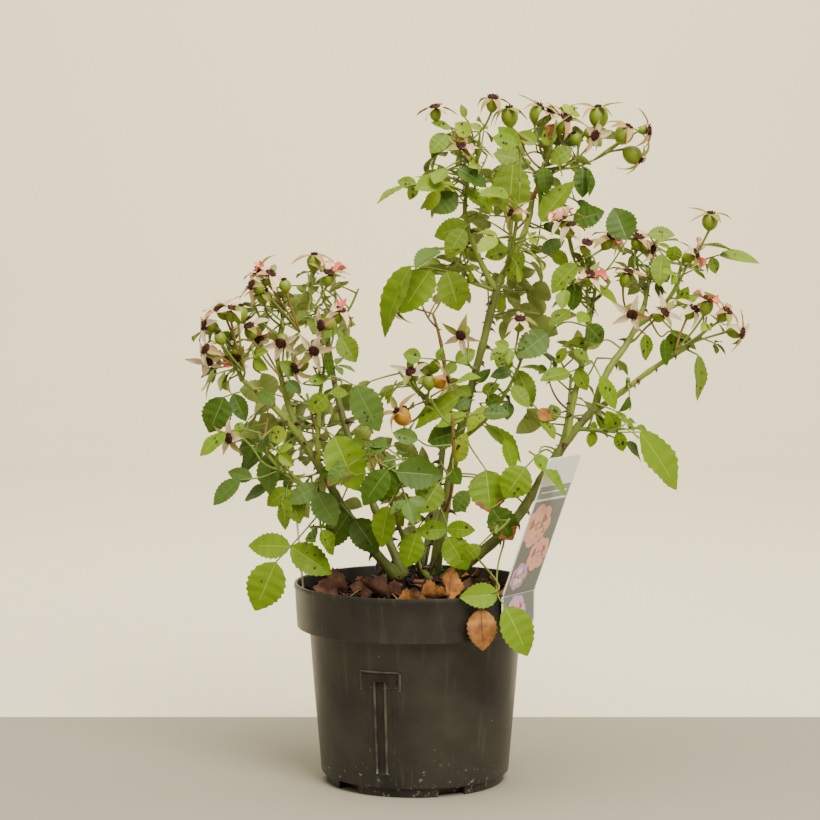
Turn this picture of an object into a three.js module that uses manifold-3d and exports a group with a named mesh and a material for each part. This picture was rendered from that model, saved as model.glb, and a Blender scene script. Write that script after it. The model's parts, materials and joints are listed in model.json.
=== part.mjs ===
// A young patio rose in its black nursery pot, in millimetres, +Z up.
// The origin is the centre of the pot's flat underside and -Y is the front.
// Canes rise from a graft union at the level of the compost and fork into boughs. Each bough ends in a
// mass of foliage: a green stem with side shoots, compound leaves and trusses of green hips.
import * as THREE from "three";
import { mergeVertices } from "three/addons/utils/BufferGeometryUtils.js";
import Module from "manifold-3d";

const wasm = await Module();
wasm.setup();

// Driving dimensions

const CLEAR = 0.35; // gap between pieces that meet
const POT = {
  rimRadius: 100,
  bandRadius: 98, // lower edge of the rim band
  shoulderRadius: 88, // wall just under the rim band
  baseRadius: 78,
  footRadius: 74,
  height: 166,
  band: 37,
  foot: 8,
  wall: 2,
  floor: 3,
  floorRadius: 58, // the floor is thicker from here out, where the drain notches are
  segments: 32,
};
const NOTCH = { width: 25, height: 6.5, depth: 18, count: 5, firstHeading: -66 };
const COMPOST_TOP = 156;
const UNION = { x: 6, y: 2, topRadius: 31, baseRadius: 37, top: 168, segments: 16 };
const LABEL = { heading: -34, width: 50, thickness: 0.8, foot: 26, card: 122, lean: 21, footBottom: 138 };
const TAG = { x: -92.5, y: -6, width: 15, thickness: 0.9, height: 88, lean: -5 };
const GOLDEN = 137.5; // degrees from one leaf on a stem to the next
const LEAF = { thickness: 2.4, stalkRadius: 1.0, droop: 0.42, tries: 30, shrink: 0.42 };
const LEAFLET = { side: 0.37, end: 0.46, halfWidth: 0.41, spread: 70, fork: 0.43 }; // shares of the whole leaf
const ROOM = { leaflet: 0.14, hip: 10.5 }; // room that a leaflet, as a share of its leaf, and a hip keep
const HIP = { radius: 8, starRadius: 16.5, stalk: 22, stalkRadius: 0.95 };
const SKIP = { margin: 1.1, limb: 1.6, potRadius: 103, potTop: 170 };
const CROWN = { left: -186, right: 286, front: -118, back: 140, top: 574 }; // no leaf or hip grows past these
const CROWN_AXIS = { x: 40, y: 0 }; // foliage turns its face away from this upright line

// The canes and boughs, from the foot up. Lean is from upright and heading is counter-clockwise from
// +X, in degrees, each read evenly along the limb. A limb starts at foot, or at a share of its parent.
const LIMBS = [
  { name: "cane_left", foot: [-14, -4], length: 146, lean: [42, 36, 29, 36], heading: [185, 197], radius: [5.4, 4.1] },
  { name: "cane_left_back", foot: [-9, 15], length: 208, lean: [30, 26, 18, 8], heading: [146, 158], radius: [4.7, 2.9] },
  { name: "cane_centre", foot: [16, 8], length: 252, lean: [8, 11, 15, 14], heading: [12, -6], radius: [5.9, 3.7] },
  { name: "cane_right", foot: [26, -8], length: 190, lean: [52, 50, 31, 33, 44], heading: [-6, -4], radius: [6.0, 4.3] },
  { name: "cane_back", foot: [4, 22], length: 176, lean: [34, 26, 12], heading: [62, 84], radius: [4.3, 2.9] },
  { name: "cane_front", foot: [13, -16], length: 66, lean: [40, 34, 22], heading: [205, 228], radius: [3.0, 2.3] },
  { name: "bough_left_outer", parent: "cane_left", at: 1, length: 68, lean: [36, 54], heading: [196, 200], radius: [2.9, 2.1] },
  { name: "bough_left_upper", parent: "cane_left", at: 0.97, length: 70, lean: [24, 10], heading: [170, 176], radius: [2.9, 2.1] },
  { name: "bough_left_front", parent: "cane_left", at: 0.8, length: 56, lean: [34, 12, 4], heading: [262, 300], radius: [2.5, 1.9] },
  { name: "bough_top", parent: "cane_centre", at: 1, length: 74, lean: [30, 26, 6], heading: [4, -14], radius: [3.2, 2.3] },
  { name: "bough_top_left", parent: "cane_centre", at: 0.97, length: 70, lean: [34, 24, 14], heading: [196, 204], radius: [2.7, 1.9] },
  { name: "bough_right_inner", parent: "cane_right", at: 0.82, length: 84, lean: [4, 14, 10], heading: [-16, -12], radius: [3.0, 2.1] },
  { name: "bough_right_mid", parent: "cane_right", at: 1, length: 96, lean: [12, 40, 20], heading: [22, 24], radius: [3.2, 2.2] },
  { name: "bough_right_outer", parent: "cane_right", at: 0.96, length: 98, lean: [56, 52, 60], heading: [-14, -10], radius: [2.8, 1.9] },
  { name: "bough_back", parent: "cane_back", at: 0.7, length: 96, lean: [38, 24, 10], heading: [20, 34], radius: [2.6, 1.9] },
];

// The foliage masses. Each grows on one stem from the limb it names. reach is how far its leaves may
// stand from that stem, leaves are counted on the stem itself, and hips are those at its tip. A
// feature is a leaf with a place of its own: at a share of the stem, with its own lean and heading.
const MASSES = [
  { name: "foliage_left_outer", limb: "bough_left_outer", at: 1, length: 26, lean: [24, 2], heading: [200, 190],
    reach: 62, leaves: 4, leafLength: 66, shoots: 3, turn: 170, hips: 4, shootHips: 1, seed: 11 },
  { name: "foliage_left_upper", limb: "bough_left_upper", at: 1, length: 52, lean: [8, 16], heading: [60, 20],
    reach: 66, leaves: 5, leafLength: 72, shoots: 3, turn: 180, hips: 3, shootHips: 1, seed: 12 },
  { name: "foliage_left_front", limb: "bough_left_front", at: 1, length: 48, lean: [20, 26], heading: [290, 300],
    reach: 66, leaves: 6, leafLength: 72, shoots: 2, turn: 250, hips: 3, shootHips: 1, seed: 13 },
  { name: "foliage_left_inner", limb: "cane_left_back", at: 1, length: 40, lean: [6, 14], heading: [20, 0],
    reach: 66, leaves: 6, leafLength: 74, shoots: 2, turn: -20, hips: 3, shootHips: 1, seed: 14 },
  { name: "foliage_left_side", limb: "cane_left", at: 0.58, length: 94, lean: [74, 56, 14], heading: [206, 196],
    reach: 66, leaves: 8, leafLength: 74, shoots: 1, turn: 200, hips: 1, shootHips: 0, seed: 15,
    features: [{ at: 0.45, heading: 188, lean: 112, length: 68 }] },
  { name: "foliage_left_low", limb: "cane_left", at: 0.34, length: 46, lean: [70, 92], heading: [206, 200],
    reach: 60, leaves: 5, leafLength: 78, shoots: 0, hips: 0, shootHips: 0, seed: 16,
    features: [{ at: 1, heading: 196, lean: 142, length: 88 }] },
  { name: "foliage_left_back", limb: "cane_left_back", at: 0.36, length: 112, lean: [72, 36, 16], heading: [150, 130],
    reach: 72, leaves: 9, leafLength: 80, shoots: 1, hips: 1, shootHips: 1, seed: 17 },
  { name: "foliage_front_low", limb: "cane_front", at: 1, length: 56, lean: [26, 32], heading: [226, 256],
    reach: 68, leaves: 9, leafLength: 80, shoots: 0, hips: 0, shootHips: 0, seed: 19 },
  { name: "foliage_centre_front", limb: "cane_centre", at: 0.22, length: 112, lean: [64, 34, 16], heading: [284, 262],
    reach: 72, leaves: 11, leafLength: 78, shoots: 0, hips: 0, shootHips: 0, seed: 20 },
  { name: "foliage_centre_left", limb: "cane_centre", at: 0.54, length: 78, lean: [76, 50, 34], heading: [192, 186],
    reach: 66, leaves: 8, leafLength: 74, shoots: 1, turn: 180, hips: 3, shootHips: 1, seed: 21 },
  { name: "foliage_centre_right", limb: "cane_centre", at: 0.46, length: 104, lean: [64, 38, 18], heading: [-40, -24],
    reach: 68, leaves: 9, leafLength: 76, shoots: 0, hips: 1, shootHips: 1, seed: 22 },
  { name: "foliage_rim", limb: "cane_right", at: 0.3, length: 84, lean: [58, 84, 100], heading: [-96, -92],
    reach: 54, leaves: 5, leafLength: 74, shoots: 0, hips: 0, shootHips: 0, seed: 23,
    features: [{ at: 1, heading: -20, lean: 160, length: 92 }] },
  { name: "foliage_high_left", limb: "cane_centre", at: 0.97, length: 54, lean: [70, 76], heading: [200, 190],
    reach: 66, leaves: 6, leafLength: 80, shoots: 0, hips: 0, shootHips: 0, seed: 24,
    features: [{ at: 1, heading: 188, lean: 116, length: 86 }] },
  { name: "foliage_high_front", limb: "bough_top", at: 0.1, length: 90, lean: [62, 24, 6], heading: [-76, -70],
    reach: 66, leaves: 9, leafLength: 78, shoots: 0, hips: 0, shootHips: 0, seed: 25 },
  { name: "foliage_high_back", limb: "bough_top", at: 0.2, length: 90, lean: [62, 24, 10], heading: [84, 76],
    reach: 68, leaves: 9, leafLength: 80, shoots: 0, hips: 2, shootHips: 1, seed: 37 },
  { name: "foliage_top_left", limb: "bough_top_left", at: 1, length: 50, lean: [0, -24], heading: [190, 190],
    reach: 68, leaves: 7, leafLength: 70, shoots: 2, turn: 150, hips: 2, shootHips: 1, seed: 26,
    features: [{ at: 0.05, heading: 184, lean: 94, length: 78 }] },
  { name: "foliage_top", limb: "bough_top", at: 1, length: 40, lean: [24, 10], heading: [-10, 0],
    reach: 78, leaves: 7, leafLength: 76, shoots: 4, turn: -8, shootLength: 54, hips: 3, shootHips: 2, seed: 27 },
  { name: "foliage_right_inner", limb: "bough_right_inner", at: 1, length: 52, lean: [8, 12], heading: [0, 20],
    reach: 66, leaves: 8, leafLength: 76, shoots: 2, hips: 2, shootHips: 1, seed: 28 },
  { name: "foliage_right_mid", limb: "bough_right_mid", at: 1, length: 34, lean: [14, 6], heading: [20, 40],
    reach: 64, leaves: 6, leafLength: 72, shoots: 2, turn: 90, hips: 2, shootHips: 1, seed: 29 },
  { name: "foliage_right_far", limb: "bough_right_mid", at: 0.8, length: 66, lean: [62, 38, 4], heading: [-14, -6],
    reach: 60, leaves: 7, leafLength: 66, shoots: 0, hips: 3, shootHips: 1, seed: 30,
    features: [{ at: 0.7, heading: 4, lean: 80, length: 62 }] },
  { name: "foliage_right_front", limb: "bough_right_outer", at: 0.4, length: 52, lean: [64, 24], heading: [-94, -84],
    reach: 60, leaves: 6, leafLength: 70, shoots: 0, hips: 3, shootHips: 0, seed: 40 },
  { name: "foliage_right_outer", limb: "bough_right_outer", at: 1, length: 28, lean: [50, 40], heading: [-8, 0],
    reach: 58, leaves: 5, leafLength: 58, shoots: 2, turn: 30, hips: 3, shootHips: 1, seed: 31,
    features: [{ at: 0.1, heading: 0, lean: 172, length: 50 }] },
  { name: "foliage_right_low", limb: "cane_right", at: 0.88, length: 36, lean: [88, 98], heading: [-30, -14],
    reach: 58, leaves: 5, leafLength: 68, shoots: 0, hips: 0, shootHips: 0, seed: 32,
    features: [{ at: 1, heading: -8, lean: 122, length: 82 }] },
  { name: "foliage_right_back", limb: "cane_right", at: 0.72, length: 92, lean: [62, 34, 16], heading: [66, 80],
    reach: 66, leaves: 8, leafLength: 78, shoots: 0, hips: 0, shootHips: 0, seed: 39 },
  { name: "foliage_back_low", limb: "cane_back", at: 0.3, length: 66, lean: [76, 50], heading: [80, 96],
    reach: 66, leaves: 8, leafLength: 80, shoots: 0, hips: 0, shootHips: 0, seed: 33 },
  { name: "foliage_back", limb: "cane_back", at: 1, length: 60, lean: [10, 26], heading: [116, 136],
    reach: 72, leaves: 8, leafLength: 80, shoots: 1, hips: 2, shootHips: 1, seed: 34 },
  { name: "foliage_back_right", limb: "bough_back", at: 1, length: 54, lean: [8, 24], heading: [20, 30],
    reach: 72, leaves: 8, leafLength: 80, shoots: 1, hips: 2, shootHips: 1, seed: 35 },
];

// Dead leaves that lie on the compost: place, heading of the tip, and length.
const FALLEN_LEAVES = [
  { x: -20, y: -66, heading: 172, length: 38 },
  { x: 2, y: -56, heading: -20, length: 36 },
  { x: 4, y: -84, heading: 184, length: 30 },
  { x: 58, y: -30, heading: -75, length: 34 },
  { x: -56, y: -10, heading: 215, length: 34 },
  { x: 38, y: 46, heading: 60, length: 34 },
];

// Materials

const paint = (color, roughness) => new THREE.MeshStandardMaterial({ color, roughness, metalness: 0 });
const MATERIALS = {
  pot: paint(0x2c2a26, 0.55),
  compost: paint(0x3a241a, 0.95),
  union: paint(0x4a3a26, 0.9),
  cane: paint(0x6f8a3a, 0.6),
  foliage: paint(0x5f8a2e, 0.6),
  fallenLeaf: paint(0xa8743a, 0.8),
  label: paint(0xe8e2d2, 0.4),
};

// Vectors and seeded numbers

const radians = THREE.MathUtils.degToRad;

/** Even numbers from 0 to 1 that are the same for the same seed. */
function stream(seed) {
  const modulus = 2147483647;
  let state = (seed * 48271 + 11) % modulus;
  const next = () => {
    state = (state * 16807) % modulus;
    return state / modulus;
  };
  for (let skipped = 0; skipped < 3; skipped += 1) next();
  return next;
}

/** The value at share t of a list that is read evenly from its first entry to its last. */
function alongList(list, t) {
  const place = THREE.MathUtils.clamp(t, 0, 1) * (list.length - 1);
  const index = Math.min(Math.floor(place), list.length - 2);
  return list[index] + (list[index + 1] - list[index]) * (place - index);
}

/** The unit vector that leans from upright towards a heading, both in degrees. */
function leaning(lean, heading) {
  const flat = Math.sin(radians(lean));
  const x = flat * Math.cos(radians(heading));
  const y = flat * Math.sin(radians(heading));
  return new THREE.Vector3(x, y, Math.cos(radians(lean)));
}

/** A unit vector square to axis, as near as it can be to wish. */
function squareTo(axis, wish) {
  const side = wish.clone().addScaledVector(axis, -wish.dot(axis));
  if (side.length() < 0.05) side.set(axis.z, axis.x, axis.y).addScaledVector(axis, -side.dot(axis));
  return side.normalize();
}

/** The points of a stem that starts at a point and bends as its leans and headings say. */
function growPath(start, length, leans, headings, steps) {
  const points = [start.clone()];
  for (let step = 0; step < steps; step += 1) {
    const share = (step + 0.5) / steps;
    const way = leaning(alongList(leans, share), alongList(headings, share));
    points.push(points[step].clone().addScaledVector(way, length / steps));
  }
  return points;
}

/** The point at share t of a path of evenly spaced points. */
function pathPoint(points, t) {
  const place = THREE.MathUtils.clamp(t, 0, 1) * (points.length - 1);
  const index = Math.min(Math.floor(place), points.length - 2);
  return points[index].clone().lerp(points[index + 1], place - index);
}

/** The way that a path runs at share t. */
function pathWay(points, t) {
  const index = Math.min(Math.floor(THREE.MathUtils.clamp(t, 0, 1) * (points.length - 1)), points.length - 2);
  return points[index + 1].clone().sub(points[index]).normalize();
}

/** How far a point is from the segment between two others. */
function segmentDistance(point, a, b) {
  const along = b.clone().sub(a);
  const share = THREE.MathUtils.clamp(point.clone().sub(a).dot(along) / along.lengthSq(), 0, 1);
  return point.distanceTo(a.clone().addScaledVector(along, share));
}

/** How far a point is from a path of points. */
function pathDistance(point, points) {
  let nearest = Infinity;
  for (let i = 0; i + 1 < points.length; i += 1) {
    nearest = Math.min(nearest, segmentDistance(point, points[i], points[i + 1]));
  }
  return nearest;
}

// Solids

/** A closed solid from corner points and the faces that name them. */
function solidFrom(corners, faces) {
  const vertProperties = new Float32Array(corners.flatMap((corner) => [corner.x, corner.y, corner.z]));
  const made = new wasm.Manifold(new wasm.Mesh({ numProp: 3, vertProperties, triVerts: new Uint32Array(faces.flat()) }));
  return made;
}

/** A closed solid from a closed three.js geometry. */
function solidOfGeometry(geometry) {
  const bare = geometry.clone();
  bare.deleteAttribute("normal");
  bare.deleteAttribute("uv");
  const merged = mergeVertices(bare, 1e-4);
  const position = merged.getAttribute("position");
  const corners = [];
  for (let i = 0; i < position.count; i += 1) corners.push(new THREE.Vector3().fromBufferAttribute(position, i));
  const index = merged.index.array;
  const faces = [];
  for (let i = 0; i < index.length; i += 3) faces.push([index[i], index[i + 1], index[i + 2]]);
  return solidFrom(corners, faces);
}

/** The largest separate body of a solid, with the splinters of joining taken out. */
function largestBody(solid) {
  const bodies = solid.simplify(0.1).decompose();
  return bodies.sort((a, b) => b.volume() - a.volume())[0];
}

/** The named mesh of a solid. */
function meshOf(name, solid, material) {
  const found = solid.getMesh();
  const positions = new Float32Array(found.numVert * 3);
  for (let i = 0; i < found.numVert; i += 1) {
    positions.set(found.vertProperties.subarray(i * found.numProp, i * found.numProp + 3), i * 3);
  }
  const geometry = new THREE.BufferGeometry()
    .setAttribute("position", new THREE.BufferAttribute(positions, 3))
    .setIndex(new THREE.BufferAttribute(new Uint32Array(found.triVerts), 1));
  geometry.computeVertexNormals();
  const mesh = new THREE.Mesh(geometry, material);
  mesh.name = name;
  return mesh;
}

/** A solid turned about the pot's axis from a closed profile of [radius, height] pairs. */
function turned(profile, segments) {
  const outline = profile.map(([radius, height]) => new THREE.Vector2(radius, height));
  const geometry = new THREE.LatheGeometry([...outline, outline[0]], segments);
  return solidOfGeometry(geometry.rotateX(Math.PI / 2));
}

/** A tapering rod with flat ends along a path, with a radius for each point. */
function rod(points, radii, sides) {
  const chord = points[points.length - 1].clone().sub(points[0]).normalize();
  const wish = Math.abs(chord.y) < 0.8 ? new THREE.Vector3(0, 1, 0) : new THREE.Vector3(1, 0, 0);
  const corners = [];
  const faces = [];
  points.forEach((point, ring) => {
    const before = points[Math.max(ring - 1, 0)];
    const after = points[Math.min(ring + 1, points.length - 1)];
    const way = after.clone().sub(before).normalize();
    const across = squareTo(way, wish);
    const over = way.clone().cross(across);
    for (let side = 0; side < sides; side += 1) {
      const turn = (2 * Math.PI * side) / sides;
      const corner = point.clone().addScaledVector(across, radii[ring] * Math.cos(turn));
      corners.push(corner.addScaledVector(over, radii[ring] * Math.sin(turn)));
    }
    for (let side = 0; side < sides && ring > 0; side += 1) {
      const low = (ring - 1) * sides;
      const next = (side + 1) % sides;
      faces.push([low + side, low + next, low + sides + next], [low + side, low + sides + next, low + sides + side]);
    }
  });
  const last = (points.length - 1) * sides;
  for (let side = 1; side + 1 < sides; side += 1) {
    faces.push([0, side + 1, side], [last, last + side, last + side + 1]);
  }
  return solidFrom(corners, faces);
}

/** A thin leaf blade of eight faces, folded a little along its midrib. */
function blade(base, axis, normal, length, width, thickness) {
  const side = axis.clone().cross(normal);
  const middle = base.clone().addScaledVector(axis, length * 0.44);
  const fold = width * 0.09;
  const corners = [
    base.clone(),
    base.clone().addScaledVector(axis, length),
    middle.clone().addScaledVector(side, width / 2).addScaledVector(normal, fold),
    middle.clone().addScaledVector(side, -width / 2).addScaledVector(normal, fold),
    middle.clone().addScaledVector(normal, thickness / 2),
    middle.clone().addScaledVector(normal, -thickness / 2),
  ];
  const [foot, tip, right, left, top, under] = [0, 1, 2, 3, 4, 5];
  const upper = [[foot, right, top], [right, tip, top], [tip, left, top], [left, foot, top]];
  const lower = [[right, foot, under], [tip, right, under], [left, tip, under], [foot, left, under]];
  return solidFrom(corners, [...upper, ...lower]);
}

/** A green hip on its stalk, with the star of its five spread sepals. */
function hipSolid(hip) {
  const stalkWay = hip.centre.clone().sub(hip.from).normalize();
  const points = 5;
  const corners = [];
  const ringAt = (centre, axis, radius, count, shift) => {
    const across = squareTo(axis, new THREE.Vector3(0.15, 1, 0.3));
    const over = axis.clone().cross(across);
    const first = corners.length;
    for (let i = 0; i < count; i += 1) {
      const turn = (2 * Math.PI * i) / count;
      const reach = Array.isArray(radius) ? radius[i % 2] : radius;
      const corner = centre.clone().addScaledVector(axis, Array.isArray(shift) ? shift[i % 2] : shift);
      corners.push(corner.addScaledVector(across, reach * Math.cos(turn)).addScaledVector(over, reach * Math.sin(turn)));
    }
    return first;
  };
  const { radius } = hip;
  const stalkSides = 3;
  const foot = ringAt(hip.from, stalkWay, HIP.stalkRadius, stalkSides, 0);
  const join = ringAt(hip.centre, stalkWay, HIP.stalkRadius, stalkSides, -radius);
  const belly = ringAt(hip.centre, hip.axis, radius, points, 0.05 * radius);
  const neck = ringAt(hip.centre, hip.axis, radius * 0.42, points, 0.85 * radius);
  const star = ringAt(hip.centre, hip.axis, [HIP.starRadius, HIP.starRadius * 0.36], 2 * points, [radius * 0.72, radius]);
  const crown = corners.push(hip.centre.clone().addScaledVector(hip.axis, radius * 1.18)) - 1;
  const faces = [[foot, foot + 2, foot + 1]];
  for (let i = 0; i < stalkSides; i += 1) {
    const next = (i + 1) % stalkSides;
    faces.push([foot + i, foot + next, join + next], [foot + i, join + next, join + i]);
  }
  // The stalk's three corners flare into the five of the belly.
  for (const [side, low, high] of [[0, 0, 1], [1, 1, 2], [1, 2, 3], [2, 3, 4], [2, 4, 0]]) {
    faces.push([join + side, belly + high, belly + low]);
  }
  for (const [side, next, high] of [[0, 1, 1], [1, 2, 3], [2, 0, 0]]) faces.push([join + side, join + next, belly + high]);
  for (let i = 0; i < points; i += 1) {
    const next = (i + 1) % points;
    faces.push([belly + i, belly + next, neck + next], [belly + i, neck + next, neck + i]);
    const [tip, notch, nextTip] = [star + 2 * i, star + 2 * i + 1, star + 2 * next];
    faces.push([neck + i, notch, tip], [neck + i, neck + next, notch], [neck + next, nextTip, notch]);
    faces.push([crown, tip, notch], [crown, notch, nextTip]);
  }
  return solidFrom(corners, faces);
}

// Pot, compost and what lies on it

/** The radius of the pot's inner wall at a height. */
function innerRadius(height) {
  const bandBottom = POT.height - POT.band;
  if (height < bandBottom) {
    const share = height / bandBottom;
    return POT.baseRadius + (POT.shoulderRadius - POT.baseRadius) * share - POT.wall;
  }
  const share = (height - bandBottom) / POT.band;
  return POT.bandRadius + (POT.rimRadius - POT.bandRadius) * share - POT.wall;
}

/** The thin-walled pot: foot, tapering wall, shoulder and rim band, with drain notches in the foot. */
function potSolid() {
  const bandBottom = POT.height - POT.band;
  const ledge = POT.foot + POT.wall;
  let pot = turned(
    [
      [0, 0],
      [POT.footRadius, 0],
      [POT.footRadius, POT.foot],
      [POT.baseRadius, POT.foot],
      [POT.shoulderRadius, bandBottom],
      [POT.bandRadius, bandBottom],
      [POT.rimRadius, POT.height],
      [innerRadius(POT.height), POT.height],
      [innerRadius(bandBottom + POT.wall), bandBottom + POT.wall],
      [POT.shoulderRadius - POT.wall, bandBottom + POT.wall],
      [innerRadius(ledge), ledge],
      [POT.floorRadius + 4, ledge],
      [POT.floorRadius, POT.floor],
      [0, POT.floor],
    ],
    POT.segments,
  );
  for (let i = 0; i < NOTCH.count; i += 1) {
    const cutter = new THREE.BoxGeometry(NOTCH.depth, NOTCH.width, 2 * NOTCH.height)
      .translate(POT.footRadius, 0, 0)
      .rotateZ(radians(NOTCH.firstHeading + (360 * i) / NOTCH.count));
    pot = pot.subtract(solidOfGeometry(cutter));
  }
  return largestBody(pot);
}

/** The plug of compost that fills the pot to just under its rim. */
function compostSolid() {
  const bandBottom = POT.height - POT.band;
  const step = bandBottom + POT.wall + CLEAR;
  const ledge = POT.foot + POT.wall + CLEAR;
  return turned(
    [
      [0, POT.floor + CLEAR],
      [POT.floorRadius - 2 * CLEAR, POT.floor + CLEAR],
      [POT.floorRadius + 4 - 2 * CLEAR, ledge],
      [innerRadius(ledge) - 2 * CLEAR, ledge],
      [POT.shoulderRadius - POT.wall - 2 * CLEAR, bandBottom],
      [POT.shoulderRadius - POT.wall - 2 * CLEAR, step],
      [innerRadius(step) - CLEAR, step],
      [innerRadius(COMPOST_TOP) - CLEAR, COMPOST_TOP],
      [0, COMPOST_TOP],
    ],
    POT.segments,
  );
}

/** The knobbly graft union that the canes stand on. */
function unionSolid() {
  const bottom = COMPOST_TOP + CLEAR;
  const shape = turned([[0, bottom], [UNION.baseRadius, bottom], [UNION.topRadius, UNION.top], [0, UNION.top]], UNION.segments);
  return shape.translate([UNION.x, UNION.y, 0]);
}

/** A dead leaf that lies on the compost with its edges curled up. */
function fallenLeafSolid(spec) {
  const heading = radians(spec.heading);
  const thickness = 2.4;
  const base = new THREE.Vector3(spec.x, spec.y, COMPOST_TOP + CLEAR + thickness / 2);
  const axis = new THREE.Vector3(Math.cos(heading), Math.sin(heading), 0);
  return blade(base, axis, new THREE.Vector3(0, 0, 1), spec.length, spec.length * 0.6, thickness);
}

/** The card label: its foot stands against the rim band and the card leans outwards from there. */
function labelSolid() {
  const out = POT.rimRadius + CLEAR;
  const lean = radians(LABEL.lean);
  const bend = LABEL.footBottom + LABEL.foot;
  const rise = LABEL.card * Math.cos(lean);
  const run = LABEL.card * Math.sin(lean);
  const outline = new THREE.Shape([
    new THREE.Vector2(out, LABEL.footBottom),
    new THREE.Vector2(out + LABEL.thickness, LABEL.footBottom),
    new THREE.Vector2(out + LABEL.thickness, bend),
    new THREE.Vector2(out + LABEL.thickness + run, bend + rise),
    new THREE.Vector2(out + run, bend + rise),
    new THREE.Vector2(out, bend),
  ]);
  const geometry = new THREE.ExtrudeGeometry(outline, { depth: LABEL.width, bevelEnabled: false, steps: 1 });
  geometry.translate(0, 0, -LABEL.width / 2).rotateX(Math.PI / 2);
  return solidOfGeometry(geometry.rotateZ(radians(LABEL.heading)));
}

/** The slim tag that stands in the compost at the left, seen edge on from the front. */
function tagSolid() {
  const geometry = new THREE.BoxGeometry(TAG.thickness, TAG.width, TAG.height);
  geometry.translate(0, 0, TAG.height / 2).rotateY(radians(TAG.lean));
  return solidOfGeometry(geometry.translate(TAG.x, TAG.y, COMPOST_TOP + CLEAR));
}

// Limbs

/** Works out a limb's path and radii from its sizes and from the limb it grows on. */
function placeLimb(spec, limbs) {
  const steps = Math.max(4, Math.round(spec.length / 21));
  const start = spec.parent
    ? pathPoint(limbs.get(spec.parent).points, spec.at)
    : new THREE.Vector3(spec.foot[0], spec.foot[1], UNION.top + CLEAR);
  const points = growPath(start, spec.length, spec.lean, spec.heading, steps);
  const radii = points.map((_, i) => {
    const share = i / steps;
    const flare = spec.parent ? 0 : 0.3 * Math.max(0, 1 - share * 8);
    return alongList(spec.radius, share) * (1 + flare);
  });
  return { name: spec.name, foot: !spec.parent, points, radii };
}

/** A limb's solid. The foot of a cane is cut level, so that it stands on the graft union. */
function limbSolid(limb, grown) {
  const sides = limb.radii[0] > 3.5 ? 8 : 6;
  const whole = rod(limb.points, limb.radii.map((radius) => radius + grown), sides);
  if (!limb.foot) return whole;
  const far = 400;
  const above = new THREE.BoxGeometry(far, far, far).translate(0, 0, UNION.top + CLEAR - grown + far / 2 + 0.02);
  const longer = rod([limb.points[0].clone().addScaledVector(pathWay(limb.points, 0), -9), limb.points[0]],
    [limb.radii[0] + grown, limb.radii[0] + grown], sides);
  return largestBody(whole.add(longer).intersect(solidOfGeometry(above)));
}

// The growing rule

/** The points of a compound leaf that are tested against other growth. */
function leafOutline(leaf) {
  const side = leaf.axis.clone().cross(leaf.normal);
  const places = [[0.3, 0], [0.5, 0], [0.75, 0], [1, 0]];
  for (const across of [-1, 1]) {
    places.push([0.62, 0.3 * across], [0.72, 0.36 * across], [0.6, 0.18 * across], [0.48, 0.2 * across], [0.82, 0.16 * across]);
  }
  return places.map(([along, across]) =>
    leaf.base.clone().addScaledVector(leaf.axis, leaf.length * along).addScaledVector(side, leaf.length * across));
}

/** The balls of room that a compound leaf keeps: one for each leaflet. */
function leafRoom(leaf) {
  const side = leaf.axis.clone().cross(leaf.normal);
  const turn = radians(LEAFLET.spread);
  const half = LEAFLET.side / 2;
  const middles = [[1 - LEAFLET.end / 2, 0]];
  for (const hand of [-1, 1]) middles.push([LEAFLET.fork + half * Math.cos(turn), hand * half * Math.sin(turn)]);
  return middles.map(([along, across]) => ({
    centre: leaf.base.clone().addScaledVector(leaf.axis, leaf.length * along).addScaledVector(side, leaf.length * across),
    radius: leaf.length * ROOM.leaflet,
  }));
}

/** True if none of some balls of room touches one that is taken. */
function roomFor(balls, taken) {
  return balls.every((ball) => taken.every((other) => ball.centre.distanceTo(other.centre) > ball.radius + other.radius));
}

/** True if a point is in the mass's own space and clear of the limbs, pot and label. */
function freeFor(mass, point, context) {
  if (point.x < CROWN.left || point.x > CROWN.right || point.z > CROWN.top) return false;
  if (point.y < CROWN.front || point.y > CROWN.back) return false;
  const own = pathsDistance(point, mass.sites);
  if (own > mass.spec.reach) return false;
  for (const other of context.masses) {
    if (other === mass) continue;
    const ownShare = own / mass.spec.reach;
    const otherShare = pathsDistance(point, other.sites) / other.spec.reach;
    const margin = SKIP.margin * (1 / mass.spec.reach + 1 / other.spec.reach);
    if (otherShare - ownShare < margin) return false;
  }
  for (const limb of context.limbs) {
    if (pathDistance(point, limb.points) < limb.radii[0] + SKIP.limb) return false;
  }
  const inward = Math.hypot(point.x, point.y);
  if (point.z < SKIP.potTop && inward < SKIP.potRadius) return false;
  return !nearLabel(point);
}

/** How far a point is from the nearest of several paths. */
function pathsDistance(point, paths) {
  return Math.min(...paths.map((path) => pathDistance(point, path)));
}

/** True if a point is close to the card label or the slim tag. */
function nearLabel(point) {
  const turn = radians(LABEL.heading);
  const out = point.x * Math.cos(turn) + point.y * Math.sin(turn);
  const across = -point.x * Math.sin(turn) + point.y * Math.cos(turn);
  const height = Math.max(0, point.z - LABEL.footBottom - LABEL.foot);
  const card = POT.rimRadius + height * Math.tan(radians(LABEL.lean));
  const byCard = point.z < LABEL.footBottom + LABEL.foot + LABEL.card && Math.abs(across) < LABEL.width / 2 + 3;
  if (byCard && Math.abs(out - card) < 4) return true;
  const tagTop = COMPOST_TOP + TAG.height + 4;
  return point.z < tagTop && Math.abs(point.x - TAG.x) < 11 && Math.abs(point.y - TAG.y) < TAG.width / 2 + 4;
}

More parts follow.
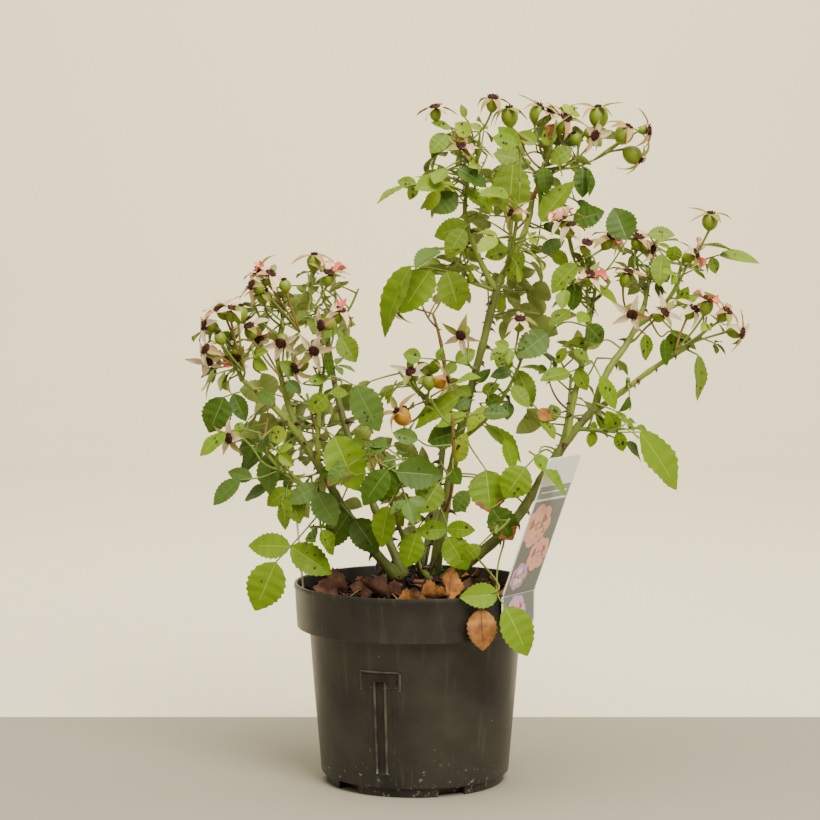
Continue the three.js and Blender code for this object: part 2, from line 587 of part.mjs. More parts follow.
/** The way that a leaf at a place turns its face: up, and away from the middle of the crown. */
function leafNormal(place, axis, draw) {
  const out = new THREE.Vector3(place.x - CROWN_AXIS.x, place.y - CROWN_AXIS.y, 0).normalize();
  const wish = new THREE.Vector3(draw() - 0.5, draw() - 0.5, 0.5 + 0.3 * draw());
  return squareTo(axis, wish.addScaledVector(out, 0.75));
}

/** Tries places for one leaf of a stem until it is free, and gives the leaf or nothing. */
function tryLeaf(mass, spot, draw, taken, context) {
  const { path, share, azimuth, length } = spot;
  const way = pathWay(path, share);
  const across = squareTo(way, new THREE.Vector3(0, 1, 0.2));
  const over = way.clone().cross(across);
  const base = pathPoint(path, share);
  for (let attempt = 0; attempt < LEAF.tries; attempt += 1) {
    const turn = radians(azimuth + (attempt === 0 ? 0 : (draw() - 0.5) * 320));
    const spread = radians(48 + 26 * draw());
    const droop = LEAF.droop * (0.4 + 1.3 * draw());
    const size = length * (0.86 + 0.28 * draw()) * (1 - (LEAF.shrink * attempt) / LEAF.tries);
    const out = across.clone().multiplyScalar(Math.cos(turn)).addScaledVector(over, Math.sin(turn));
    const axis = way.clone().multiplyScalar(Math.cos(spread)).addScaledVector(out, Math.sin(spread));
    axis.z -= droop;
    axis.normalize();
    const leaf = { base, axis, normal: leafNormal(base, axis, draw), length: size, fold: 0.12 * draw(), curl: 0.1 * draw() };
    const room = leafRoom(leaf);
    if (roomFor(room, taken) && leafOutline(leaf).every((point) => freeFor(mass, point, context))) {
      taken.push(...room);
      return leaf;
    }
  }
  return null;
}

/** The hips of a truss, fanned out from the tip of a stem. */
function trussHips(mass, path, count, draw, taken, context) {
  const tip = path[path.length - 1];
  const way = pathWay(path, 1).add(new THREE.Vector3(0, 0, 0.35)).normalize();
  const across = squareTo(way, new THREE.Vector3(1, 0.2, 0));
  const over = way.clone().cross(across);
  const hips = [];
  for (let i = 0; i < count; i += 1) {
    const spread = count === 1 ? 0.12 : 0.3 + 0.95 * Math.sqrt((i + 0.3) / count);
    const turn = radians(i * GOLDEN + 40 * draw());
    const stalk = HIP.stalk * (0.8 + 0.5 * draw());
    const out = across.clone().multiplyScalar(Math.cos(turn)).addScaledVector(over, Math.sin(turn));
    const axis = way.clone().multiplyScalar(Math.cos(spread)).addScaledVector(out, Math.sin(spread)).normalize();
    const radius = HIP.radius * (0.86 + 0.28 * draw());
    const centre = tip.clone().addScaledVector(axis, stalk + radius);
    const facing = axis.clone().addScaledVector(new THREE.Vector3(draw() - 0.5, draw() - 0.8, draw() - 0.4), 0.7).normalize();
    const room = [{ centre: centre.clone().addScaledVector(facing, radius * 0.8), radius: ROOM.hip }];
    const probe = [facing, axis].map((dir) => centre.clone().addScaledVector(dir, HIP.starRadius * 0.7));
    if (roomFor(room, taken) && probe.every((point) => freeFor(mass, point, context))) {
      hips.push({ from: tip.clone(), centre, axis: facing, radius });
      taken.push(...room);
    }
  }
  return hips;
}

/** Grows a mass: its stem, side shoots, hips and leaves, each skipped where it isn't free. */
function growMass(mass, context) {
  const { spec, stem } = mass;
  const plan = { stems: [{ points: stem, radii: [mass.radius, mass.radius * 0.55] }], leaves: [], hips: [] };
  const taken = [];
  const leafSpots = [];
  for (let i = 0; i < spec.leaves; i += 1) {
    const share = 0.3 + (0.68 * (i + 0.5)) / spec.leaves;
    leafSpots.push({ path: stem, share, azimuth: spec.seed * 47 + i * GOLDEN, length: spec.leafLength });
  }
  for (const feature of spec.features ?? []) {
    const axis = leaning(feature.lean, feature.heading);
    const base = pathPoint(stem, feature.at);
    const normal = leafNormal(base, axis, stream(spec.seed * 1009 + 7));
    const leaf = { base, axis, normal, length: feature.length, fold: 0.05, curl: 0.05 };
    plan.leaves.push(leaf);
    taken.push(...leafRoom(leaf));
  }
  plan.hips.push(...trussHips(mass, stem, spec.hips, stream(spec.seed * 1009 + 900), taken, context));
  for (let i = 0; i < spec.shoots; i += 1) {
    const draw = stream(spec.seed * 1009 + 300 + i);
    const share = 0.35 + (0.5 * i) / Math.max(1, spec.shoots);
    const heading = (spec.turn ?? spec.seed * 73) + i * GOLDEN + 20 * draw();
    const length = (spec.shootLength ?? 40) * (0.85 + 0.3 * draw());
    const shoot = growPath(pathPoint(stem, share), length, [62, 34, 18], [heading, heading + 12], 2);
    if (!freeFor(mass, shoot[2], context) || !freeFor(mass, shoot[1], context)) continue;
    plan.stems.push({ points: shoot, radii: [mass.radius * 0.6, mass.radius * 0.45] });
    plan.hips.push(...trussHips(mass, shoot, spec.shootHips, draw, taken, context));
    leafSpots.push({ path: shoot, share: 0.55, azimuth: spec.seed * 31 + i * GOLDEN, length: spec.leafLength * 0.88 });
    leafSpots.push({ path: shoot, share: 0.9, azimuth: spec.seed * 31 + i * GOLDEN + 170, length: spec.leafLength * 0.8 });
  }
  leafSpots.forEach((spot, i) => {
    const leaf = tryLeaf(mass, spot, stream(spec.seed * 1009 + 500 + i), taken, context);
    if (leaf) plan.leaves.push(leaf);
  });
  return plan;
}

/** One compound leaf as a solid: a stalk, a pair of side leaflets and the end leaflet. */
function leafSolid(leaf) {
  const side = leaf.axis.clone().cross(leaf.normal);
  const at = (along, across, rise) => {
    const point = leaf.base.clone().addScaledVector(leaf.axis, leaf.length * along);
    return point.addScaledVector(side, leaf.length * across).addScaledVector(leaf.normal, rise);
  };
  const stalk = LEAF.stalkRadius / leaf.length;
  const fork = LEAFLET.fork;
  const heart = fork + 0.27; // middle of the end leaflet
  const turn = radians(LEAFLET.spread);
  const [ahead, aside] = [Math.cos(turn), Math.sin(turn)];
  const sideAt = (along, across, hand) => {
    const length = LEAFLET.side * along;
    const width = LEAFLET.side * LEAFLET.halfWidth * across;
    return at(fork + length * ahead - width * aside, hand * (length * aside + width * ahead), leaf.length * leaf.fold * along);
  };
  const half = (hand) => [
    at(0, hand * stalk, 0),
    at(fork - 0.07, hand * stalk, 0),
    sideAt(0.46, 1, hand),
    sideAt(1, 0, hand),
    sideAt(0.46, -1, hand),
    at(fork + 0.12, hand * stalk * 1.4, 0),
    at(1 - LEAFLET.end * 0.56, hand * LEAFLET.end * LEAFLET.halfWidth, leaf.length * leaf.fold * 0.4),
  ];
  const right = half(1);
  const left = half(-1).reverse();
  const outline = [...right, at(1, 0, -leaf.length * leaf.curl), ...left];
  const rise = LEAF.thickness / 2;
  const count = outline.length; // 15 points, of which the last is the stalk's left foot
  const corners = [...outline, at(fork, 0, rise), at(heart, 0, rise * 0.7), at(fork, 0, -rise),
    at(heart, 0, -rise * 0.7), at(0, 0, -LEAF.stalkRadius * 1.7)];
  const [forkTop, heartTop, forkUnder, heartUnder, keel] = [0, 1, 2, 3, 4].map((i) => count + i);
  const faces = [[keel, 0, count - 1]];
  const pairs = [[0, 1], [1, 2], [2, 3], [3, 4], [4, 5]];
  const endPairs = [[5, 6], [6, 7]];
  for (const [a, b] of pairs) {
    faces.push([forkTop, a, b], [forkTop, count - 1 - b, count - 1 - a]);
    if (a > 0) faces.push([forkUnder, b, a], [forkUnder, count - 1 - a, count - 1 - b]);
  }
  for (const [a, b] of endPairs) {
    faces.push([heartTop, a, b], [heartTop, count - 1 - b, count - 1 - a]);
    faces.push([heartUnder, b, a], [heartUnder, count - 1 - a, count - 1 - b]);
  }
  faces.push([forkTop, 5, heartTop], [forkTop, heartTop, count - 6], [forkUnder, heartUnder, 5]);
  faces.push([forkUnder, count - 6, heartUnder], [forkTop, count - 1, 0]);
  faces.push([keel, 1, 0], [keel, forkUnder, 1], [keel, count - 1, count - 2], [keel, count - 2, forkUnder]);
  return solidFrom(corners, faces);
}

/** One mass as a single solid, cut clear of the limbs that it grows on. */
function massSolid(plan, limbSolids) {
  const solids = [];
  for (const stem of plan.stems) {
    const radii = stem.points.map((_, i) => alongList(stem.radii, i / (stem.points.length - 1)));
    solids.push(rod(stem.points, radii, 3));
  }
  solids.push(...plan.leaves.map(leafSolid), ...plan.hips.map(hipSolid));
  const joined = wasm.Manifold.union(solids);
  return largestBody(wasm.Manifold.difference([joined, ...limbSolids]));
}

// Assembly

const rose = new THREE.Group();
rose.name = "rose_bush_in_pot";
const addPiece = (name, solid, material) => rose.add(meshOf(name, solid, material));

addPiece("pot", potSolid(), MATERIALS.pot);
addPiece("compost", compostSolid(), MATERIALS.compost);
addPiece("graft_union", unionSolid(), MATERIALS.union);
addPiece("card_label", labelSolid(), MATERIALS.label);
addPiece("slim_tag", tagSolid(), MATERIALS.label);
FALLEN_LEAVES.forEach((spec, i) => addPiece(`fallen_leaf_${i + 1}`, fallenLeafSolid(spec), MATERIALS.fallenLeaf));

const limbs = new Map();
const limbClearances = [];
for (const spec of LIMBS) {
  const limb = placeLimb(spec, limbs);
  limbs.set(spec.name, limb);
  const cut = wasm.Manifold.difference([limbSolid(limb, 0), ...limbClearances]);
  addPiece(spec.name, largestBody(cut), MATERIALS.cane);
  limbClearances.push(limbSolid(limb, CLEAR));
}

const masses = MASSES.map((spec) => {
  const limb = limbs.get(spec.limb);
  const end = spec.at === 1 ? CLEAR : 0;
  const start = pathPoint(limb.points, spec.at).addScaledVector(pathWay(limb.points, 1), end);
  const stem = growPath(start, spec.length, spec.lean, spec.heading, 4);
  const reaches = (spec.features ?? []).map((feature) => {
    const base = pathPoint(stem, feature.at);
    return [base, base.clone().addScaledVector(leaning(feature.lean, feature.heading), feature.length)];
  });
  const radius = Math.min(2.1, limb.radii[limb.radii.length - 1]);
  return { spec, stem, radius, sites: [stem, ...reaches] };
});
const context = { masses, limbs: [...limbs.values()] };
for (const mass of masses) {
  addPiece(mass.spec.name, massSolid(growMass(mass, context), limbClearances), MATERIALS.foliage);
}

export default rose;
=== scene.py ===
"""Looks of a young patio rose in its black nursery pot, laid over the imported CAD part.

Lengths are in millimetres until a mesh is made. The origin is the centre of the pot's underside, +Z is
up and -Y is the front. The foliage follows the growing rule of the part's source, carried on to finer
twigs, leaflets and hips within each mass's own space.
"""

import json
import logging
from collections.abc import Callable
from dataclasses import dataclass, field
from enum import Enum
from math import acos, atan2, cos, hypot, pi, radians, sin, sqrt, tan
from typing import ClassVar

import bpy
import numpy as np
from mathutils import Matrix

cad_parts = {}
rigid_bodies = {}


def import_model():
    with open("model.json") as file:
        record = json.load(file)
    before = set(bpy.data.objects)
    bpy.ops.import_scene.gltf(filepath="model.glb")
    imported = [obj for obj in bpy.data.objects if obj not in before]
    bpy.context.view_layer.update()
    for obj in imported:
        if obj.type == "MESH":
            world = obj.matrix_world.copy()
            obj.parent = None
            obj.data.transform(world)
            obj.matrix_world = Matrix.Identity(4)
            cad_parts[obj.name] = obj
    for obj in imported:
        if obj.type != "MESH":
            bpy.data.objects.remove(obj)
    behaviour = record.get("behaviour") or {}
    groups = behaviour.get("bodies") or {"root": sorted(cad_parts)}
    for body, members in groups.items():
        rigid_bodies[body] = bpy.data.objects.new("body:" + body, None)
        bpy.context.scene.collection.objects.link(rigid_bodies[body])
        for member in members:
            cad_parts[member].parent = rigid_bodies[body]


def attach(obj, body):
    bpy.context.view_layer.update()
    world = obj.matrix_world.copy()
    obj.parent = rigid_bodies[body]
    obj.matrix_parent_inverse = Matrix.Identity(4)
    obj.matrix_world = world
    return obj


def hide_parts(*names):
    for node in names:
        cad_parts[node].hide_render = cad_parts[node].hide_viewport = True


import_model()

log = logging.getLogger("rose")

MM = 0.001
GOLDEN = 137.5  # degrees from one leaf on a stem to the next
UP = np.array([0.0, 0.0, 1.0])


# Vectors, paths and seeded numbers


def unit(vector: np.ndarray) -> np.ndarray:
    """The vector, or each vector of an array, at a length of one."""
    return vector / np.maximum(np.linalg.norm(vector, axis=-1, keepdims=True), 1e-9)


def vec(x: float, y: float, z: float) -> np.ndarray:
    """A vector of three numbers."""
    return np.array([x, y, z], dtype=float)


class Stream:
    """Even numbers from 0 to 1 that are the same for the same seed."""

    MODULUS = 2147483647

    def __init__(self, seed: int) -> None:
        """Starts the stream.

        Args:
            seed: a whole number.
        """
        self.state = (seed * 48271 + 11) % self.MODULUS
        for _ in range(3):
            self()

    def __call__(self) -> float:
        """The next number."""
        self.state = (self.state * 16807) % self.MODULUS
        return self.state / self.MODULUS

    def between(self, low: float, high: float) -> float:
        """A number between two others."""
        return low + (high - low) * self()


def along_list(values: tuple[float, ...], share: float) -> float:
    """The value at a share of a list that is read evenly from its first entry to its last.

    Args:
        values: the list.
        share: 0 for its first entry, 1 for its last.

    Returns:
        The value.
    """
    place = min(max(share, 0.0), 1.0) * (len(values) - 1)
    index = min(int(place), len(values) - 2)
    return values[index] + (values[index + 1] - values[index]) * (place - index)


def leaning(lean: float, heading: float) -> np.ndarray:
    """The unit vector that leans from upright towards a heading, both in degrees.

    Args:
        lean: how far it leans from upright.
        heading: where to, counter-clockwise from +X.

    Returns:
        The vector.
    """
    flat = sin(radians(lean))
    turn = radians(heading)
    return vec(flat * cos(turn), flat * sin(turn), cos(radians(lean)))


def around(across: np.ndarray, over: np.ndarray, turn: float) -> np.ndarray:
    """The vector that lies at an angle from across towards over, in radians."""
    return across * cos(turn) + over * sin(turn)


def square_to(axis: np.ndarray, wish: np.ndarray) -> np.ndarray:
    """A unit vector square to axis, as near as it can be to wish.

    Args:
        axis: a unit vector.
        wish: where the new one should point.

    Returns:
        The vector.
    """
    side = wish - axis * wish.dot(axis)
    if np.linalg.norm(side) < 0.05:
        side = vec(axis[2], axis[0], axis[1])
        side = side - axis * side.dot(axis)
    return unit(side)


def grow_path(start: np.ndarray, length: float, leans: tuple, headings: tuple, steps: int) -> np.ndarray:
    """The points of a stem that bends as its leans and headings say.

    Args:
        start: where the stem starts.
        length: its length.
        leans: its leans from upright, in degrees, read evenly along it.
        headings: its headings, read the same way.
        steps: how many straight pieces it has.

    Returns:
        An array of steps + 1 points.
    """
    points = [np.array(start, dtype=float)]
    for step in range(steps):
        share = (step + 0.5) / steps
        way = leaning(along_list(leans, share), along_list(headings, share))
        points.append(points[-1] + way * (length / steps))
    return np.array(points)


def path_point(points: np.ndarray, share: float) -> np.ndarray:
    """The point at a share of a path of evenly spaced points.

    Args:
        points: the path.
        share: 0 for its start, 1 for its end.

    Returns:
        The point.
    """
    place = min(max(share, 0.0), 1.0) * (len(points) - 1)
    index = min(int(place), len(points) - 2)
    return points[index] + (points[index + 1] - points[index]) * (place - index)


def path_way(points: np.ndarray, share: float) -> np.ndarray:
    """The way that a path runs at a share of it."""
    index = min(int(min(max(share, 0.0), 1.0) * (len(points) - 1)), len(points) - 2)
    return unit(points[index + 1] - points[index])


def smooth_path(points: np.ndarray, per: int) -> np.ndarray:
    """The path rounded through its points, with per new points for each piece of it.

    Args:
        points: the path.
        per: how many points each piece of it gets.

    Returns:
        The rounded path.
    """
    padded = np.vstack([2 * points[0] - points[1], points, 2 * points[-1] - points[-2]])
    made = []
    for i in range(1, len(padded) - 2):
        p0, p1, p2, p3 = padded[i - 1 : i + 3]
        for t in np.linspace(0, 1, per, endpoint=False):
            made.append(0.5 * (2 * p1 + (p2 - p0) * t + (2 * p0 - 5 * p1 + 4 * p2 - p3) * t**2
                               + (3 * p1 - 3 * p2 + p3 - p0) * t**3))
    made.append(points[-1])
    return np.array(made)


def ripple(points: np.ndarray, size: float, seed: int) -> np.ndarray:
    """A smooth uneven value between about -1 and 1 at each point, with bumps of a size in mm.

    Args:
        points: the points, in the last axis of an array.
        size: about how wide the bumps are.
        seed: a whole number that sets them.

    Returns:
        A value for each point.
    """
    rng = np.random.default_rng(seed)
    total = np.zeros(points.shape[:-1])
    for _ in range(6):
        wave = unit(rng.normal(size=3)) * rng.uniform(0.7, 1.6) * 2 * pi / size
        total += np.sin(points @ wave + rng.uniform(0, 6.28))
    return total / 3.2


# Finishes


def linear(colour: str) -> tuple[float, float, float, float]:
    """The linear colour of an sRGB hex colour."""
    parts = [int(colour[i : i + 2], 16) / 255 for i in (1, 3, 5)]
    return (*[c / 12.92 if c <= 0.04045 else ((c + 0.055) / 1.055) ** 2.4 for c in parts], 1.0)


def add_node(tree: bpy.types.NodeTree, kind: str, settings: dict | None = None,
             links: dict | None = None) -> bpy.types.Node:
    """Adds a node to a tree.

    Args:
        tree: the node tree.
        kind: the node's type.
        settings: values for its sockets by name or number, or for its own properties by name.
        links: sockets that feed it, by the name or number of the socket they feed.

    Returns:
        The new node.
    """
    node = tree.nodes.new(kind)
    for name, value in (settings or {}).items():
        if isinstance(name, int) or name in node.inputs:
            node.inputs[name].default_value = value
        else:
            setattr(node, name, value)
    for name, source in (links or {}).items():
        tree.links.new(source, node.inputs[name])
    return node


@dataclass(frozen=True)
class Finish:
    """A surface of one plain colour with a fine relief.

    Attributes:
        name: what the real surface is.
        colour: its sRGB hex colour.
        roughness: from 0, a mirror, to 1, chalk.
        grain: size of the relief's grain.
        relief: height of the relief.
        ior: index of refraction.
    """

    name: str
    colour: str
    roughness: float = 0.5
    grain: float = 2.0
    relief: float = 0.05
    ior: float = 1.45

    def material(self) -> bpy.types.Material:
        """The finish's material, made once.

        Returns:
            The material.
        """
        found = bpy.data.materials.get(self.name)
        if found:
            return found
        made = bpy.data.materials.new(self.name)
        made.use_nodes = True
        tree = made.node_tree
        tree.nodes.clear()
        place = add_node(tree, "ShaderNodeTexCoord").outputs["Object"]
        shader = add_node(tree, "ShaderNodeBsdfPrincipled", {
            "Base Color": linear(self.colour), "Roughness": self.roughness, "IOR": self.ior})
        self.dress(tree, shader, place)
        add_node(tree, "ShaderNodeOutputMaterial", links={"Surface": shader.outputs["BSDF"]})
        return made

    def dress(self, tree: bpy.types.NodeTree, shader: bpy.types.Node, place: bpy.types.NodeSocket) -> None:
        """Gives the shader its relief.

        Args:
            tree: the material's nodes.
            shader: its shader.
            place: the socket with the place on the object, in metres.
        """
        grain = add_node(tree, "ShaderNodeTexNoise", {"Scale": 1 / (self.grain * MM), "Detail": 3.0},
                         {"Vector": place})
        bump = add_node(tree, "ShaderNodeBump", {"Strength": 0.8, "Distance": self.relief * MM},
                        {"Height": grain.outputs["Fac"]})
        tree.links.new(bump.outputs["Normal"], shader.inputs["Normal"])


@dataclass(frozen=True)
class Mottled(Finish):
    """A surface whose colour wanders between its own and a second one.

    Attributes:
        second: the other sRGB hex colour.
        patch: size of the patches of colour.
        stretch: how much longer the patches are upwards than across.
        sharp: how hard the edges of the patches are, 0 to 1.
    """

    second: str = "#808080"
    patch: float = 10.0
    stretch: float = 1.0
    sharp: float = 0.4

    def dress(self, tree: bpy.types.NodeTree, shader: bpy.types.Node, place: bpy.types.NodeSocket) -> None:
        """Gives the shader its two colours and its relief.

        Args:
            tree: the material's nodes.
            shader: its shader.
            place: the socket with the place on the object, in metres.
        """
        super().dress(tree, shader, place)
        long = add_node(tree, "ShaderNodeMapping", {"Scale": (1.0, 1.0, 1.0 / self.stretch)}, {"Vector": place})
        noise = add_node(tree, "ShaderNodeTexNoise", {"Scale": 1 / (self.patch * MM), "Detail": 5.0},
                         {"Vector": long.outputs["Vector"]})
        ramp = add_node(tree, "ShaderNodeValToRGB", links={"Fac": noise.outputs["Fac"]})
        soft = 0.3 * (1 - self.sharp)
        stops = ((0.5 - soft, self.colour), (0.5 + soft, self.second))
        for stop, (level, colour) in zip(ramp.color_ramp.elements, stops):
            stop.position, stop.color = level, linear(colour)
        tree.links.new(ramp.outputs["Color"], shader.inputs["Base Color"])


@dataclass(frozen=True)
class PotPlastic(Finish):
    """Injection-moulded black polypropylene that has stood outdoors.

    Its patterns are far coarser than the dust and the drops themselves, so that they show.

    Attributes:
        dust: sRGB hex colour of the dust and of the places that are rubbed pale.
        splash: sRGB hex colour of dried compost water.
        film: size of the clouds of dust.
        streak: width of the rubbed streaks, and how much longer they are upwards.
        spatter: size of the splashes.
    """

    dust: str = "#4b4638"
    splash: str = "#a49c84"
    film: float = 62.5
    streak: tuple[float, float] = (20 / 3, 1 / 0.07)
    spatter: float = 100 / 21

    # Sockets of a Mix node that mixes colours, which share their names with others.
    MIX_SHARE: ClassVar[int] = 0
    MIX_A: ClassVar[int] = 6
    MIX_B: ClassVar[int] = 7
    MIXED: ClassVar[int] = 2

    def dress(self, tree: bpy.types.NodeTree, shader: bpy.types.Node, place: bpy.types.NodeSocket) -> None:
        """Gives the plastic its film of dust, its rubbed streaks and the dried splashes near its foot.

        Args:
            tree: the material's nodes.
            shader: its shader.
            place: the socket with the place on the object, in metres.
        """
        super().dress(tree, shader, place)
        film = add_node(tree, "ShaderNodeTexNoise",
                        {"Scale": 1 / (self.film * MM), "Detail": 6.0, "Roughness": 0.6}, {"Vector": place})
        thin = add_node(tree, "ShaderNodeMapRange",
                        {"From Min": 0.34, "From Max": 0.78, "To Min": 0.08, "To Max": 0.62},
                        {"Value": film.outputs["Fac"]})
        width, stretch = self.streak
        upright = add_node(tree, "ShaderNodeMapping", {"Scale": (1.0, 1.0, 1 / stretch)}, {"Vector": place})
        streaks = add_node(tree, "ShaderNodeTexNoise", {"Scale": 1 / (width * MM), "Detail": 3.0},
                           {"Vector": upright.outputs["Vector"]})
        rubbed = add_node(tree, "ShaderNodeMapRange",
                          {"From Min": 0.57, "From Max": 0.8, "To Min": 0.0, "To Max": 0.5},
                          {"Value": streaks.outputs["Fac"]})
        both = add_node(tree, "ShaderNodeMath", {"operation": "ADD", "use_clamp": True},
                        {0: thin.outputs["Result"], 1: rubbed.outputs["Result"]})
        dusty = add_node(tree, "ShaderNodeMix",
                         {"data_type": "RGBA", self.MIX_A: linear(self.colour), self.MIX_B: linear(self.dust)},
                         {self.MIX_SHARE: both.outputs["Value"]})
        # Splashes of dried compost water are commonest low on the wall.
        height = add_node(tree, "ShaderNodeSeparateXYZ", links={"Vector": place})
        low = add_node(tree, "ShaderNodeMapRange",
                       {"From Min": 0.0, "From Max": 0.05, "To Min": 0.1, "To Max": 0.0},
                       {"Value": height.outputs["Z"]})
        spots = add_node(tree, "ShaderNodeTexNoise",
                         {"Scale": 1 / (self.spatter * MM), "Detail": 4.0, "Roughness": 0.7}, {"Vector": place})
        level = add_node(tree, "ShaderNodeMath", {"operation": "ADD"},
                         {0: spots.outputs["Fac"], 1: low.outputs["Result"]})
        cut = add_node(tree, "ShaderNodeMapRange",
                       {"From Min": 0.69, "From Max": 0.77, "To Min": 0.0, "To Max": 0.75},
                       {"Value": level.outputs["Value"]})
        splashed = add_node(tree, "ShaderNodeMix", {"data_type": "RGBA", self.MIX_B: linear(self.splash)},
                            {self.MIX_SHARE: cut.outputs["Result"], self.MIX_A: dusty.outputs[self.MIXED]})
        tree.links.new(splashed.outputs[self.MIXED], shader.inputs["Base Color"])


class Paint:
    """The finishes of the plant, its pot and its labels.

    A grain is the real size of what it stands for where that shows. The net of veins in a leaf, the pores of
    bark and the dust on plastic are finer, and are drawn at 1 to 2.5 mm so that they show.
    """

    # Polypropylene, injection moulded: near black with a soft sheen, under a thin film of dust.
    POT = PotPlastic("Black polypropylene pot plastic", "#141210", 0.4, grain=0.9, relief=0.03, ior=1.4)
    # The same plastic, pale on the ribs with scuffing and a painted highlight, and darker between them with painted
    # shade in the channel.
    POT_RUBBED = Mottled("Pot plastic, rubbed pale on the ribs", "#26221b", 0.42, grain=0.9, relief=0.04,
                         ior=1.4, second="#575142", patch=6, stretch=2)
    POT_CLEAN = Mottled("Pot plastic, darker between the ribs", "#0b0908", 0.42, grain=0.9, relief=0.04,
                        ior=1.4, second="#2a261e", patch=9, stretch=2, sharp=0.1)
    # Peat and bark, damp: matt, dark and crumbly, with redder chips and pale splinters on it.
    COMPOST = Mottled("Damp bark compost", "#0f0603", 0.95, grain=1.6, relief=1.0, second="#241008", patch=7)
    CHIP_RED = Mottled("Red-brown pine bark", "#3b190c", 0.85, grain=1.5, relief=0.4, second="#28120a", patch=5)
    CHIP_DARK = Finish("Dark bark mulch", "#190d08", 0.9, grain=1.5, relief=0.4)
    CHIP_TAN = Finish("Pale split wood", "#704828", 0.8, grain=1.2, relief=0.2)
    STRAW = Finish("Dry grass stalks", "#8a7440", 0.7, grain=0.8, relief=0.05)
    # Old rose wood: cracked bark without any gloss.
    UNION = Mottled("Old rose bark", "#281a10", 0.95, grain=1.8, relief=0.9, second="#140c07", patch=6)
    # Living bark: smooth green skin with a low gloss, browner and rougher where it has ripened.
    CANE_OLD = Mottled("Ripe cane bark", "#6f7d2c", 0.5, grain=1.6, relief=0.18, second="#575b27", patch=12,
                       stretch=3)
    CANE_GREEN = Mottled("Green cane bark", "#72822a", 0.45, grain=1.4, relief=0.1, second="#8a9538", patch=14,
                         stretch=3)
    TWIG = Finish("Green rose twig", "#6f7e2a", 0.5, grain=1.0, relief=0.06)
    TWIG_RED = Finish("Sun-reddened rose twig", "#84652f", 0.5, grain=1.0, relief=0.06)
    # Prickles are horny and red-brown, and dead wood is dull and nearly black.
    PRICKLE = Finish("Rose prickle", "#4f2a1b", 0.45, grain=0.6, relief=0.03)
    DEAD_WOOD = Finish("Dead rose stub", "#1d120d", 0.9, grain=1.0, relief=0.3)
    # Leaf skin, waxy: a satin sheen broken by the quilting of the veins. The low IOR keeps it from looking wet.
    MID = Finish("Rose leaf, mid green", "#6b8218", 0.5, grain=2.2, relief=0.36, ior=1.3)
    FRESH = Finish("Rose leaf, young yellow-green", "#899a22", 0.48, grain=2.0, relief=0.34, ior=1.3)
    BRIGHT = Finish("Rose leaf, bright green", "#6c880d", 0.5, grain=2.2, relief=0.36, ior=1.3)
    DEEP = Finish("Rose leaf, deep green", "#40590f", 0.5, grain=2.4, relief=0.38, ior=1.3)
    BLUISH = Finish("Rose leaf, blue-green", "#516a24", 0.52, grain=2.4, relief=0.36, ior=1.3)
    # The underside has no wax: paler, greyer and matt.
    UNDER = Finish("Rose leaf, pale underside", "#95a34a", 0.6, grain=1.6, relief=0.14)
    # Midribs are smooth and lighter than the leaf.
    VEIN = Finish("Rose leaf, midrib", "#8f9f38", 0.5, grain=1.0, relief=0.04)
    VEIN_DEEP = Finish("Rose leaf, midrib of a deep green leaf", "#66782c", 0.5, grain=1.0, relief=0.04)
    # Withered edges and fungus spots are dry and brown.
    SCORCH = Finish("Scorched leaf edge", "#8c5230", 0.7, grain=1.4, relief=0.2)
    SPOT = Finish("Leaf spot", "#2d2a14", 0.7, grain=0.8, relief=0.06)
    # Dead leaves: papery, blotched and dull.
    DRY = Mottled("Dead rose leaf", "#b47a32", 0.75, grain=1.8, relief=0.5, second="#74441f", patch=8)
    DRY_DARK = Mottled("Rotted rose leaf", "#5e3a20", 0.8, grain=1.6, relief=0.5, second="#2e180d", patch=7)
    # Hip skin: smooth and fleshy, with a soft highlight.
    HIP = Finish("Green rose hip", "#7a8a22", 0.4, grain=2.6, relief=0.05, ior=1.38)
    HIP_RIPE = Finish("Ripening rose hip", "#c48a22", 0.4, grain=2.6, relief=0.05, ior=1.38)
    # Dry sepals: felted inside, papery and green outside.
    SEPAL = Finish("Sepal, pale inner face", "#e2c69a", 0.7, grain=1.0, relief=0.06)
    SEPAL_TAN = Finish("Sepal, dry tan", "#b88f58", 0.75, grain=1.0, relief=0.06)
    SEPAL_OUT = Finish("Sepal, green outer face", "#8f8a3c", 0.6, grain=1.0, relief=0.06)
    # Withered stamens are a dark brown brush, and the last petals are thin and crumpled.
    STAMEN = Finish("Withered stamens", "#3c1a10", 0.9, grain=0.5, relief=0.3)
    PETAL = Finish("Withered petal, coral", "#e4695c", 0.65, grain=1.4, relief=0.2)
    PETAL_PALE = Finish("Withered petal, cream", "#efc2a2", 0.65, grain=1.4, relief=0.2)
    # Coated card, offset printed: flat even tones under an even, soft gloss.
    CARD = Finish("Printed label card", "#fdf9ee", 0.35, grain=3.0, relief=0.01, ior=1.5)
    CARD_BAND = Finish("Label card, grey-green print", "#7f8f88", 0.35, grain=3.0, relief=0.01, ior=1.5)
    CARD_FIELD = Finish("Label card, grey print", "#6d7068", 0.35, grain=3.0, relief=0.01, ior=1.5)
    CARD_PINK = Finish("Label card, pink print", "#f0a59b", 0.35, grain=3.0, relief=0.01, ior=1.5)
    CARD_PEACH = Finish("Label card, peach print", "#f3b48c", 0.35, grain=3.0, relief=0.01, ior=1.5)
    CARD_BLUSH = Finish("Label card, pale pink print", "#f7d3cb", 0.35, grain=3.0, relief=0.01, ior=1.5)
    CARD_LILAC = Finish("Label card, lilac print", "#cf9fc4", 0.35, grain=3.0, relief=0.01, ior=1.5)
    # Polystyrene sheet, die cut: smooth and white.
    TAG = Finish("White polystyrene tag", "#e9e7df", 0.4, grain=4.0, relief=0.02, ior=1.55)
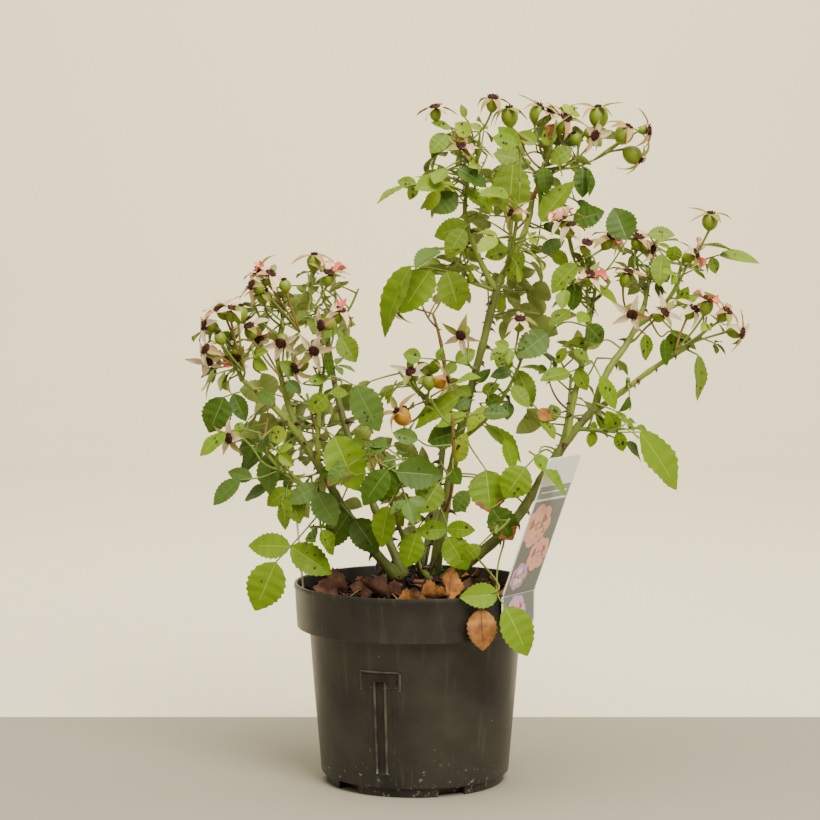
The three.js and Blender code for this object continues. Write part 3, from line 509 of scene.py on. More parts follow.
    # Studio paper and board: matt and even.
    WALL = Finish("Pale studio backdrop", "#fff4d0", 0.95, grain=3.0, relief=0.05)
    FLOOR = Finish("Pale studio floor", "#a09984", 0.9, grain=3.0, relief=0.05)


# Meshes


class Mesher:
    """Collects points and faces, in millimetres, and makes one object of them."""

    def __init__(self) -> None:
        """Starts with nothing."""
        self.points: list[np.ndarray] = []
        self.faces: list[np.ndarray] = []
        self.tones: list[np.ndarray] = []
        self.smooth: list[np.ndarray] = []
        self.finishes: list[Finish] = []
        self.count = 0

    def tone(self, finish: Finish) -> int:
        """The place of a finish in the object's list of materials, where it is added if it is new.

        Args:
            finish: the finish.

        Returns:
            Its place.
        """
        if finish not in self.finishes:
            self.finishes.append(finish)
        return self.finishes.index(finish)

    def add(self, points: np.ndarray, groups: list[np.ndarray], finish: Finish | list[np.ndarray],
            smooth: bool = True) -> None:
        """Adds points with the faces that name them.

        Args:
            points: the points, as rows.
            groups: arrays of faces, each with three or four points a face.
            finish: one finish, or for each group an array with a tone for each face.
            smooth: True to shade the faces as one surface.
        """
        self.points.append(points.reshape(-1, 3))
        for i, faces in enumerate(groups):
            self.faces.append(faces + self.count)
            tones = finish[i] if isinstance(finish, list) else np.full(len(faces), self.tone(finish))
            self.tones.append(np.asarray(tones))
            self.smooth.append(np.full(len(faces), smooth))
        self.count += len(self.points[-1])

    def triangles(self) -> int:
        """How many triangles the faces make."""
        return sum(len(faces) * (faces.shape[1] - 2) for faces in self.faces)

    def build(self, name: str) -> bpy.types.Object:
        """Makes the object.

        Args:
            name: the object's name.

        Returns:
            The object, at the origin.
        """
        mesh = bpy.data.meshes.new(name)
        points = np.concatenate(self.points) * MM
        corners = np.concatenate([faces.ravel() for faces in self.faces]).astype(np.int32)
        totals = np.concatenate([np.full(len(faces), faces.shape[1]) for faces in self.faces])
        starts = np.concatenate([[0], np.cumsum(totals)[:-1]]).astype(np.int32)
        mesh.vertices.add(len(points))
        mesh.vertices.foreach_set("co", points.astype(np.float32).ravel())
        mesh.loops.add(len(corners))
        mesh.loops.foreach_set("vertex_index", corners)
        mesh.polygons.add(len(starts))
        mesh.polygons.foreach_set("loop_start", starts)
        mesh.polygons.foreach_set("material_index", np.concatenate(self.tones).astype(np.int32))
        mesh.polygons.foreach_set("use_smooth", np.concatenate(self.smooth))
        mesh.update(calc_edges=True)
        for finish in self.finishes:
            mesh.materials.append(finish.material())
        mesh.validate()
        made = bpy.data.objects.new(name, mesh)
        bpy.context.scene.collection.objects.link(made)
        return made


def grid_faces(rows: int, columns: int, closed: bool = False) -> np.ndarray:
    """The four-cornered faces of a grid of points, joined round its columns if it is closed.

    Args:
        rows: how many rows of points there are.
        columns: how many points each row has.
        closed: True to join the last column to the first.

    Returns:
        The faces, as rows of four places in the list of points.
    """
    across = columns if closed else columns - 1
    i, j = np.meshgrid(np.arange(rows - 1), np.arange(across), indexing="ij")
    after = (j + 1) % columns
    quads = [i * columns + j, i * columns + after, (i + 1) * columns + after, (i + 1) * columns + j]
    return np.stack(quads, axis=-1).reshape(-1, 4)


def tube(path: np.ndarray, radii: np.ndarray, sides: int) -> tuple[np.ndarray, list[np.ndarray]]:
    """A rod along a path, closed at both ends.

    Args:
        path: its points.
        radii: its radius at each point.
        sides: how many sides it has.

    Returns:
        The points and the groups of faces.
    """
    chord = unit(path[-1] - path[0])
    wish = vec(0, 1, 0) if abs(chord[1]) < 0.8 else vec(1, 0, 0)
    ways = unit(np.gradient(path, axis=0))
    across = unit(wish - ways * (ways @ wish)[:, None])
    over = np.cross(ways, across)
    turns = np.linspace(0, 2 * pi, sides, endpoint=False)
    ring = np.cos(turns)[None, :, None] * across[:, None] + np.sin(turns)[None, :, None] * over[:, None]
    points = (path[:, None] + np.asarray(radii)[:, None, None] * ring).reshape(-1, 3)
    ends = np.array([path[0] - ways[0] * radii[0] * 0.4, path[-1] + ways[-1] * radii[-1] * 0.4])
    foot, tip = len(points), len(points) + 1
    side = np.arange(sides)
    after = (side + 1) % sides
    last = (len(path) - 1) * sides
    caps = np.concatenate([np.stack([np.full(sides, foot), after, side], axis=-1),
                           np.stack([np.full(sides, tip), last + side, last + after], axis=-1)])
    return np.vstack([points, ends]), [grid_faces(len(path), sides, closed=True), caps]


def turned(profile: np.ndarray, sides: int, centre: np.ndarray,
           axis: np.ndarray) -> tuple[np.ndarray, list[np.ndarray]]:
    """A surface turned about an axis.

    Args:
        profile: rows of radius and height along the axis.
        sides: how many sides it has.
        centre: the point where the height is nought.
        axis: the way of the axis.

    Returns:
        The points and the groups of faces.
    """
    across = square_to(axis, vec(0.15, 1, 0.3))
    over = np.cross(axis, across)
    turns = np.linspace(0, 2 * pi, sides, endpoint=False)
    ring = np.cos(turns)[:, None] * across + np.sin(turns)[:, None] * over
    points = centre + profile[:, 1, None, None] * axis + profile[:, 0, None, None] * ring[None]
    return points.reshape(-1, 3), [grid_faces(len(profile), sides, closed=True)]


def band(path: np.ndarray, outs: np.ndarray, width: float,
         height: float) -> tuple[np.ndarray, list[np.ndarray]]:
    """A low raised rib along a path on a surface that faces outs.

    Args:
        path: its points.
        outs: the way that the surface faces at each of them.
        width: width of its foot.
        height: how far it stands out.

    Returns:
        The points and the groups of faces.
    """
    ways = unit(np.gradient(path, axis=0))
    across = np.cross(outs, ways)
    crest, sunk = 0.28, 0.3  # half the crest's width as a share of the whole, and how deep the foot is let in
    rows = [path - across * width / 2 - outs * sunk, path - across * width * crest + outs * height,
            path + across * width * crest + outs * height, path + across * width / 2 - outs * sunk]
    points = np.stack(rows, axis=1)
    last = 4 * len(path) - 1
    ends = np.array([[0, 1, 2, 3], [last, last - 1, last - 2, last - 3]])
    return points.reshape(-1, 3), [grid_faces(len(path), 4), ends]


# The six faces of a box, from its four lower corners and then its four upper ones, each in turn round it.
BOX_FACES = np.array([[3, 2, 1, 0], [4, 5, 6, 7], [0, 1, 5, 4], [1, 2, 6, 5], [2, 3, 7, 6], [3, 0, 4, 7]])


class Blades:
    """Thin leaf-like blades, gathered as rows and meshed all together.

    Each blade has an upper sheet with a midrib and an under sheet, both cut to the same toothed outline.
    """

    ROWS = 19
    UPPER = np.array([-1.0, -0.55, -0.03, 0.03, 0.55, 1.0])
    LOWER = np.array([-1.0, -0.55, 0.0, 0.55, 1.0])
    QUILT = 0.26  # how far a leaf bulges between its side veins, as a share of the half width
    VEINS = 5  # side veins on each half

    def __init__(self, rise: float = 0.58, fall: float = 0.94, teeth: float = 0.055) -> None:
        """Sets the outline.

        Args:
            rise: how fast the outline widens from its base; less is faster.
            fall: how fast it narrows to its tip.
            teeth: how deep the teeth are, as a share of the half width.
        """
        u = np.linspace(0, 1, self.ROWS)
        wide = np.maximum(u, 1e-4) ** rise * np.maximum(1 - u, 1e-4) ** fall
        top = rise / (rise + fall)
        wide /= top**rise * (1 - top) ** fall
        swing = np.where(np.arange(self.ROWS) % 2 == 1, 1 + teeth, 1 - teeth)
        self.u = u
        self.wide = np.clip(wide * swing, 0.05, None)
        self.wide[-1] = 0.015
        self.rows: list[tuple] = []
        self.tones: list[tuple] = []

    def add(self, base: np.ndarray, axis: np.ndarray, normal: np.ndarray, length: float, width: float,
            top: Finish, under: Finish, vein: Finish, bend: float = 0.4, fold: float = 0.2, wave: float = 0.04,
            twist: float = 0.0, cup: float = 0.0, scorch: tuple[float, Finish] | None = None) -> None:
        # The channel and the inside of the head are darkened with painted shade, and the crests of the raised ribs
        # are pale with scuffing and a painted highlight.
        """Adds a blade.

        Args:
            Adds the moulded T-shaped panel: two long ribs under a framed head, pale with scuffing and a painted
            highlight, and the channel in it, darkened with painted shade.
            axis: the way to its tip.
            normal: the way its upper face looks.
            length: from base to tip.
            width: its greatest width.
            top: finish of the upper face.
            under: finish of the under face.
            vein: finish of the midrib.
            bend: how far it bends down along its length, in radians.
            fold: how far its halves rise, as a share of the half width.
            wave: how far its edge waves, as a share of the half width.
            twist: how far its tip is turned about the midrib, in radians.
            cup: how far its edges curl up.
            scorch: from which share of its length the edge is withered, and the finish of that.
        """
        self.rows.append((*base, *axis, *normal, length, width / 2, bend, fold, wave, twist, cup))
        self.tones.append((top, under, vein, scorch))

    def surface(self, rows: np.ndarray, columns: np.ndarray, drop: float) -> np.ndarray:
        """The points of every blade over the grid of rows and columns.

        Args:
            rows: a row for each blade, as add() gathers them.
            columns: places across a blade, from -1 to 1.
            drop: how deep the middle is sunk.

        Returns:
            The points, by blade, row and column.
        """
        base, axis, normal = rows[:, 0:3], rows[:, 3:6], rows[:, 6:9]
        length, half, bend, fold, wave, twist, cup = (rows[:, i, None, None] for i in range(9, 16))
        side = np.cross(axis, normal)
        u = self.u[None, :, None]
        v = columns[None, None, :]
        edge = self.wide[None, :, None] * half
        angle = bend * u
        safe = np.maximum(np.abs(bend), 1e-3)
        ahead = length * np.sin(safe * u) / safe
        down = -length * (1 - np.cos(safe * u)) / safe * np.sign(bend + 1e-9)
        turn = twist * u
        # The teeth point forwards, so the edge runs a little ahead of the midrib.
        ahead = ahead + edge * 0.16 * v**2
        out = np.abs(v)
        lift = edge * (fold * out + cup * v**2 + wave * np.sin(9 * u + 5 * twist + 3 * v) * out**3)
        lift = lift + self.QUILT * edge * np.cos(2 * pi * (self.VEINS * u - 1.2 * out)) * out * (1 - out)
        lift = lift - drop * (1 - out)
        across = edge * v
        aside = across * np.cos(turn) - lift * np.sin(turn)
        lifted = across * np.sin(turn) + lift * np.cos(turn)
        forward = ahead + lifted * np.sin(angle)
        upward = down + lifted * np.cos(angle)
        return (base[:, None, None] + forward[..., None] * axis[:, None, None]
                + aside[..., None] * side[:, None, None] + upward[..., None] * normal[:, None, None])

    def mesh(self, mesher: Mesher) -> None:
        """Adds every blade to a mesher.

        Args:
            mesher: the mesher.
        """
        if not self.rows:
            return
        rows = np.array(self.rows)
        for columns, drop, upper in ((self.UPPER, 0.0, True), (self.LOWER, 0.4, False)):
            points = self.surface(rows, columns, drop)
            faces = grid_faces(self.ROWS, len(columns))
            if not upper:
                # Turned over, but still split along the same diagonal as the upper sheet.
                faces = faces[:, [0, 3, 2, 1]]
            each = self.ROWS * len(columns)
            many = (faces[None] + (np.arange(len(rows)) * each)[:, None, None]).reshape(-1, 4)
            tones = np.array([self.face_tones(mesher, tone, columns, upper) for tone in self.tones])
            mesher.add(points, [many], [tones.ravel()])

    def face_tones(self, mesher: Mesher, tone: tuple, columns: np.ndarray, upper: bool) -> np.ndarray:
        """The tone of each face of one blade's sheet.

        Args:
            mesher: the mesher that keeps the finishes.
            tone: the blade's finishes, as add() gathers them.
            columns: the sheet's places across the blade.
            upper: True for the upper sheet.

        Returns:
            A tone for each face.
        """
        top, under, vein, scorch = tone
        cells = np.full((self.ROWS - 1, len(columns) - 1), mesher.tone(top if upper else under))
        if scorch:
            first = int(scorch[0] * (self.ROWS - 1))
            cells[first:, 0] = cells[first:, -1] = mesher.tone(scorch[1])
            cells[first + 4 :] = mesher.tone(scorch[1])
        if upper:
            cells[: self.ROWS - 5, 2] = mesher.tone(vein)
        return cells.ravel()


# Sizes of the plant


@dataclass(frozen=True)
class LimbSpec:
    """A cane or bough: how long, how it bends, how thick, and where it starts.

    Attributes:
        name: its node in the CAD.
        length: its length.
        lean: its leans from upright, in degrees, read evenly along it.
        heading: its headings, read the same way.
        radius: its radius at its foot and at its tip.
        foot: x and y of its foot, for a cane.
        parent: the limb that it grows from, for a bough.
        at: the share of the parent where it starts.
    """

    name: str
    length: float
    lean: tuple[float, ...]
    heading: tuple[float, ...]
    radius: tuple[float, float]
    foot: tuple[float, float] | None = None
    parent: str = ""
    at: float = 1.0


class Region(Enum):
    """Parts of the crown, each with its own objects."""

    LEFT = "left"
    CENTRE = "centre"
    TOP = "top"
    RIGHT = "right"
    BACK = "back"


@dataclass(frozen=True)
class Feature:
    """A leaf with a place of its own: at a share of the stem, with its own lean and heading.

    Attributes:
        at: the share of its mass's stem.
        heading: its heading.
        lean: its lean from upright.
        length: its length.
    """

    at: float
    heading: float
    lean: float
    length: float


@dataclass(frozen=True)
class MassSpec:
    """A mass of foliage: its stem, how far it reaches, and what grows on it.

    Attributes:
        name: its node in the CAD.
        region: the part of the crown that it belongs to.
        limb: the limb that its stem grows from.
        at: the share of that limb where it starts.
        length: length of its stem.
        lean: the stem's leans from upright, read evenly along it.
        heading: its headings, read the same way.
        reach: how far its space goes out from its stem.
        leaves: how many leaves grow on its stem.
        leaf_length: their length.
        seed: a whole number that sets all that is drawn for it.
        shoots: how many side shoots it has.
        hips: how many hips the stem ends in.
        shoot_hips: how many each shoot ends in.
        turn: heading of the first shoot, or None to take it from the seed.
        shoot_length: their length.
        features: leaves with a place of their own.
    """

    name: str
    region: Region
    limb: str
    at: float
    length: float
    lean: tuple[float, ...]
    heading: tuple[float, ...]
    reach: float
    leaves: int
    leaf_length: float
    seed: int
    shoots: int = 0
    hips: int = 0
    shoot_hips: int = 0
    turn: float | None = None
    shoot_length: float = 40.0
    features: tuple[Feature, ...] = ()


CLEAR = 0.35  # gap between neighbouring solids of the CAD
UNION_TOP = 168.0
COMPOST_TOP = 156.0

LIMBS = (
    LimbSpec("cane_left", length=146, lean=(42, 36, 29, 36), heading=(185, 197), radius=(5.4, 4.1),
             foot=(-14, -4)),
    LimbSpec("cane_left_back", length=208, lean=(30, 26, 18, 8), heading=(146, 158), radius=(4.7, 2.9),
             foot=(-9, 15)),
    LimbSpec("cane_centre", length=252, lean=(8, 11, 15, 14), heading=(12, -6), radius=(5.9, 3.7), foot=(16, 8)),
    LimbSpec("cane_right", length=190, lean=(52, 50, 31, 33, 44), heading=(-6, -4), radius=(6.0, 4.3),
             foot=(26, -8)),
    LimbSpec("cane_back", length=176, lean=(34, 26, 12), heading=(62, 84), radius=(4.3, 2.9), foot=(4, 22)),
    LimbSpec("cane_front", length=66, lean=(40, 34, 22), heading=(205, 228), radius=(3.0, 2.3), foot=(13, -16)),
    LimbSpec("bough_left_outer", length=68, lean=(36, 54), heading=(196, 200), radius=(2.9, 2.1),
             parent="cane_left"),
    LimbSpec("bough_left_upper", length=70, lean=(24, 10), heading=(170, 176), radius=(2.9, 2.1),
             parent="cane_left", at=0.97),
    LimbSpec("bough_left_front", length=56, lean=(34, 12, 4), heading=(262, 300), radius=(2.5, 1.9),
             parent="cane_left", at=0.8),
    LimbSpec("bough_top", length=74, lean=(30, 26, 6), heading=(4, -14), radius=(3.2, 2.3),
             parent="cane_centre"),
    LimbSpec("bough_top_left", length=70, lean=(34, 24, 14), heading=(196, 204), radius=(2.7, 1.9),
             parent="cane_centre", at=0.97),
    LimbSpec("bough_right_inner", length=84, lean=(4, 14, 10), heading=(-16, -12), radius=(3.0, 2.1),
             parent="cane_right", at=0.82),
    LimbSpec("bough_right_mid", length=96, lean=(12, 40, 20), heading=(22, 24), radius=(3.2, 2.2),
             parent="cane_right"),
    LimbSpec("bough_right_outer", length=98, lean=(56, 52, 60), heading=(-14, -10), radius=(2.8, 1.9),
             parent="cane_right", at=0.96),
    LimbSpec("bough_back", length=96, lean=(38, 24, 10), heading=(20, 34), radius=(2.6, 1.9),
             parent="cane_back", at=0.7),
)

MASSES = (
    MassSpec("foliage_left_outer", Region.LEFT, limb="bough_left_outer", at=1, length=26, lean=(24, 2),
             heading=(200, 190), reach=62, leaves=4, leaf_length=66, seed=11, shoots=3, turn=170, hips=4,
             shoot_hips=1),
    MassSpec("foliage_left_upper", Region.LEFT, limb="bough_left_upper", at=1, length=52, lean=(8, 16),
             heading=(60, 20), reach=66, leaves=5, leaf_length=72, seed=12, shoots=3, turn=180, hips=3,
             shoot_hips=1),
    MassSpec("foliage_left_front", Region.LEFT, limb="bough_left_front", at=1, length=48, lean=(20, 26),
             heading=(290, 300), reach=66, leaves=6, leaf_length=72, seed=13, shoots=2, turn=250, hips=3,
             shoot_hips=1),
    MassSpec("foliage_left_inner", Region.LEFT, limb="cane_left_back", at=1, length=40, lean=(6, 14),
             heading=(20, 0), reach=66, leaves=6, leaf_length=74, seed=14, shoots=2, turn=-20, hips=3,
             shoot_hips=1),
    MassSpec("foliage_left_side", Region.LEFT, limb="cane_left", at=0.58, length=94, lean=(74, 56, 14),
             heading=(206, 196), reach=66, leaves=8, leaf_length=74, seed=15, shoots=1, turn=200, hips=1,
             features=(Feature(at=0.45, heading=188, lean=112, length=68),)),
    MassSpec("foliage_left_low", Region.LEFT, limb="cane_left", at=0.34, length=46, lean=(70, 92),
             heading=(206, 200), reach=60, leaves=5, leaf_length=78, seed=16,
             features=(Feature(at=1, heading=196, lean=142, length=88),)),
    MassSpec("foliage_left_back", Region.LEFT, limb="cane_left_back", at=0.36, length=112, lean=(72, 36, 16),
             heading=(150, 130), reach=72, leaves=9, leaf_length=80, seed=17, shoots=1, hips=1, shoot_hips=1),
    MassSpec("foliage_front_low", Region.CENTRE, limb="cane_front", at=1, length=56, lean=(26, 32),
             heading=(226, 256), reach=68, leaves=9, leaf_length=80, seed=19),
    MassSpec("foliage_centre_front", Region.CENTRE, limb="cane_centre", at=0.22, length=112, lean=(64, 34, 16),
             heading=(284, 262), reach=72, leaves=11, leaf_length=78, seed=20),
    MassSpec("foliage_centre_left", Region.CENTRE, limb="cane_centre", at=0.54, length=78, lean=(76, 50, 34),
             heading=(192, 186), reach=66, leaves=8, leaf_length=74, seed=21, shoots=1, turn=180, hips=3,
             shoot_hips=1),
    MassSpec("foliage_centre_right", Region.CENTRE, limb="cane_centre", at=0.46, length=104, lean=(64, 38, 18),
             heading=(-40, -24), reach=68, leaves=9, leaf_length=76, seed=22, hips=1, shoot_hips=1),
    MassSpec("foliage_rim", Region.CENTRE, limb="cane_right", at=0.3, length=84, lean=(58, 84, 100),
             heading=(-96, -92), reach=54, leaves=5, leaf_length=74, seed=23,
             features=(Feature(at=1, heading=-20, lean=160, length=92),)),
    MassSpec("foliage_high_left", Region.TOP, limb="cane_centre", at=0.97, length=54, lean=(70, 76),
             heading=(200, 190), reach=66, leaves=6, leaf_length=80, seed=24,
             features=(Feature(at=1, heading=188, lean=116, length=86),)),
    MassSpec("foliage_high_front", Region.TOP, limb="bough_top", at=0.1, length=90, lean=(62, 24, 6),
             heading=(-76, -70), reach=66, leaves=9, leaf_length=78, seed=25),
    MassSpec("foliage_high_back", Region.TOP, limb="bough_top", at=0.2, length=90, lean=(62, 24, 10),
             heading=(84, 76), reach=68, leaves=9, leaf_length=80, seed=37, hips=2, shoot_hips=1),
    MassSpec("foliage_top_left", Region.TOP, limb="bough_top_left", at=1, length=50, lean=(0, -24),
             heading=(190, 190), reach=68, leaves=7, leaf_length=70, seed=26, shoots=2, turn=150, hips=2,
             shoot_hips=1, features=(Feature(at=0.05, heading=184, lean=94, length=78),)),
    MassSpec("foliage_top", Region.TOP, limb="bough_top", at=1, length=40, lean=(24, 10), heading=(-10, 0),
             reach=78, leaves=7, leaf_length=76, seed=27, shoots=4, turn=-8, shoot_length=54, hips=3,
             shoot_hips=2),
    MassSpec("foliage_right_inner", Region.RIGHT, limb="bough_right_inner", at=1, length=52, lean=(8, 12),
             heading=(0, 20), reach=66, leaves=8, leaf_length=76, seed=28, shoots=2, hips=2, shoot_hips=1),
    MassSpec("foliage_right_mid", Region.RIGHT, limb="bough_right_mid", at=1, length=34, lean=(14, 6),
             heading=(20, 40), reach=64, leaves=6, leaf_length=72, seed=29, shoots=2, turn=90, hips=2,
             shoot_hips=1),
    MassSpec("foliage_right_far", Region.RIGHT, limb="bough_right_mid", at=0.8, length=66, lean=(62, 38, 4),
             heading=(-14, -6), reach=60, leaves=7, leaf_length=66, seed=30, hips=3, shoot_hips=1,
             features=(Feature(at=0.7, heading=4, lean=80, length=62),)),
    MassSpec("foliage_right_front", Region.RIGHT, limb="bough_right_outer", at=0.4, length=52, lean=(64, 24),
             heading=(-94, -84), reach=60, leaves=6, leaf_length=70, seed=40, hips=3),
    MassSpec("foliage_right_outer", Region.RIGHT, limb="bough_right_outer", at=1, length=28, lean=(50, 40),
             heading=(-8, 0), reach=58, leaves=5, leaf_length=58, seed=31, shoots=2, turn=30, hips=3,
             shoot_hips=1, features=(Feature(at=0.1, heading=0, lean=172, length=50),)),
    MassSpec("foliage_right_low", Region.RIGHT, limb="cane_right", at=0.88, length=36, lean=(88, 98),
             heading=(-30, -14), reach=58, leaves=5, leaf_length=68, seed=32,
             features=(Feature(at=1, heading=-8, lean=122, length=82),)),
    MassSpec("foliage_right_back", Region.RIGHT, limb="cane_right", at=0.72, length=92, lean=(62, 34, 16),
             heading=(66, 80), reach=66, leaves=8, leaf_length=78, seed=39),
    MassSpec("foliage_back_low", Region.BACK, limb="cane_back", at=0.3, length=66, lean=(76, 50),
             heading=(80, 96), reach=66, leaves=8, leaf_length=80, seed=33),
    MassSpec("foliage_back", Region.BACK, limb="cane_back", at=1, length=60, lean=(10, 26), heading=(116, 136),
             reach=72, leaves=8, leaf_length=80, seed=34, shoots=1, hips=2, shoot_hips=1),
    MassSpec("foliage_back_right", Region.BACK, limb="bough_back", at=1, length=54, lean=(8, 24),
             heading=(20, 30), reach=72, leaves=8, leaf_length=80, seed=35, shoots=1, hips=2, shoot_hips=1),
)


# The growing rule


@dataclass
class Limb:
    """A placed cane or bough.

    Attributes:
        spec: its sizes.
        points: its path.
        radii: its radius at each point.
    """

    spec: LimbSpec
    points: np.ndarray
    radii: np.ndarray


@dataclass
class Mass:
    """A placed mass, before anything grows on its stem.

    Attributes:
        spec: its sizes.
        index: its place in the list of masses.
        stem: its stem's path.
        radius: its stem's radius.
        sites: the paths that its space is measured from.
    """

    spec: MassSpec
    index: int
    stem: np.ndarray
    radius: float
    sites: list[np.ndarray]


@dataclass
class Leaf:
    """A compound leaf.

    Attributes:
        base: where its stalk starts.
        axis: the way to its tip.
        normal: the way its upper face looks.
        length: from base to tip.
        fold: how far its side leaflets rise.
        spray: number of the shoot that it shares with others.
    """

    base: np.ndarray
    axis: np.ndarray
    normal: np.ndarray
    length: float
    fold: float
    spray: int = 0


@dataclass
class Hip:
    """A hip on its stalk, with the way its star of sepals faces.

    Attributes:
        start: where its stalk starts.
        centre: middle of its body.
        axis: the way its star faces.
        radius: its radius.
    """

    start: np.ndarray
    centre: np.ndarray
    axis: np.ndarray
    radius: float


@dataclass
class Plan:
    """All that grows in one mass.

    Attributes:
        mass: the mass.
        stems: each stem's path, with its radius at its foot and its tip.
        leaves: its leaves.
        hips: its hips.
    """

    mass: Mass
    stems: list[tuple[np.ndarray, tuple[float, float]]] = field(default_factory=list)
    leaves: list[Leaf] = field(default_factory=list)
    hips: list[Hip] = field(default_factory=list)


@dataclass(frozen=True)
class Spot:
    """A place on a stem where a leaf is to grow.

    Attributes:
        path: the stem's path.
        share: the share of it.
        azimuth: the leaf's turn about the stem, in degrees.
        length: length of the leaf.
        spray: number of the shoot that it shares with others.
    """

    path: np.ndarray
    share: float
    azimuth: float
    length: float
    spray: int = 0


class Taken:
    """Balls of room that are taken by leaflets and hips."""

    def __init__(self) -> None:
        """Starts with all room free."""
        self.centres = np.zeros((0, 3))
        self.radii = np.zeros(0)

    def clear(self, centres: np.ndarray, radii: np.ndarray, ease: float) -> bool:
        """True if none of some balls touches one that is taken, with all radii eased by a share.

        Args:
            centres: the balls' middles.
            radii: their radii.
            ease: share of the room that they must keep.

        Returns:
            True or False.
        """
        if not len(self.radii):
            return True
        gaps = np.linalg.norm(centres[:, None] - self.centres[None], axis=-1)
        return bool((gaps > ease * (radii[:, None] + self.radii[None])).all())

    def take(self, centres: np.ndarray, radii: np.ndarray) -> None:
        """Takes some balls of room.

        Args:
            centres: their middles.
            radii: their radii.
        """
        self.centres = np.vstack([self.centres, centres])
        self.radii = np.concatenate([self.radii, radii])


class Space:
    """Tells whose space a point is in, and if it is clear of the limbs, the pot and the labels."""

    MARGIN = 1.1  # half the gap between the spaces of two masses
    LIMB_GAP = 1.6
    LOW = np.array([-186.0, -118.0, -1.0])
    HIGH = np.array([286.0, 140.0, 574.0])
    POT_TOP = 170.0  # below this, growth keeps POT_REACH away from the pot's axis
    POT_REACH = 103.0
    CARD_REACH = 100.0  # how far out the card label stands where it isn't bent
    CARD_ROOM = (3.0, 4.0)  # beside it, and before and behind it
    TAG_TOP = 248.0
    TAG_ROOM = (11.0, 11.5)

    def __init__(self, masses: list[Mass], limbs: list[Limb]) -> None:
        """Packs the paths that distances are measured from.

        Args:
            masses: all masses.
            limbs: all limbs.
        """
        self.starts, self.first, self.along = self.pack([mass.sites for mass in masses])
        self.limb_starts, self.limb_first, self.limb_along = self.pack([[limb.points] for limb in limbs])
        self.reaches = np.array([mass.spec.reach for mass in masses], dtype=float)
        self.limb_radii = np.array([limb.radii[0] for limb in limbs]) + self.LIMB_GAP

    @staticmethod
    def pack(groups: list[list[np.ndarray]]) -> tuple[np.ndarray, np.ndarray, np.ndarray]:
        """The straight pieces of some groups of paths: where each group starts, first points and runs.

        Args:
            groups: the paths of each group.

        Returns:
            Where each group starts, and the first point and the run of each piece.
        """
        starts, first, along = [], [], []
        for paths in groups:
            starts.append(len(first))
            for path in paths:
                first.extend(path[:-1])
                along.extend(np.diff(path, axis=0))
        return np.array(starts), np.array(first), np.array(along)

    @staticmethod
    def nearest(points: np.ndarray, starts: np.ndarray, first: np.ndarray, along: np.ndarray) -> np.ndarray:
        """How far each point is from each group of straight pieces.

        Args:
            points: the points.
            starts: where each group starts.
            first: first point of each piece.
            along: run of each piece.

        Returns:
            The distances, with a row for each point and a column for each group.
        """
        rel = points[:, None] - first[None]
        share = np.clip((rel * along).sum(-1) / (along**2).sum(-1), 0, 1)
        return np.minimum.reduceat(np.linalg.norm(rel - share[..., None] * along, axis=-1), starts, axis=1)

    def free(self, mass: Mass, points: np.ndarray) -> bool:
        """True if all of some points are in the mass's own space and clear of everything else.

        Args:
            mass: the mass.
            points: one point, or rows of them.

        Returns:
            True or False.
        """
        points = np.atleast_2d(points)
        if (points < self.LOW).any() or (points > self.HIGH).any():
            return False
        shares = self.nearest(points, self.starts, self.first, self.along) / self.reaches
        own = shares[:, mass.index]
        if (own > 1).any():
            return False
        margins = self.MARGIN * (1 / mass.spec.reach + 1 / self.reaches)
        margins[mass.index] = -1
        if (shares - own[:, None] < margins).any():
            return False
        if (self.nearest(points, self.limb_starts, self.limb_first, self.limb_along) < self.limb_radii).any():
            return False
        inward = np.hypot(points[:, 0], points[:, 1])
        if ((points[:, 2] < self.POT_TOP) & (inward < self.POT_REACH)).any():
            return False
        return not self.near_label(points)

    @classmethod
    def near_label(cls, points: np.ndarray) -> bool:
        """True if any of some points is close to the card label or the slim tag.

        Args:
            points: rows of points.

        Returns:
            True or False.
        """
        turn = radians(CardLabel.heading)
        x, y, z = points.T
        out = around(x, y, turn)
        across = -x * sin(turn) + y * cos(turn)
        bend = CardLabel.bend
        card = cls.CARD_REACH + np.maximum(0, z - bend) * tan(radians(CardLabel.lean))
        beside, before = cls.CARD_ROOM
        by_card = ((z < bend + CardLabel.card) & (np.abs(across) < CardLabel.width / 2 + beside)
                   & (np.abs(out - card) < before))
        by_tag = ((z < cls.TAG_TOP) & (np.abs(x - SlimTag.x) < cls.TAG_ROOM[0])
                  & (np.abs(y - SlimTag.y) < cls.TAG_ROOM[1]))
        return bool((by_card | by_tag).any())


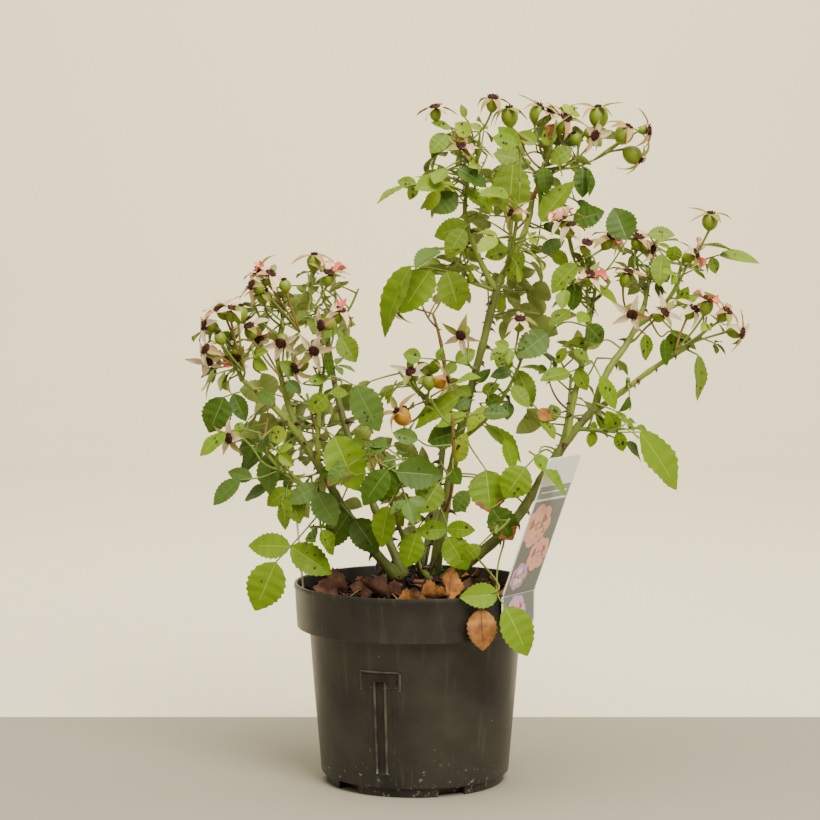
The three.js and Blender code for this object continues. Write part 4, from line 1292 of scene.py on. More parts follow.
class Bush:
    """The whole plant: limbs, masses, and what grows on them."""

    # Finer shoots, and finer leaves on the stem, that each mass of a region is given to try.
    FINE = {Region.LEFT: (6, 6), Region.CENTRE: (5, 6), Region.TOP: (8, 8), Region.RIGHT: (5, 4),
            Region.BACK: (2, 2)}
    TRIES = 30  # places that are tried for a leaf
    SHRINK = 0.42  # how much smaller the last of them is
    DROOP = 0.42
    KNUCKLE = 21.0  # length of a limb's straight pieces
    HIP_ROOM = 10.5

    def __init__(self) -> None:
        """Grows the whole plant."""
        self.limbs: dict[str, Limb] = {}
        for spec in LIMBS:
            self.limbs[spec.name] = self.place_limb(spec)
        self.masses = [self.place_mass(spec, index) for index, spec in enumerate(MASSES)]
        self.space = Space(self.masses, list(self.limbs.values()))
        self.plans = [self.grow(mass) for mass in self.masses]

    def place_limb(self, spec: LimbSpec) -> Limb:
        """Works out a limb's path and radii.

        Args:
            spec: its sizes.

        Returns:
            The limb.
        """
        steps = max(4, int(spec.length / self.KNUCKLE + 0.5))
        if spec.parent:
            start = path_point(self.limbs[spec.parent].points, spec.at)
        else:
            start = vec(*spec.foot, UNION_TOP + CLEAR)
        points = grow_path(start, spec.length, spec.lean, spec.heading, steps)
        radii = []
        for i in range(steps + 1):
            flare = 0 if spec.parent else 0.3 * max(0.0, 1 - 8 * i / steps)
            radii.append(along_list(spec.radius, i / steps) * (1 + flare))
        return Limb(spec, points, np.array(radii))

    def place_mass(self, spec: MassSpec, index: int) -> Mass:
        """Works out a mass's stem and the lines that its space is measured from.

        Args:
            spec: its sizes.
            index: its place in the list of masses.

        Returns:
            The mass.
        """
        limb = self.limbs[spec.limb]
        start = path_point(limb.points, spec.at) + path_way(limb.points, 1) * (CLEAR if spec.at == 1 else 0)
        stem = grow_path(start, spec.length, spec.lean, spec.heading, 4)
        sites = [stem]
        for feature in spec.features:
            base = path_point(stem, feature.at)
            sites.append(np.array([base, base + leaning(feature.lean, feature.heading) * feature.length]))
        return Mass(spec, index, stem, min(2.1, limb.radii[-1]), sites)

    @staticmethod
    def leaf_probe(leaf: Leaf) -> np.ndarray:
        """The points of a leaf that are tested against other growth.

        Args:
            leaf: the leaf.

        Returns:
            The points.
        """
        side = np.cross(leaf.axis, leaf.normal)
        shares = [(0.3, 0), (0.5, 0), (0.75, 0), (1, 0)]
        for hand in (-1, 1):
            shares += [(0.62, 0.3 * hand), (0.72, 0.36 * hand), (0.6, 0.18 * hand), (0.48, 0.2 * hand),
                       (0.82, 0.16 * hand)]
        return np.array([leaf.base + leaf.axis * leaf.length * a + side * leaf.length * b for a, b in shares])

    @staticmethod
    def leaf_room(leaf: Leaf) -> tuple[np.ndarray, np.ndarray]:
        """The balls of room that a leaf keeps, one for each leaflet of the source's plain leaf.

        Args:
            leaf: the leaf.

        Returns:
            Their middles and radii.
        """
        side = np.cross(leaf.axis, leaf.normal)
        turn, half = radians(70), 0.37 / 2
        shares = [(1 - 0.46 / 2, 0)]
        shares += [(0.43 + half * cos(turn), hand * half * sin(turn)) for hand in (-1, 1)]
        centres = np.array([leaf.base + leaf.axis * leaf.length * a + side * leaf.length * b for a, b in shares])
        return centres, np.full(3, leaf.length * 0.14)

    @staticmethod
    def leaf_normal(place: np.ndarray, axis: np.ndarray, draw: Stream) -> np.ndarray:
        """The way that a leaf turns its face: up, and away from the middle of the crown.

        Args:
            place: where the leaf starts.
            axis: the way to its tip.
            draw: the leaf's seeded numbers.

        Returns:
            A unit vector square to axis.
        """
        out = unit(vec(place[0] - 40, place[1], 0))
        wish = vec(draw() - 0.5, draw() - 0.5, 0.5 + 0.3 * draw())
        return square_to(axis, wish + out * 0.75)

    def try_leaf(self, mass: Mass, spot: Spot, draw: Stream, taken: Taken, ease: float = 1.0) -> Leaf | None:
        """Tries places for one leaf of a stem until it is free.

        Args:
            mass: the mass that the leaf belongs to.
            spot: where on the stem it starts.
            draw: the leaf's own seeded numbers.
            taken: the room that is taken.
            ease: share of the room that it must keep from other leaves.

        Returns:
            The leaf, or None if no place was free.
        """
        way = path_way(spot.path, spot.share)
        across = square_to(way, vec(0, 1, 0.2))
        over = np.cross(way, across)
        base = path_point(spot.path, spot.share)
        for attempt in range(self.TRIES):
            turn = radians(spot.azimuth + (0 if attempt == 0 else (draw() - 0.5) * 320))
            spread = radians(48 + 26 * draw())
            droop = self.DROOP * (0.4 + 1.3 * draw())
            size = spot.length * (0.86 + 0.28 * draw()) * (1 - self.SHRINK * attempt / self.TRIES)
            axis = around(way, around(across, over, turn), spread)
            axis[2] -= droop
            axis = unit(axis)
            normal = self.leaf_normal(base, axis, draw)
            fold = 0.12 * draw()
            draw()  # the curl of the source's leaf, which no leaflet here needs
            leaf = Leaf(base, axis, normal, size, fold, spot.spray)
            room = self.leaf_room(leaf)
            if taken.clear(*room, ease) and self.space.free(mass, self.leaf_probe(leaf)):
                taken.take(*room)
                return leaf
        return None

    def truss(self, mass: Mass, path: np.ndarray, count: int, draw: Stream, taken: Taken) -> list[Hip]:
        """The hips of a truss, fanned out from the tip of a stem.

        Args:
            mass: the mass that it belongs to.
            path: the stem's path.
            count: how many hips are tried.
            draw: seeded numbers.
            taken: the room that is taken.

        Returns:
            The hips that found room.
        """
        tip = path[-1]
        way = unit(path_way(path, 1) + vec(0, 0, 0.35))
        across = square_to(way, vec(1, 0.2, 0))
        over = np.cross(way, across)
        hips = []
        for i in range(count):
            spread = 0.12 if count == 1 else 0.3 + 0.95 * sqrt((i + 0.3) / count)
            turn = radians(i * GOLDEN + 40 * draw())
            stalk = 22 * (0.8 + 0.5 * draw())
            axis = unit(around(way, around(across, over, turn), spread))
            radius = 8 * (0.86 + 0.28 * draw())
            centre = tip + axis * (stalk + radius)
            facing = unit(axis + vec(draw() - 0.5, draw() - 0.8, draw() - 0.4) * 0.7)
            room = (centre + facing * radius * 0.8)[None], np.array([self.HIP_ROOM])
            probe = np.array([centre + facing * self.HIP_ROOM * 1.1, centre + axis * self.HIP_ROOM * 1.1])
            if taken.clear(*room, 1.0) and self.space.free(mass, probe):
                hips.append(Hip(tip, centre, facing, radius))
                taken.take(*room)
        return hips

    def grow(self, mass: Mass) -> Plan:
        """Grows a mass as the part's source does, then carries it on to finer twigs.

        Args:
            mass: the mass.

        Returns:
            All that grows in it.
        """
        spec, stem = mass.spec, mass.stem
        plan = Plan(mass, [(stem, (mass.radius, mass.radius * 0.55))])
        taken = Taken()
        spots = [Spot(stem, 0.3 + 0.68 * (i + 0.5) / spec.leaves, spec.seed * 47 + i * GOLDEN, spec.leaf_length)
                 for i in range(spec.leaves)]
        for feature in spec.features:
            axis = leaning(feature.lean, feature.heading)
            base = path_point(stem, feature.at)
            normal = self.leaf_normal(base, axis, Stream(spec.seed * 1009 + 7))
            # The leaf itself is one of those that the photograph shows leaflet by leaflet.
            taken.take(*self.leaf_room(Leaf(base, axis, normal, feature.length, fold=0.05)))
        plan.hips += self.truss(mass, stem, spec.hips, Stream(spec.seed * 1009 + 900), taken)
        for i in range(spec.shoots):
            draw = Stream(spec.seed * 1009 + 300 + i)
            share = 0.35 + 0.5 * i / max(1, spec.shoots)
            heading = (spec.seed * 73 if spec.turn is None else spec.turn) + i * GOLDEN + 20 * draw()
            length = spec.shoot_length * (0.85 + 0.3 * draw())
            shoot = grow_path(path_point(stem, share), length, (62, 34, 18), (heading, heading + 12), 2)
            if not self.space.free(mass, shoot[1:]):
                continue
            plan.stems.append((shoot, (mass.radius * 0.6, mass.radius * 0.45)))
            plan.hips += self.truss(mass, shoot, spec.shoot_hips, draw, taken)
            turn = spec.seed * 31 + i * GOLDEN
            spots.append(Spot(shoot, 0.55, turn, spec.leaf_length * 0.88, i + 1))
            spots.append(Spot(shoot, 0.9, turn + 170, spec.leaf_length * 0.8, i + 1))
        for i, spot in enumerate(spots):
            leaf = self.try_leaf(mass, spot, Stream(spec.seed * 1009 + 500 + i), taken)
            if leaf:
                plan.leaves.append(leaf)
        self.refine(plan, taken)
        return plan

    def refine(self, plan: Plan, taken: Taken) -> None:
        """Carries a mass on to finer shoots and leaves within its own space.

        Args:
            plan: the mass's growth, which gains them.
            taken: the room that is taken.
        """
        mass = plan.mass
        spec, stem = mass.spec, mass.stem
        draw = Stream(spec.seed * 1009 + 2000)
        spots = []
        shoots, leaves = self.FINE[spec.region]
        for i in range(shoots):
            share = 0.2 + 0.78 * (i + 0.5) / shoots
            heading = spec.seed * 53 + i * GOLDEN + 30 * draw()
            length = draw.between(22, 40)
            shoot = grow_path(path_point(stem, share), length, (58, 36, 20), (heading, heading + 20), 3)
            if not self.space.free(mass, shoot[2:]):
                continue
            plan.stems.append((shoot, (mass.radius * 0.5, mass.radius * 0.32)))
            for j, place in enumerate((0.5, 1.0)):
                azimuth, length = draw() * 360, spec.leaf_length * draw.between(0.5, 0.78)
                spots.append(Spot(shoot, place, azimuth, length, i + 10 + j))
        for i in range(leaves):
            share = 0.12 + 0.86 * (i + 0.5) / leaves
            azimuth, length = spec.seed * 29 + i * GOLDEN + 70, spec.leaf_length * draw.between(0.5, 0.85)
            spots.append(Spot(stem, share, azimuth, length))
        for i, spot in enumerate(spots):
            leaf = self.try_leaf(mass, spot, Stream(spec.seed * 1009 + 3000 + i), taken, 0.6)
            if leaf:
                plan.leaves.append(leaf)


# What the photograph shows of single hips, leaflets and twigs


class Picture:
    """The photograph's geometry: which point at a depth shows at a place in it, and the reverse."""

    SIZE = 820  # pixels across and down
    EYE = vec(-4.13, -2000.0, 461.0)
    PITCH = 4.35  # degrees that the camera looks down
    LENS = 106.24
    SENSOR = 36.0
    FOCAL = SIZE * LENS / SENSOR  # in pixels
    AHEAD = vec(0, cos(radians(PITCH)), -sin(radians(PITCH)))
    ABOVE = vec(0, sin(radians(PITCH)), cos(radians(PITCH)))

    @classmethod
    def point(cls, across: float, down: float, depth: float) -> np.ndarray:
        """The point with y at depth that shows at a pixel column and row.

        Args:
            across: the column.
            down: the row.
            depth: its y.

        Returns:
            The point.
        """
        right, up = (across - cls.SIZE / 2) / cls.FOCAL, (cls.SIZE / 2 - down) / cls.FOCAL
        way = cls.AHEAD + cls.ABOVE * up + vec(right, 0, 0)
        return cls.EYE + way * (depth - cls.EYE[1]) / way[1]

    @classmethod
    def place(cls, points: np.ndarray) -> np.ndarray:
        """The pixel columns and rows where some points show.

        Args:
            points: the points, in the last axis of an array.

        Returns:
            The columns and rows, in the last axis.
        """
        rel = points - cls.EYE
        far = rel @ cls.AHEAD
        return np.stack([cls.SIZE / 2 + cls.FOCAL * rel[..., 0] / far,
                         cls.SIZE / 2 - cls.FOCAL * (rel @ cls.ABOVE) / far], axis=-1)


class HipKind(Enum):
    """How a hip looks."""

    STAR = "spread sepals round a dark middle"
    BALL = "plump and green, sepals turned back"
    RIPE = "plump and turning orange"
    PETAL = "spread sepals with a withered petal"
    BARE = "plump and green, sepals fallen"
    BLOOM = "a bunch of crumpled petals"


@dataclass(frozen=True)
class SeenHip:
    """A hip that the photograph shows.

    Attributes:
        column: pixel column of the middle of its star.
        row: pixel row of it.
        turn: the way it faces in the picture, in degrees counter-clockwise from the right.
        toward: how much it faces the camera, 0 to 1.
        kind: how it looks.
        radius: its radius in millimetres, or nought for one that is drawn by the seed.
    """

    column: float
    row: float
    turn: float
    toward: float
    kind: HipKind = HipKind.STAR
    radius: float = 0.0


@dataclass(frozen=True)
class SeenTruss:
    """Hips that share a fork: its pixel column and row, and the hips.

    Attributes:
        column: pixel column of the fork.
        row: pixel row of it.
        hips: the hips.
    """

    column: float
    row: float
    hips: tuple[SeenHip, ...]


@dataclass(frozen=True)
class SeenLeaf:
    """A leaf that the photograph shows, as pixel columns and rows.

    Attributes:
        tone: its finish.
        width: how wide its end leaflet shows.
        stalk: its stalk, from the stem to the foot of its end leaflet.
        tips: the tips of its leaflets: the end one, then the side ones from the end back.
        ahead: how far it hangs out towards the viewer, in millimetres.
        scorched: True if the tip of its end leaflet is withered.
    """

    tone: Finish
    width: float
    stalk: tuple[tuple[float, float], ...]
    tips: tuple[tuple[float, float], ...]
    ahead: float = 0.0
    scorched: bool = False


SEEN_TRUSSES = (
    SeenTruss(column=245, row=372, hips=(
        SeenHip(column=220, row=309, turn=120, toward=0.5),
        SeenHip(column=233, row=309, turn=80, toward=0.35),
        SeenHip(column=241, row=306, turn=80, toward=0.2, kind=HipKind.BARE, radius=7.0),
        SeenHip(column=205, row=325, turn=165, toward=0.45),
        SeenHip(column=218, row=333, turn=110, toward=0.3, kind=HipKind.BARE, radius=5.2),
        SeenHip(column=206, row=349, turn=150, toward=0.5),
        SeenHip(column=208, row=361, turn=250, toward=0.8),
        SeenHip(column=237, row=357, turn=260, toward=0.6, kind=HipKind.PETAL),
    )),
    SeenTruss(column=281, row=378, hips=(
        SeenHip(column=258, row=338, turn=300, toward=0.55),
        SeenHip(column=281, row=343, turn=250, toward=0.85),
        SeenHip(column=249, row=327, turn=100, toward=0.4),
        SeenHip(column=296, row=368, turn=200, toward=0.5),
    )),
    SeenTruss(column=300, row=332, hips=(
        SeenHip(column=252, row=285, turn=150, toward=0.45),
        SeenHip(column=262, row=292, turn=95, toward=0.35),
        SeenHip(column=258, row=271, turn=130, toward=0.3, kind=HipKind.PETAL),
        SeenHip(column=270, row=274, turn=60, toward=0.4),
        SeenHip(column=284, row=280, turn=100, toward=0.25, kind=HipKind.BARE, radius=5.4),
    )),
    SeenTruss(column=307, row=316, hips=(
        SeenHip(column=314, row=255, turn=90, toward=0.2, kind=HipKind.BALL, radius=6.6),
        SeenHip(column=329, row=273, turn=80, toward=0.4, kind=HipKind.PETAL),
        SeenHip(column=340, row=311, turn=75, toward=0.35, kind=HipKind.PETAL),
    )),
    SeenTruss(column=324, row=366, hips=(
        SeenHip(column=314, row=351, turn=235, toward=0.85),
        SeenHip(column=322, row=325, turn=190, toward=0.6),
    )),
    SeenTruss(column=261, row=461, hips=(
        SeenHip(column=229, row=438, turn=190, toward=0.75),
    )),
    SeenTruss(column=480, row=132, hips=(
        SeenHip(column=435, row=108, turn=95, toward=0.2),
        SeenHip(column=461, row=146, turn=60, toward=0.75, kind=HipKind.PETAL),
        SeenHip(column=493, row=98, turn=85, toward=0.3),
    )),
    SeenTruss(column=544, row=148, hips=(
        SeenHip(column=540, row=106, turn=70, toward=0.3, kind=HipKind.BALL, radius=7.2),
        SeenHip(column=552, row=111, turn=70, toward=0.5),
        SeenHip(column=509, row=108, turn=95, toward=0.2, kind=HipKind.BALL, radius=7.6),
    )),
    SeenTruss(column=576, row=160, hips=(
        SeenHip(column=566, row=118, turn=60, toward=0.5, radius=7.6),
        SeenHip(column=594, row=135, turn=330, toward=0.8),
        SeenHip(column=574, row=133, turn=110, toward=0.35, kind=HipKind.BARE, radius=5.6),
        SeenHip(column=598, row=107, turn=95, toward=0.2, kind=HipKind.BALL, radius=8.7),
    )),
    SeenTruss(column=594, row=160, hips=(
        SeenHip(column=629, row=126, turn=60, toward=0.25, kind=HipKind.BALL, radius=8.5),
        SeenHip(column=648, row=130, turn=5, toward=0.35, radius=3.8),
        SeenHip(column=640, row=160, turn=325, toward=0.3, kind=HipKind.BALL, radius=8.1),
    )),
    SeenTruss(column=575, row=262, hips=(
        SeenHip(column=570, row=225, turn=85, toward=0.3),
        SeenHip(column=587, row=243, turn=80, toward=0.6),
        SeenHip(column=611, row=237, turn=60, toward=0.45, kind=HipKind.PETAL),
        SeenHip(column=563, row=220, turn=115, toward=0.2, kind=HipKind.BLOOM),
    )),
    SeenTruss(column=588, row=312, hips=(
        SeenHip(column=590, row=275, turn=80, toward=0.7, kind=HipKind.PETAL),
    )),
    SeenTruss(column=528, row=232, hips=(
        SeenHip(column=511, row=213, turn=150, toward=0.35, kind=HipKind.BALL, radius=5.4),
    )),
    SeenTruss(column=635, row=272, hips=(
        SeenHip(column=638, row=237, turn=80, toward=0.4),
        SeenHip(column=652, row=249, turn=350, toward=0.55),
    )),
    SeenTruss(column=627, row=312, hips=(
        SeenHip(column=628, row=273, turn=70, toward=0.2),
        SeenHip(column=632, row=314, turn=265, toward=0.85),
    )),
    SeenTruss(column=684, row=272, hips=(
        SeenHip(column=711, row=213, turn=85, toward=0.2, kind=HipKind.BALL, radius=7.3),
        SeenHip(column=695, row=254, turn=25, toward=0.3, kind=HipKind.PETAL),
    )),
    SeenTruss(column=640, row=334, hips=(
        SeenHip(column=664, row=313, turn=40, toward=0.6),
    )),
    SeenTruss(column=676, row=350, hips=(
        SeenHip(column=694, row=309, turn=55, toward=0.45),
        SeenHip(column=727, row=311, turn=55, toward=0.4),
        SeenHip(column=741, row=333, turn=355, toward=0.4),
        SeenHip(column=708, row=300, turn=80, toward=0.3, kind=HipKind.PETAL),
    )),
    SeenTruss(column=468, row=362, hips=(
        SeenHip(column=461, row=335, turn=230, toward=0.8),
    )),
    SeenTruss(column=515, row=350, hips=(
        SeenHip(column=520, row=319, turn=85, toward=0.45),
    )),
    SeenTruss(column=426, row=406, hips=(
        SeenHip(column=411, row=372, turn=110, toward=0.6),
        SeenHip(column=429, row=376, turn=90, toward=0.15, kind=HipKind.BARE, radius=5.8),
        SeenHip(column=447, row=380, turn=20, toward=0.25, kind=HipKind.RIPE, radius=6.2),
        SeenHip(column=397, row=411, turn=130, toward=0.5, kind=HipKind.RIPE, radius=8.0),
    )),
)

SEEN_LEAVES = (
    SeenLeaf(tone=Paint.DEEP, width=28, stalk=((262, 388), (240, 392), (224, 397)),
             tips=((208, 433), (246, 421))),
    SeenLeaf(tone=Paint.BRIGHT, width=15, stalk=((262, 434), (242, 429), (225, 432)),
             tips=((199, 455), (243, 422))),
    SeenLeaf(tone=Paint.BLUISH, width=17, stalk=((284, 468), (262, 477), (240, 480)),
             tips=((211, 503), (227, 471))),
    SeenLeaf(tone=Paint.BLUISH, width=22, stalk=((288, 442), (270, 452)), tips=((268, 495),)),
    SeenLeaf(tone=Paint.BRIGHT, width=38, stalk=((316, 424), (334, 436)), tips=((358, 491),)),
    SeenLeaf(tone=Paint.BLUISH, width=30, stalk=((338, 378), (356, 386)), tips=((380, 432),)),
    SeenLeaf(tone=Paint.DEEP, width=25, stalk=((408, 458), (388, 470)), tips=((360, 504), (379, 503))),
    SeenLeaf(tone=Paint.BLUISH, width=25, stalk=((322, 468), (316, 492)), tips=((336, 526), (289, 503))),
    SeenLeaf(tone=Paint.MID, width=15, stalk=((316, 474), (290, 482), (286, 498)),
             tips=((281, 530), (266, 506), (300, 524))),
    SeenLeaf(tone=Paint.BRIGHT, width=35, stalk=((322, 512), (302, 534), (276, 562)),
             tips=((254, 612), (247, 545), (332, 574))),
    SeenLeaf(tone=Paint.DEEP, width=27, stalk=((336, 498), (354, 519)), tips=((378, 553), (326, 549))),
    SeenLeaf(tone=Paint.BRIGHT, width=22, stalk=((402, 478), (388, 506)), tips=((379, 548),)),
    SeenLeaf(tone=Paint.MID, width=18, stalk=((342, 382), (327, 395)), tips=((309, 412), (348, 394))),
    SeenLeaf(tone=Paint.MID, width=20, stalk=((332, 326), (340, 336)), tips=((356, 362), (306, 318))),
    SeenLeaf(tone=Paint.FRESH, width=16, stalk=((300, 428), (287, 432)), tips=((268, 438),)),
    SeenLeaf(tone=Paint.DEEP, width=30, stalk=((378, 462), (396, 472)), tips=((444, 475),)),
    SeenLeaf(tone=Paint.MID, width=25, stalk=((456, 468), (439, 483)), tips=((420, 513),)),
    SeenLeaf(tone=Paint.BLUISH, width=16, stalk=((478, 476), (468, 491)), tips=((453, 513),)),
    SeenLeaf(tone=Paint.FRESH, width=15, stalk=((454, 472), (458, 462)), tips=((463, 432),)),
    SeenLeaf(tone=Paint.BRIGHT, width=37, stalk=((470, 446), (486, 470)), tips=((491, 513),), scorched=True),
    SeenLeaf(tone=Paint.BRIGHT, width=30, stalk=((544, 450), (526, 467)), tips=((504, 498),)),
    SeenLeaf(tone=Paint.DEEP, width=27, stalk=((512, 496), (492, 508)), tips=((514, 541),), scorched=True),
    SeenLeaf(tone=Paint.BRIGHT, width=27, stalk=((438, 500), (446, 522), (447, 537)),
             tips=((468, 570), (416, 532), (475, 530))),
    SeenLeaf(tone=Paint.BRIGHT, width=23, stalk=((404, 500), (417, 533)), tips=((405, 568),)),
    SeenLeaf(tone=Paint.DEEP, width=24, stalk=((478, 418), (458, 432)), tips=((426, 441),)),
    SeenLeaf(tone=Paint.MID, width=20, stalk=((498, 352), (517, 370)), tips=((536, 406),)),
    SeenLeaf(tone=Paint.BLUISH, width=26, stalk=((566, 322), (548, 333)), tips=((517, 357),)),
    SeenLeaf(tone=Paint.BRIGHT, width=16, stalk=((466, 414), (484, 426)), tips=((527, 456),)),
    SeenLeaf(tone=Paint.BRIGHT, width=13, stalk=((552, 448), (542, 447), (538, 457)), tips=((570, 494),),
             ahead=78),
    SeenLeaf(tone=Paint.MID, width=15, stalk=((592, 362), (570, 372)), tips=((540, 379), (588, 391))),
    SeenLeaf(tone=Paint.BRIGHT, width=31, ahead=80, stalk=((504, 541), (498, 565), (497, 592), (505, 607)),
             tips=((532, 656), (461, 597))),
    SeenLeaf(tone=Paint.DRY, width=27, stalk=((499, 586), (486, 596), (481, 609)), tips=((483, 651),), ahead=12),
    SeenLeaf(tone=Paint.BRIGHT, width=27, stalk=((478, 286), (446, 271), (411, 266)),
             tips=((372, 334), (401, 313))),
    SeenLeaf(tone=Paint.MID, width=30, stalk=((470, 283), (447, 271)), tips=((460, 312),)),
    SeenLeaf(tone=Paint.MID, width=35, stalk=((532, 152), (513, 163)), tips=((509, 217), (494, 153))),
    SeenLeaf(tone=Paint.MID, width=24, stalk=((536, 246), (541, 222)), tips=((571, 177),)),
    SeenLeaf(tone=Paint.BLUISH, width=22, stalk=((468, 206), (457, 194)), tips=((434, 213),)),
    SeenLeaf(tone=Paint.BRIGHT, width=18, stalk=((460, 196), (466, 190)), tips=((497, 211),)),
    SeenLeaf(tone=Paint.BRIGHT, width=14, stalk=((538, 152), (536, 144)), tips=((519, 131),)),
    SeenLeaf(tone=Paint.BRIGHT, width=14, stalk=((540, 150), (541, 140)), tips=((557, 135),)),
    SeenLeaf(tone=Paint.BRIGHT, width=15, stalk=((520, 154), (517, 145)), tips=((493, 137), (499, 127))),
    SeenLeaf(tone=Paint.FRESH, width=14, stalk=((474, 142), (470, 135)), tips=((456, 123),)),
    SeenLeaf(tone=Paint.MID, width=7, stalk=((470, 126), (465, 118)), tips=((462, 104),)),
    SeenLeaf(tone=Paint.DRY, width=9, stalk=((546, 146), (548, 140)), tips=((551, 119),)),
    SeenLeaf(tone=Paint.DEEP, width=18, stalk=((446, 172), (458, 168)), tips=((488, 184),)),
    SeenLeaf(tone=Paint.MID, width=9, stalk=((448, 178), (425, 183), (405, 186)),
             tips=((376, 202), (396, 180), (409, 200))),
    SeenLeaf(tone=Paint.DEEP, width=29, stalk=((610, 266), (627, 240)), tips=((614, 207),)),
    SeenLeaf(tone=Paint.DEEP, width=21, stalk=((566, 236), (573, 221)), tips=((604, 211),)),
    SeenLeaf(tone=Paint.MID, width=20, stalk=((592, 256), (577, 264)), tips=((549, 291),)),
    SeenLeaf(tone=Paint.DEEP, width=17, stalk=((590, 274), (575, 283)), tips=((572, 311),)),
    SeenLeaf(tone=Paint.MID, width=11, stalk=((588, 292), (593, 283)), tips=((620, 300),)),
    SeenLeaf(tone=Paint.MID, width=13, stalk=((608, 340), (595, 344)), tips=((561, 342),)),
    SeenLeaf(tone=Paint.MID, width=20, stalk=((478, 214), (464, 229)), tips=((446, 258), (433, 236))),
    SeenLeaf(tone=Paint.MID, width=16, stalk=((520, 240), (508, 249)), tips=((484, 256),)),
    SeenLeaf(tone=Paint.MID, width=17, stalk=((582, 140), (571, 149)), tips=((550, 163),)),
    SeenLeaf(tone=Paint.MID, width=16, stalk=((466, 130), (447, 134)), tips=((430, 152), (463, 141))),
    SeenLeaf(tone=Paint.BRIGHT, width=30, stalk=((568, 428), (600, 432), (640, 432)),
             tips=((683, 487), (624, 453), (607, 411), (590, 448), (594, 421))),
    SeenLeaf(tone=Paint.BRIGHT, width=16, stalk=((592, 362), (600, 376)), tips=((619, 408),)),
    SeenLeaf(tone=Paint.MID, width=15, stalk=((688, 350), (698, 355)), tips=((700, 401),)),
    SeenLeaf(tone=Paint.MID, width=16, stalk=((690, 266), (706, 259), (719, 255)), tips=((760, 261), (716, 274))),
    SeenLeaf(tone=Paint.MID, width=7, stalk=((696, 252), (701, 245)), tips=((734, 246),)),
    SeenLeaf(tone=Paint.MID, width=17, stalk=((668, 262), (662, 254)), tips=((659, 286),), ahead=-16),
    SeenLeaf(tone=Paint.MID, width=14, stalk=((666, 258), (648, 234)), tips=((675, 233),), ahead=-16),
    SeenLeaf(tone=Paint.MID, width=15, stalk=((676, 256), (676, 246)), tips=((672, 262),), ahead=-10),
    SeenLeaf(tone=Paint.MID, width=13, stalk=((640, 330), (645, 334)), tips=((647, 361),)),
    SeenLeaf(tone=Paint.DEEP, width=12, stalk=((668, 350), (664, 339)), tips=((667, 366),)),
    SeenLeaf(tone=Paint.MID, width=9, stalk=((660, 336), (669, 331)), tips=((694, 342),)),
    SeenLeaf(tone=Paint.MID, width=12, stalk=((668, 326), (676, 334)), tips=((698, 348), (672, 358))),
    SeenLeaf(tone=Paint.MID, width=11, stalk=((664, 312), (684, 302)), tips=((716, 294), (688, 287))),
    SeenLeaf(tone=Paint.DEEP, width=18, stalk=((580, 314), (587, 325)), tips=((604, 343),)),
    SeenLeaf(tone=Paint.MID, width=13, stalk=((574, 300), (570, 310)), tips=((548, 324),)),
    SeenLeaf(tone=Paint.MID, width=14, stalk=((540, 424), (556, 420)), tips=((551, 404),)),
    SeenLeaf(tone=Paint.DRY, width=12, stalk=((532, 404), (538, 410)), tips=((552, 420),)),
    SeenLeaf(tone=Paint.BRIGHT, width=15, stalk=((478, 368), (450, 361), (421, 358)),
             tips=((403, 354), (431, 376), (443, 347), (446, 374), (476, 349))),
    SeenLeaf(tone=Paint.DEEP, width=12, stalk=((516, 380), (512, 371)), tips=((490, 375),)),
    SeenLeaf(tone=Paint.DEEP, width=12, stalk=((500, 402), (508, 401)), tips=((507, 420),)),
    SeenLeaf(tone=Paint.MID, width=15, stalk=((498, 396), (512, 386)), tips=((530, 407),)),
    SeenLeaf(tone=Paint.DEEP, width=10, stalk=((474, 386), (478, 383)), tips=((490, 368),)),
    SeenLeaf(tone=Paint.MID, width=12, stalk=((474, 396), (471, 395)), tips=((455, 387),)),
    SeenLeaf(tone=Paint.BLUISH, width=12, stalk=((474, 400), (470, 400)), tips=((454, 408),)),
    SeenLeaf(tone=Paint.MID, width=24, stalk=((472, 398), (460, 396)), tips=((412, 426),)),
    SeenLeaf(tone=Paint.BRIGHT, width=13, stalk=((474, 414), (466, 413)), tips=((436, 425),)),
    SeenLeaf(tone=Paint.FRESH, width=14, stalk=((492, 404), (486, 406)), tips=((466, 431),)),
    SeenLeaf(tone=Paint.BRIGHT, width=14, stalk=((500, 434), (505, 440)), tips=((516, 471),)),
    SeenLeaf(tone=Paint.MID, width=11, stalk=((572, 346), (574, 349)), tips=((591, 363),)),
    SeenLeaf(tone=Paint.MID, width=10, stalk=((570, 344), (566, 348)), tips=((556, 364),)),
    SeenLeaf(tone=Paint.MID, width=10, stalk=((536, 412), (541, 419)), tips=((556, 438),)),
    SeenLeaf(tone=Paint.BLUISH, width=15, stalk=((430, 446), (418, 440)), tips=((392, 432),)),
    SeenLeaf(tone=Paint.BLUISH, width=17, stalk=((534, 174), (543, 167)), tips=((546, 195),)),
    SeenLeaf(tone=Paint.DEEP, width=9, stalk=((533, 176), (537, 174)), tips=((542, 206),)),
    SeenLeaf(tone=Paint.DEEP, width=9, stalk=((570, 162), (588, 169)), tips=((591, 196), (583, 197))),
    SeenLeaf(tone=Paint.DEEP, width=12, stalk=((536, 228), (543, 225)), tips=((564, 232),)),
    SeenLeaf(tone=Paint.BLUISH, width=15, stalk=((534, 250), (541, 252)), tips=((564, 239),)),
    SeenLeaf(tone=Paint.MID, width=13, stalk=((540, 258), (551, 253)), tips=((570, 263),)),
    SeenLeaf(tone=Paint.MID, width=16, stalk=((528, 246), (523, 252)), tips=((506, 278),)),
    SeenLeaf(tone=Paint.MID, width=11, stalk=((476, 392), (482, 392)), tips=((499, 384),)),
    SeenLeaf(tone=Paint.DEEP, width=10, stalk=((480, 404), (485, 403)), tips=((501, 397),)),
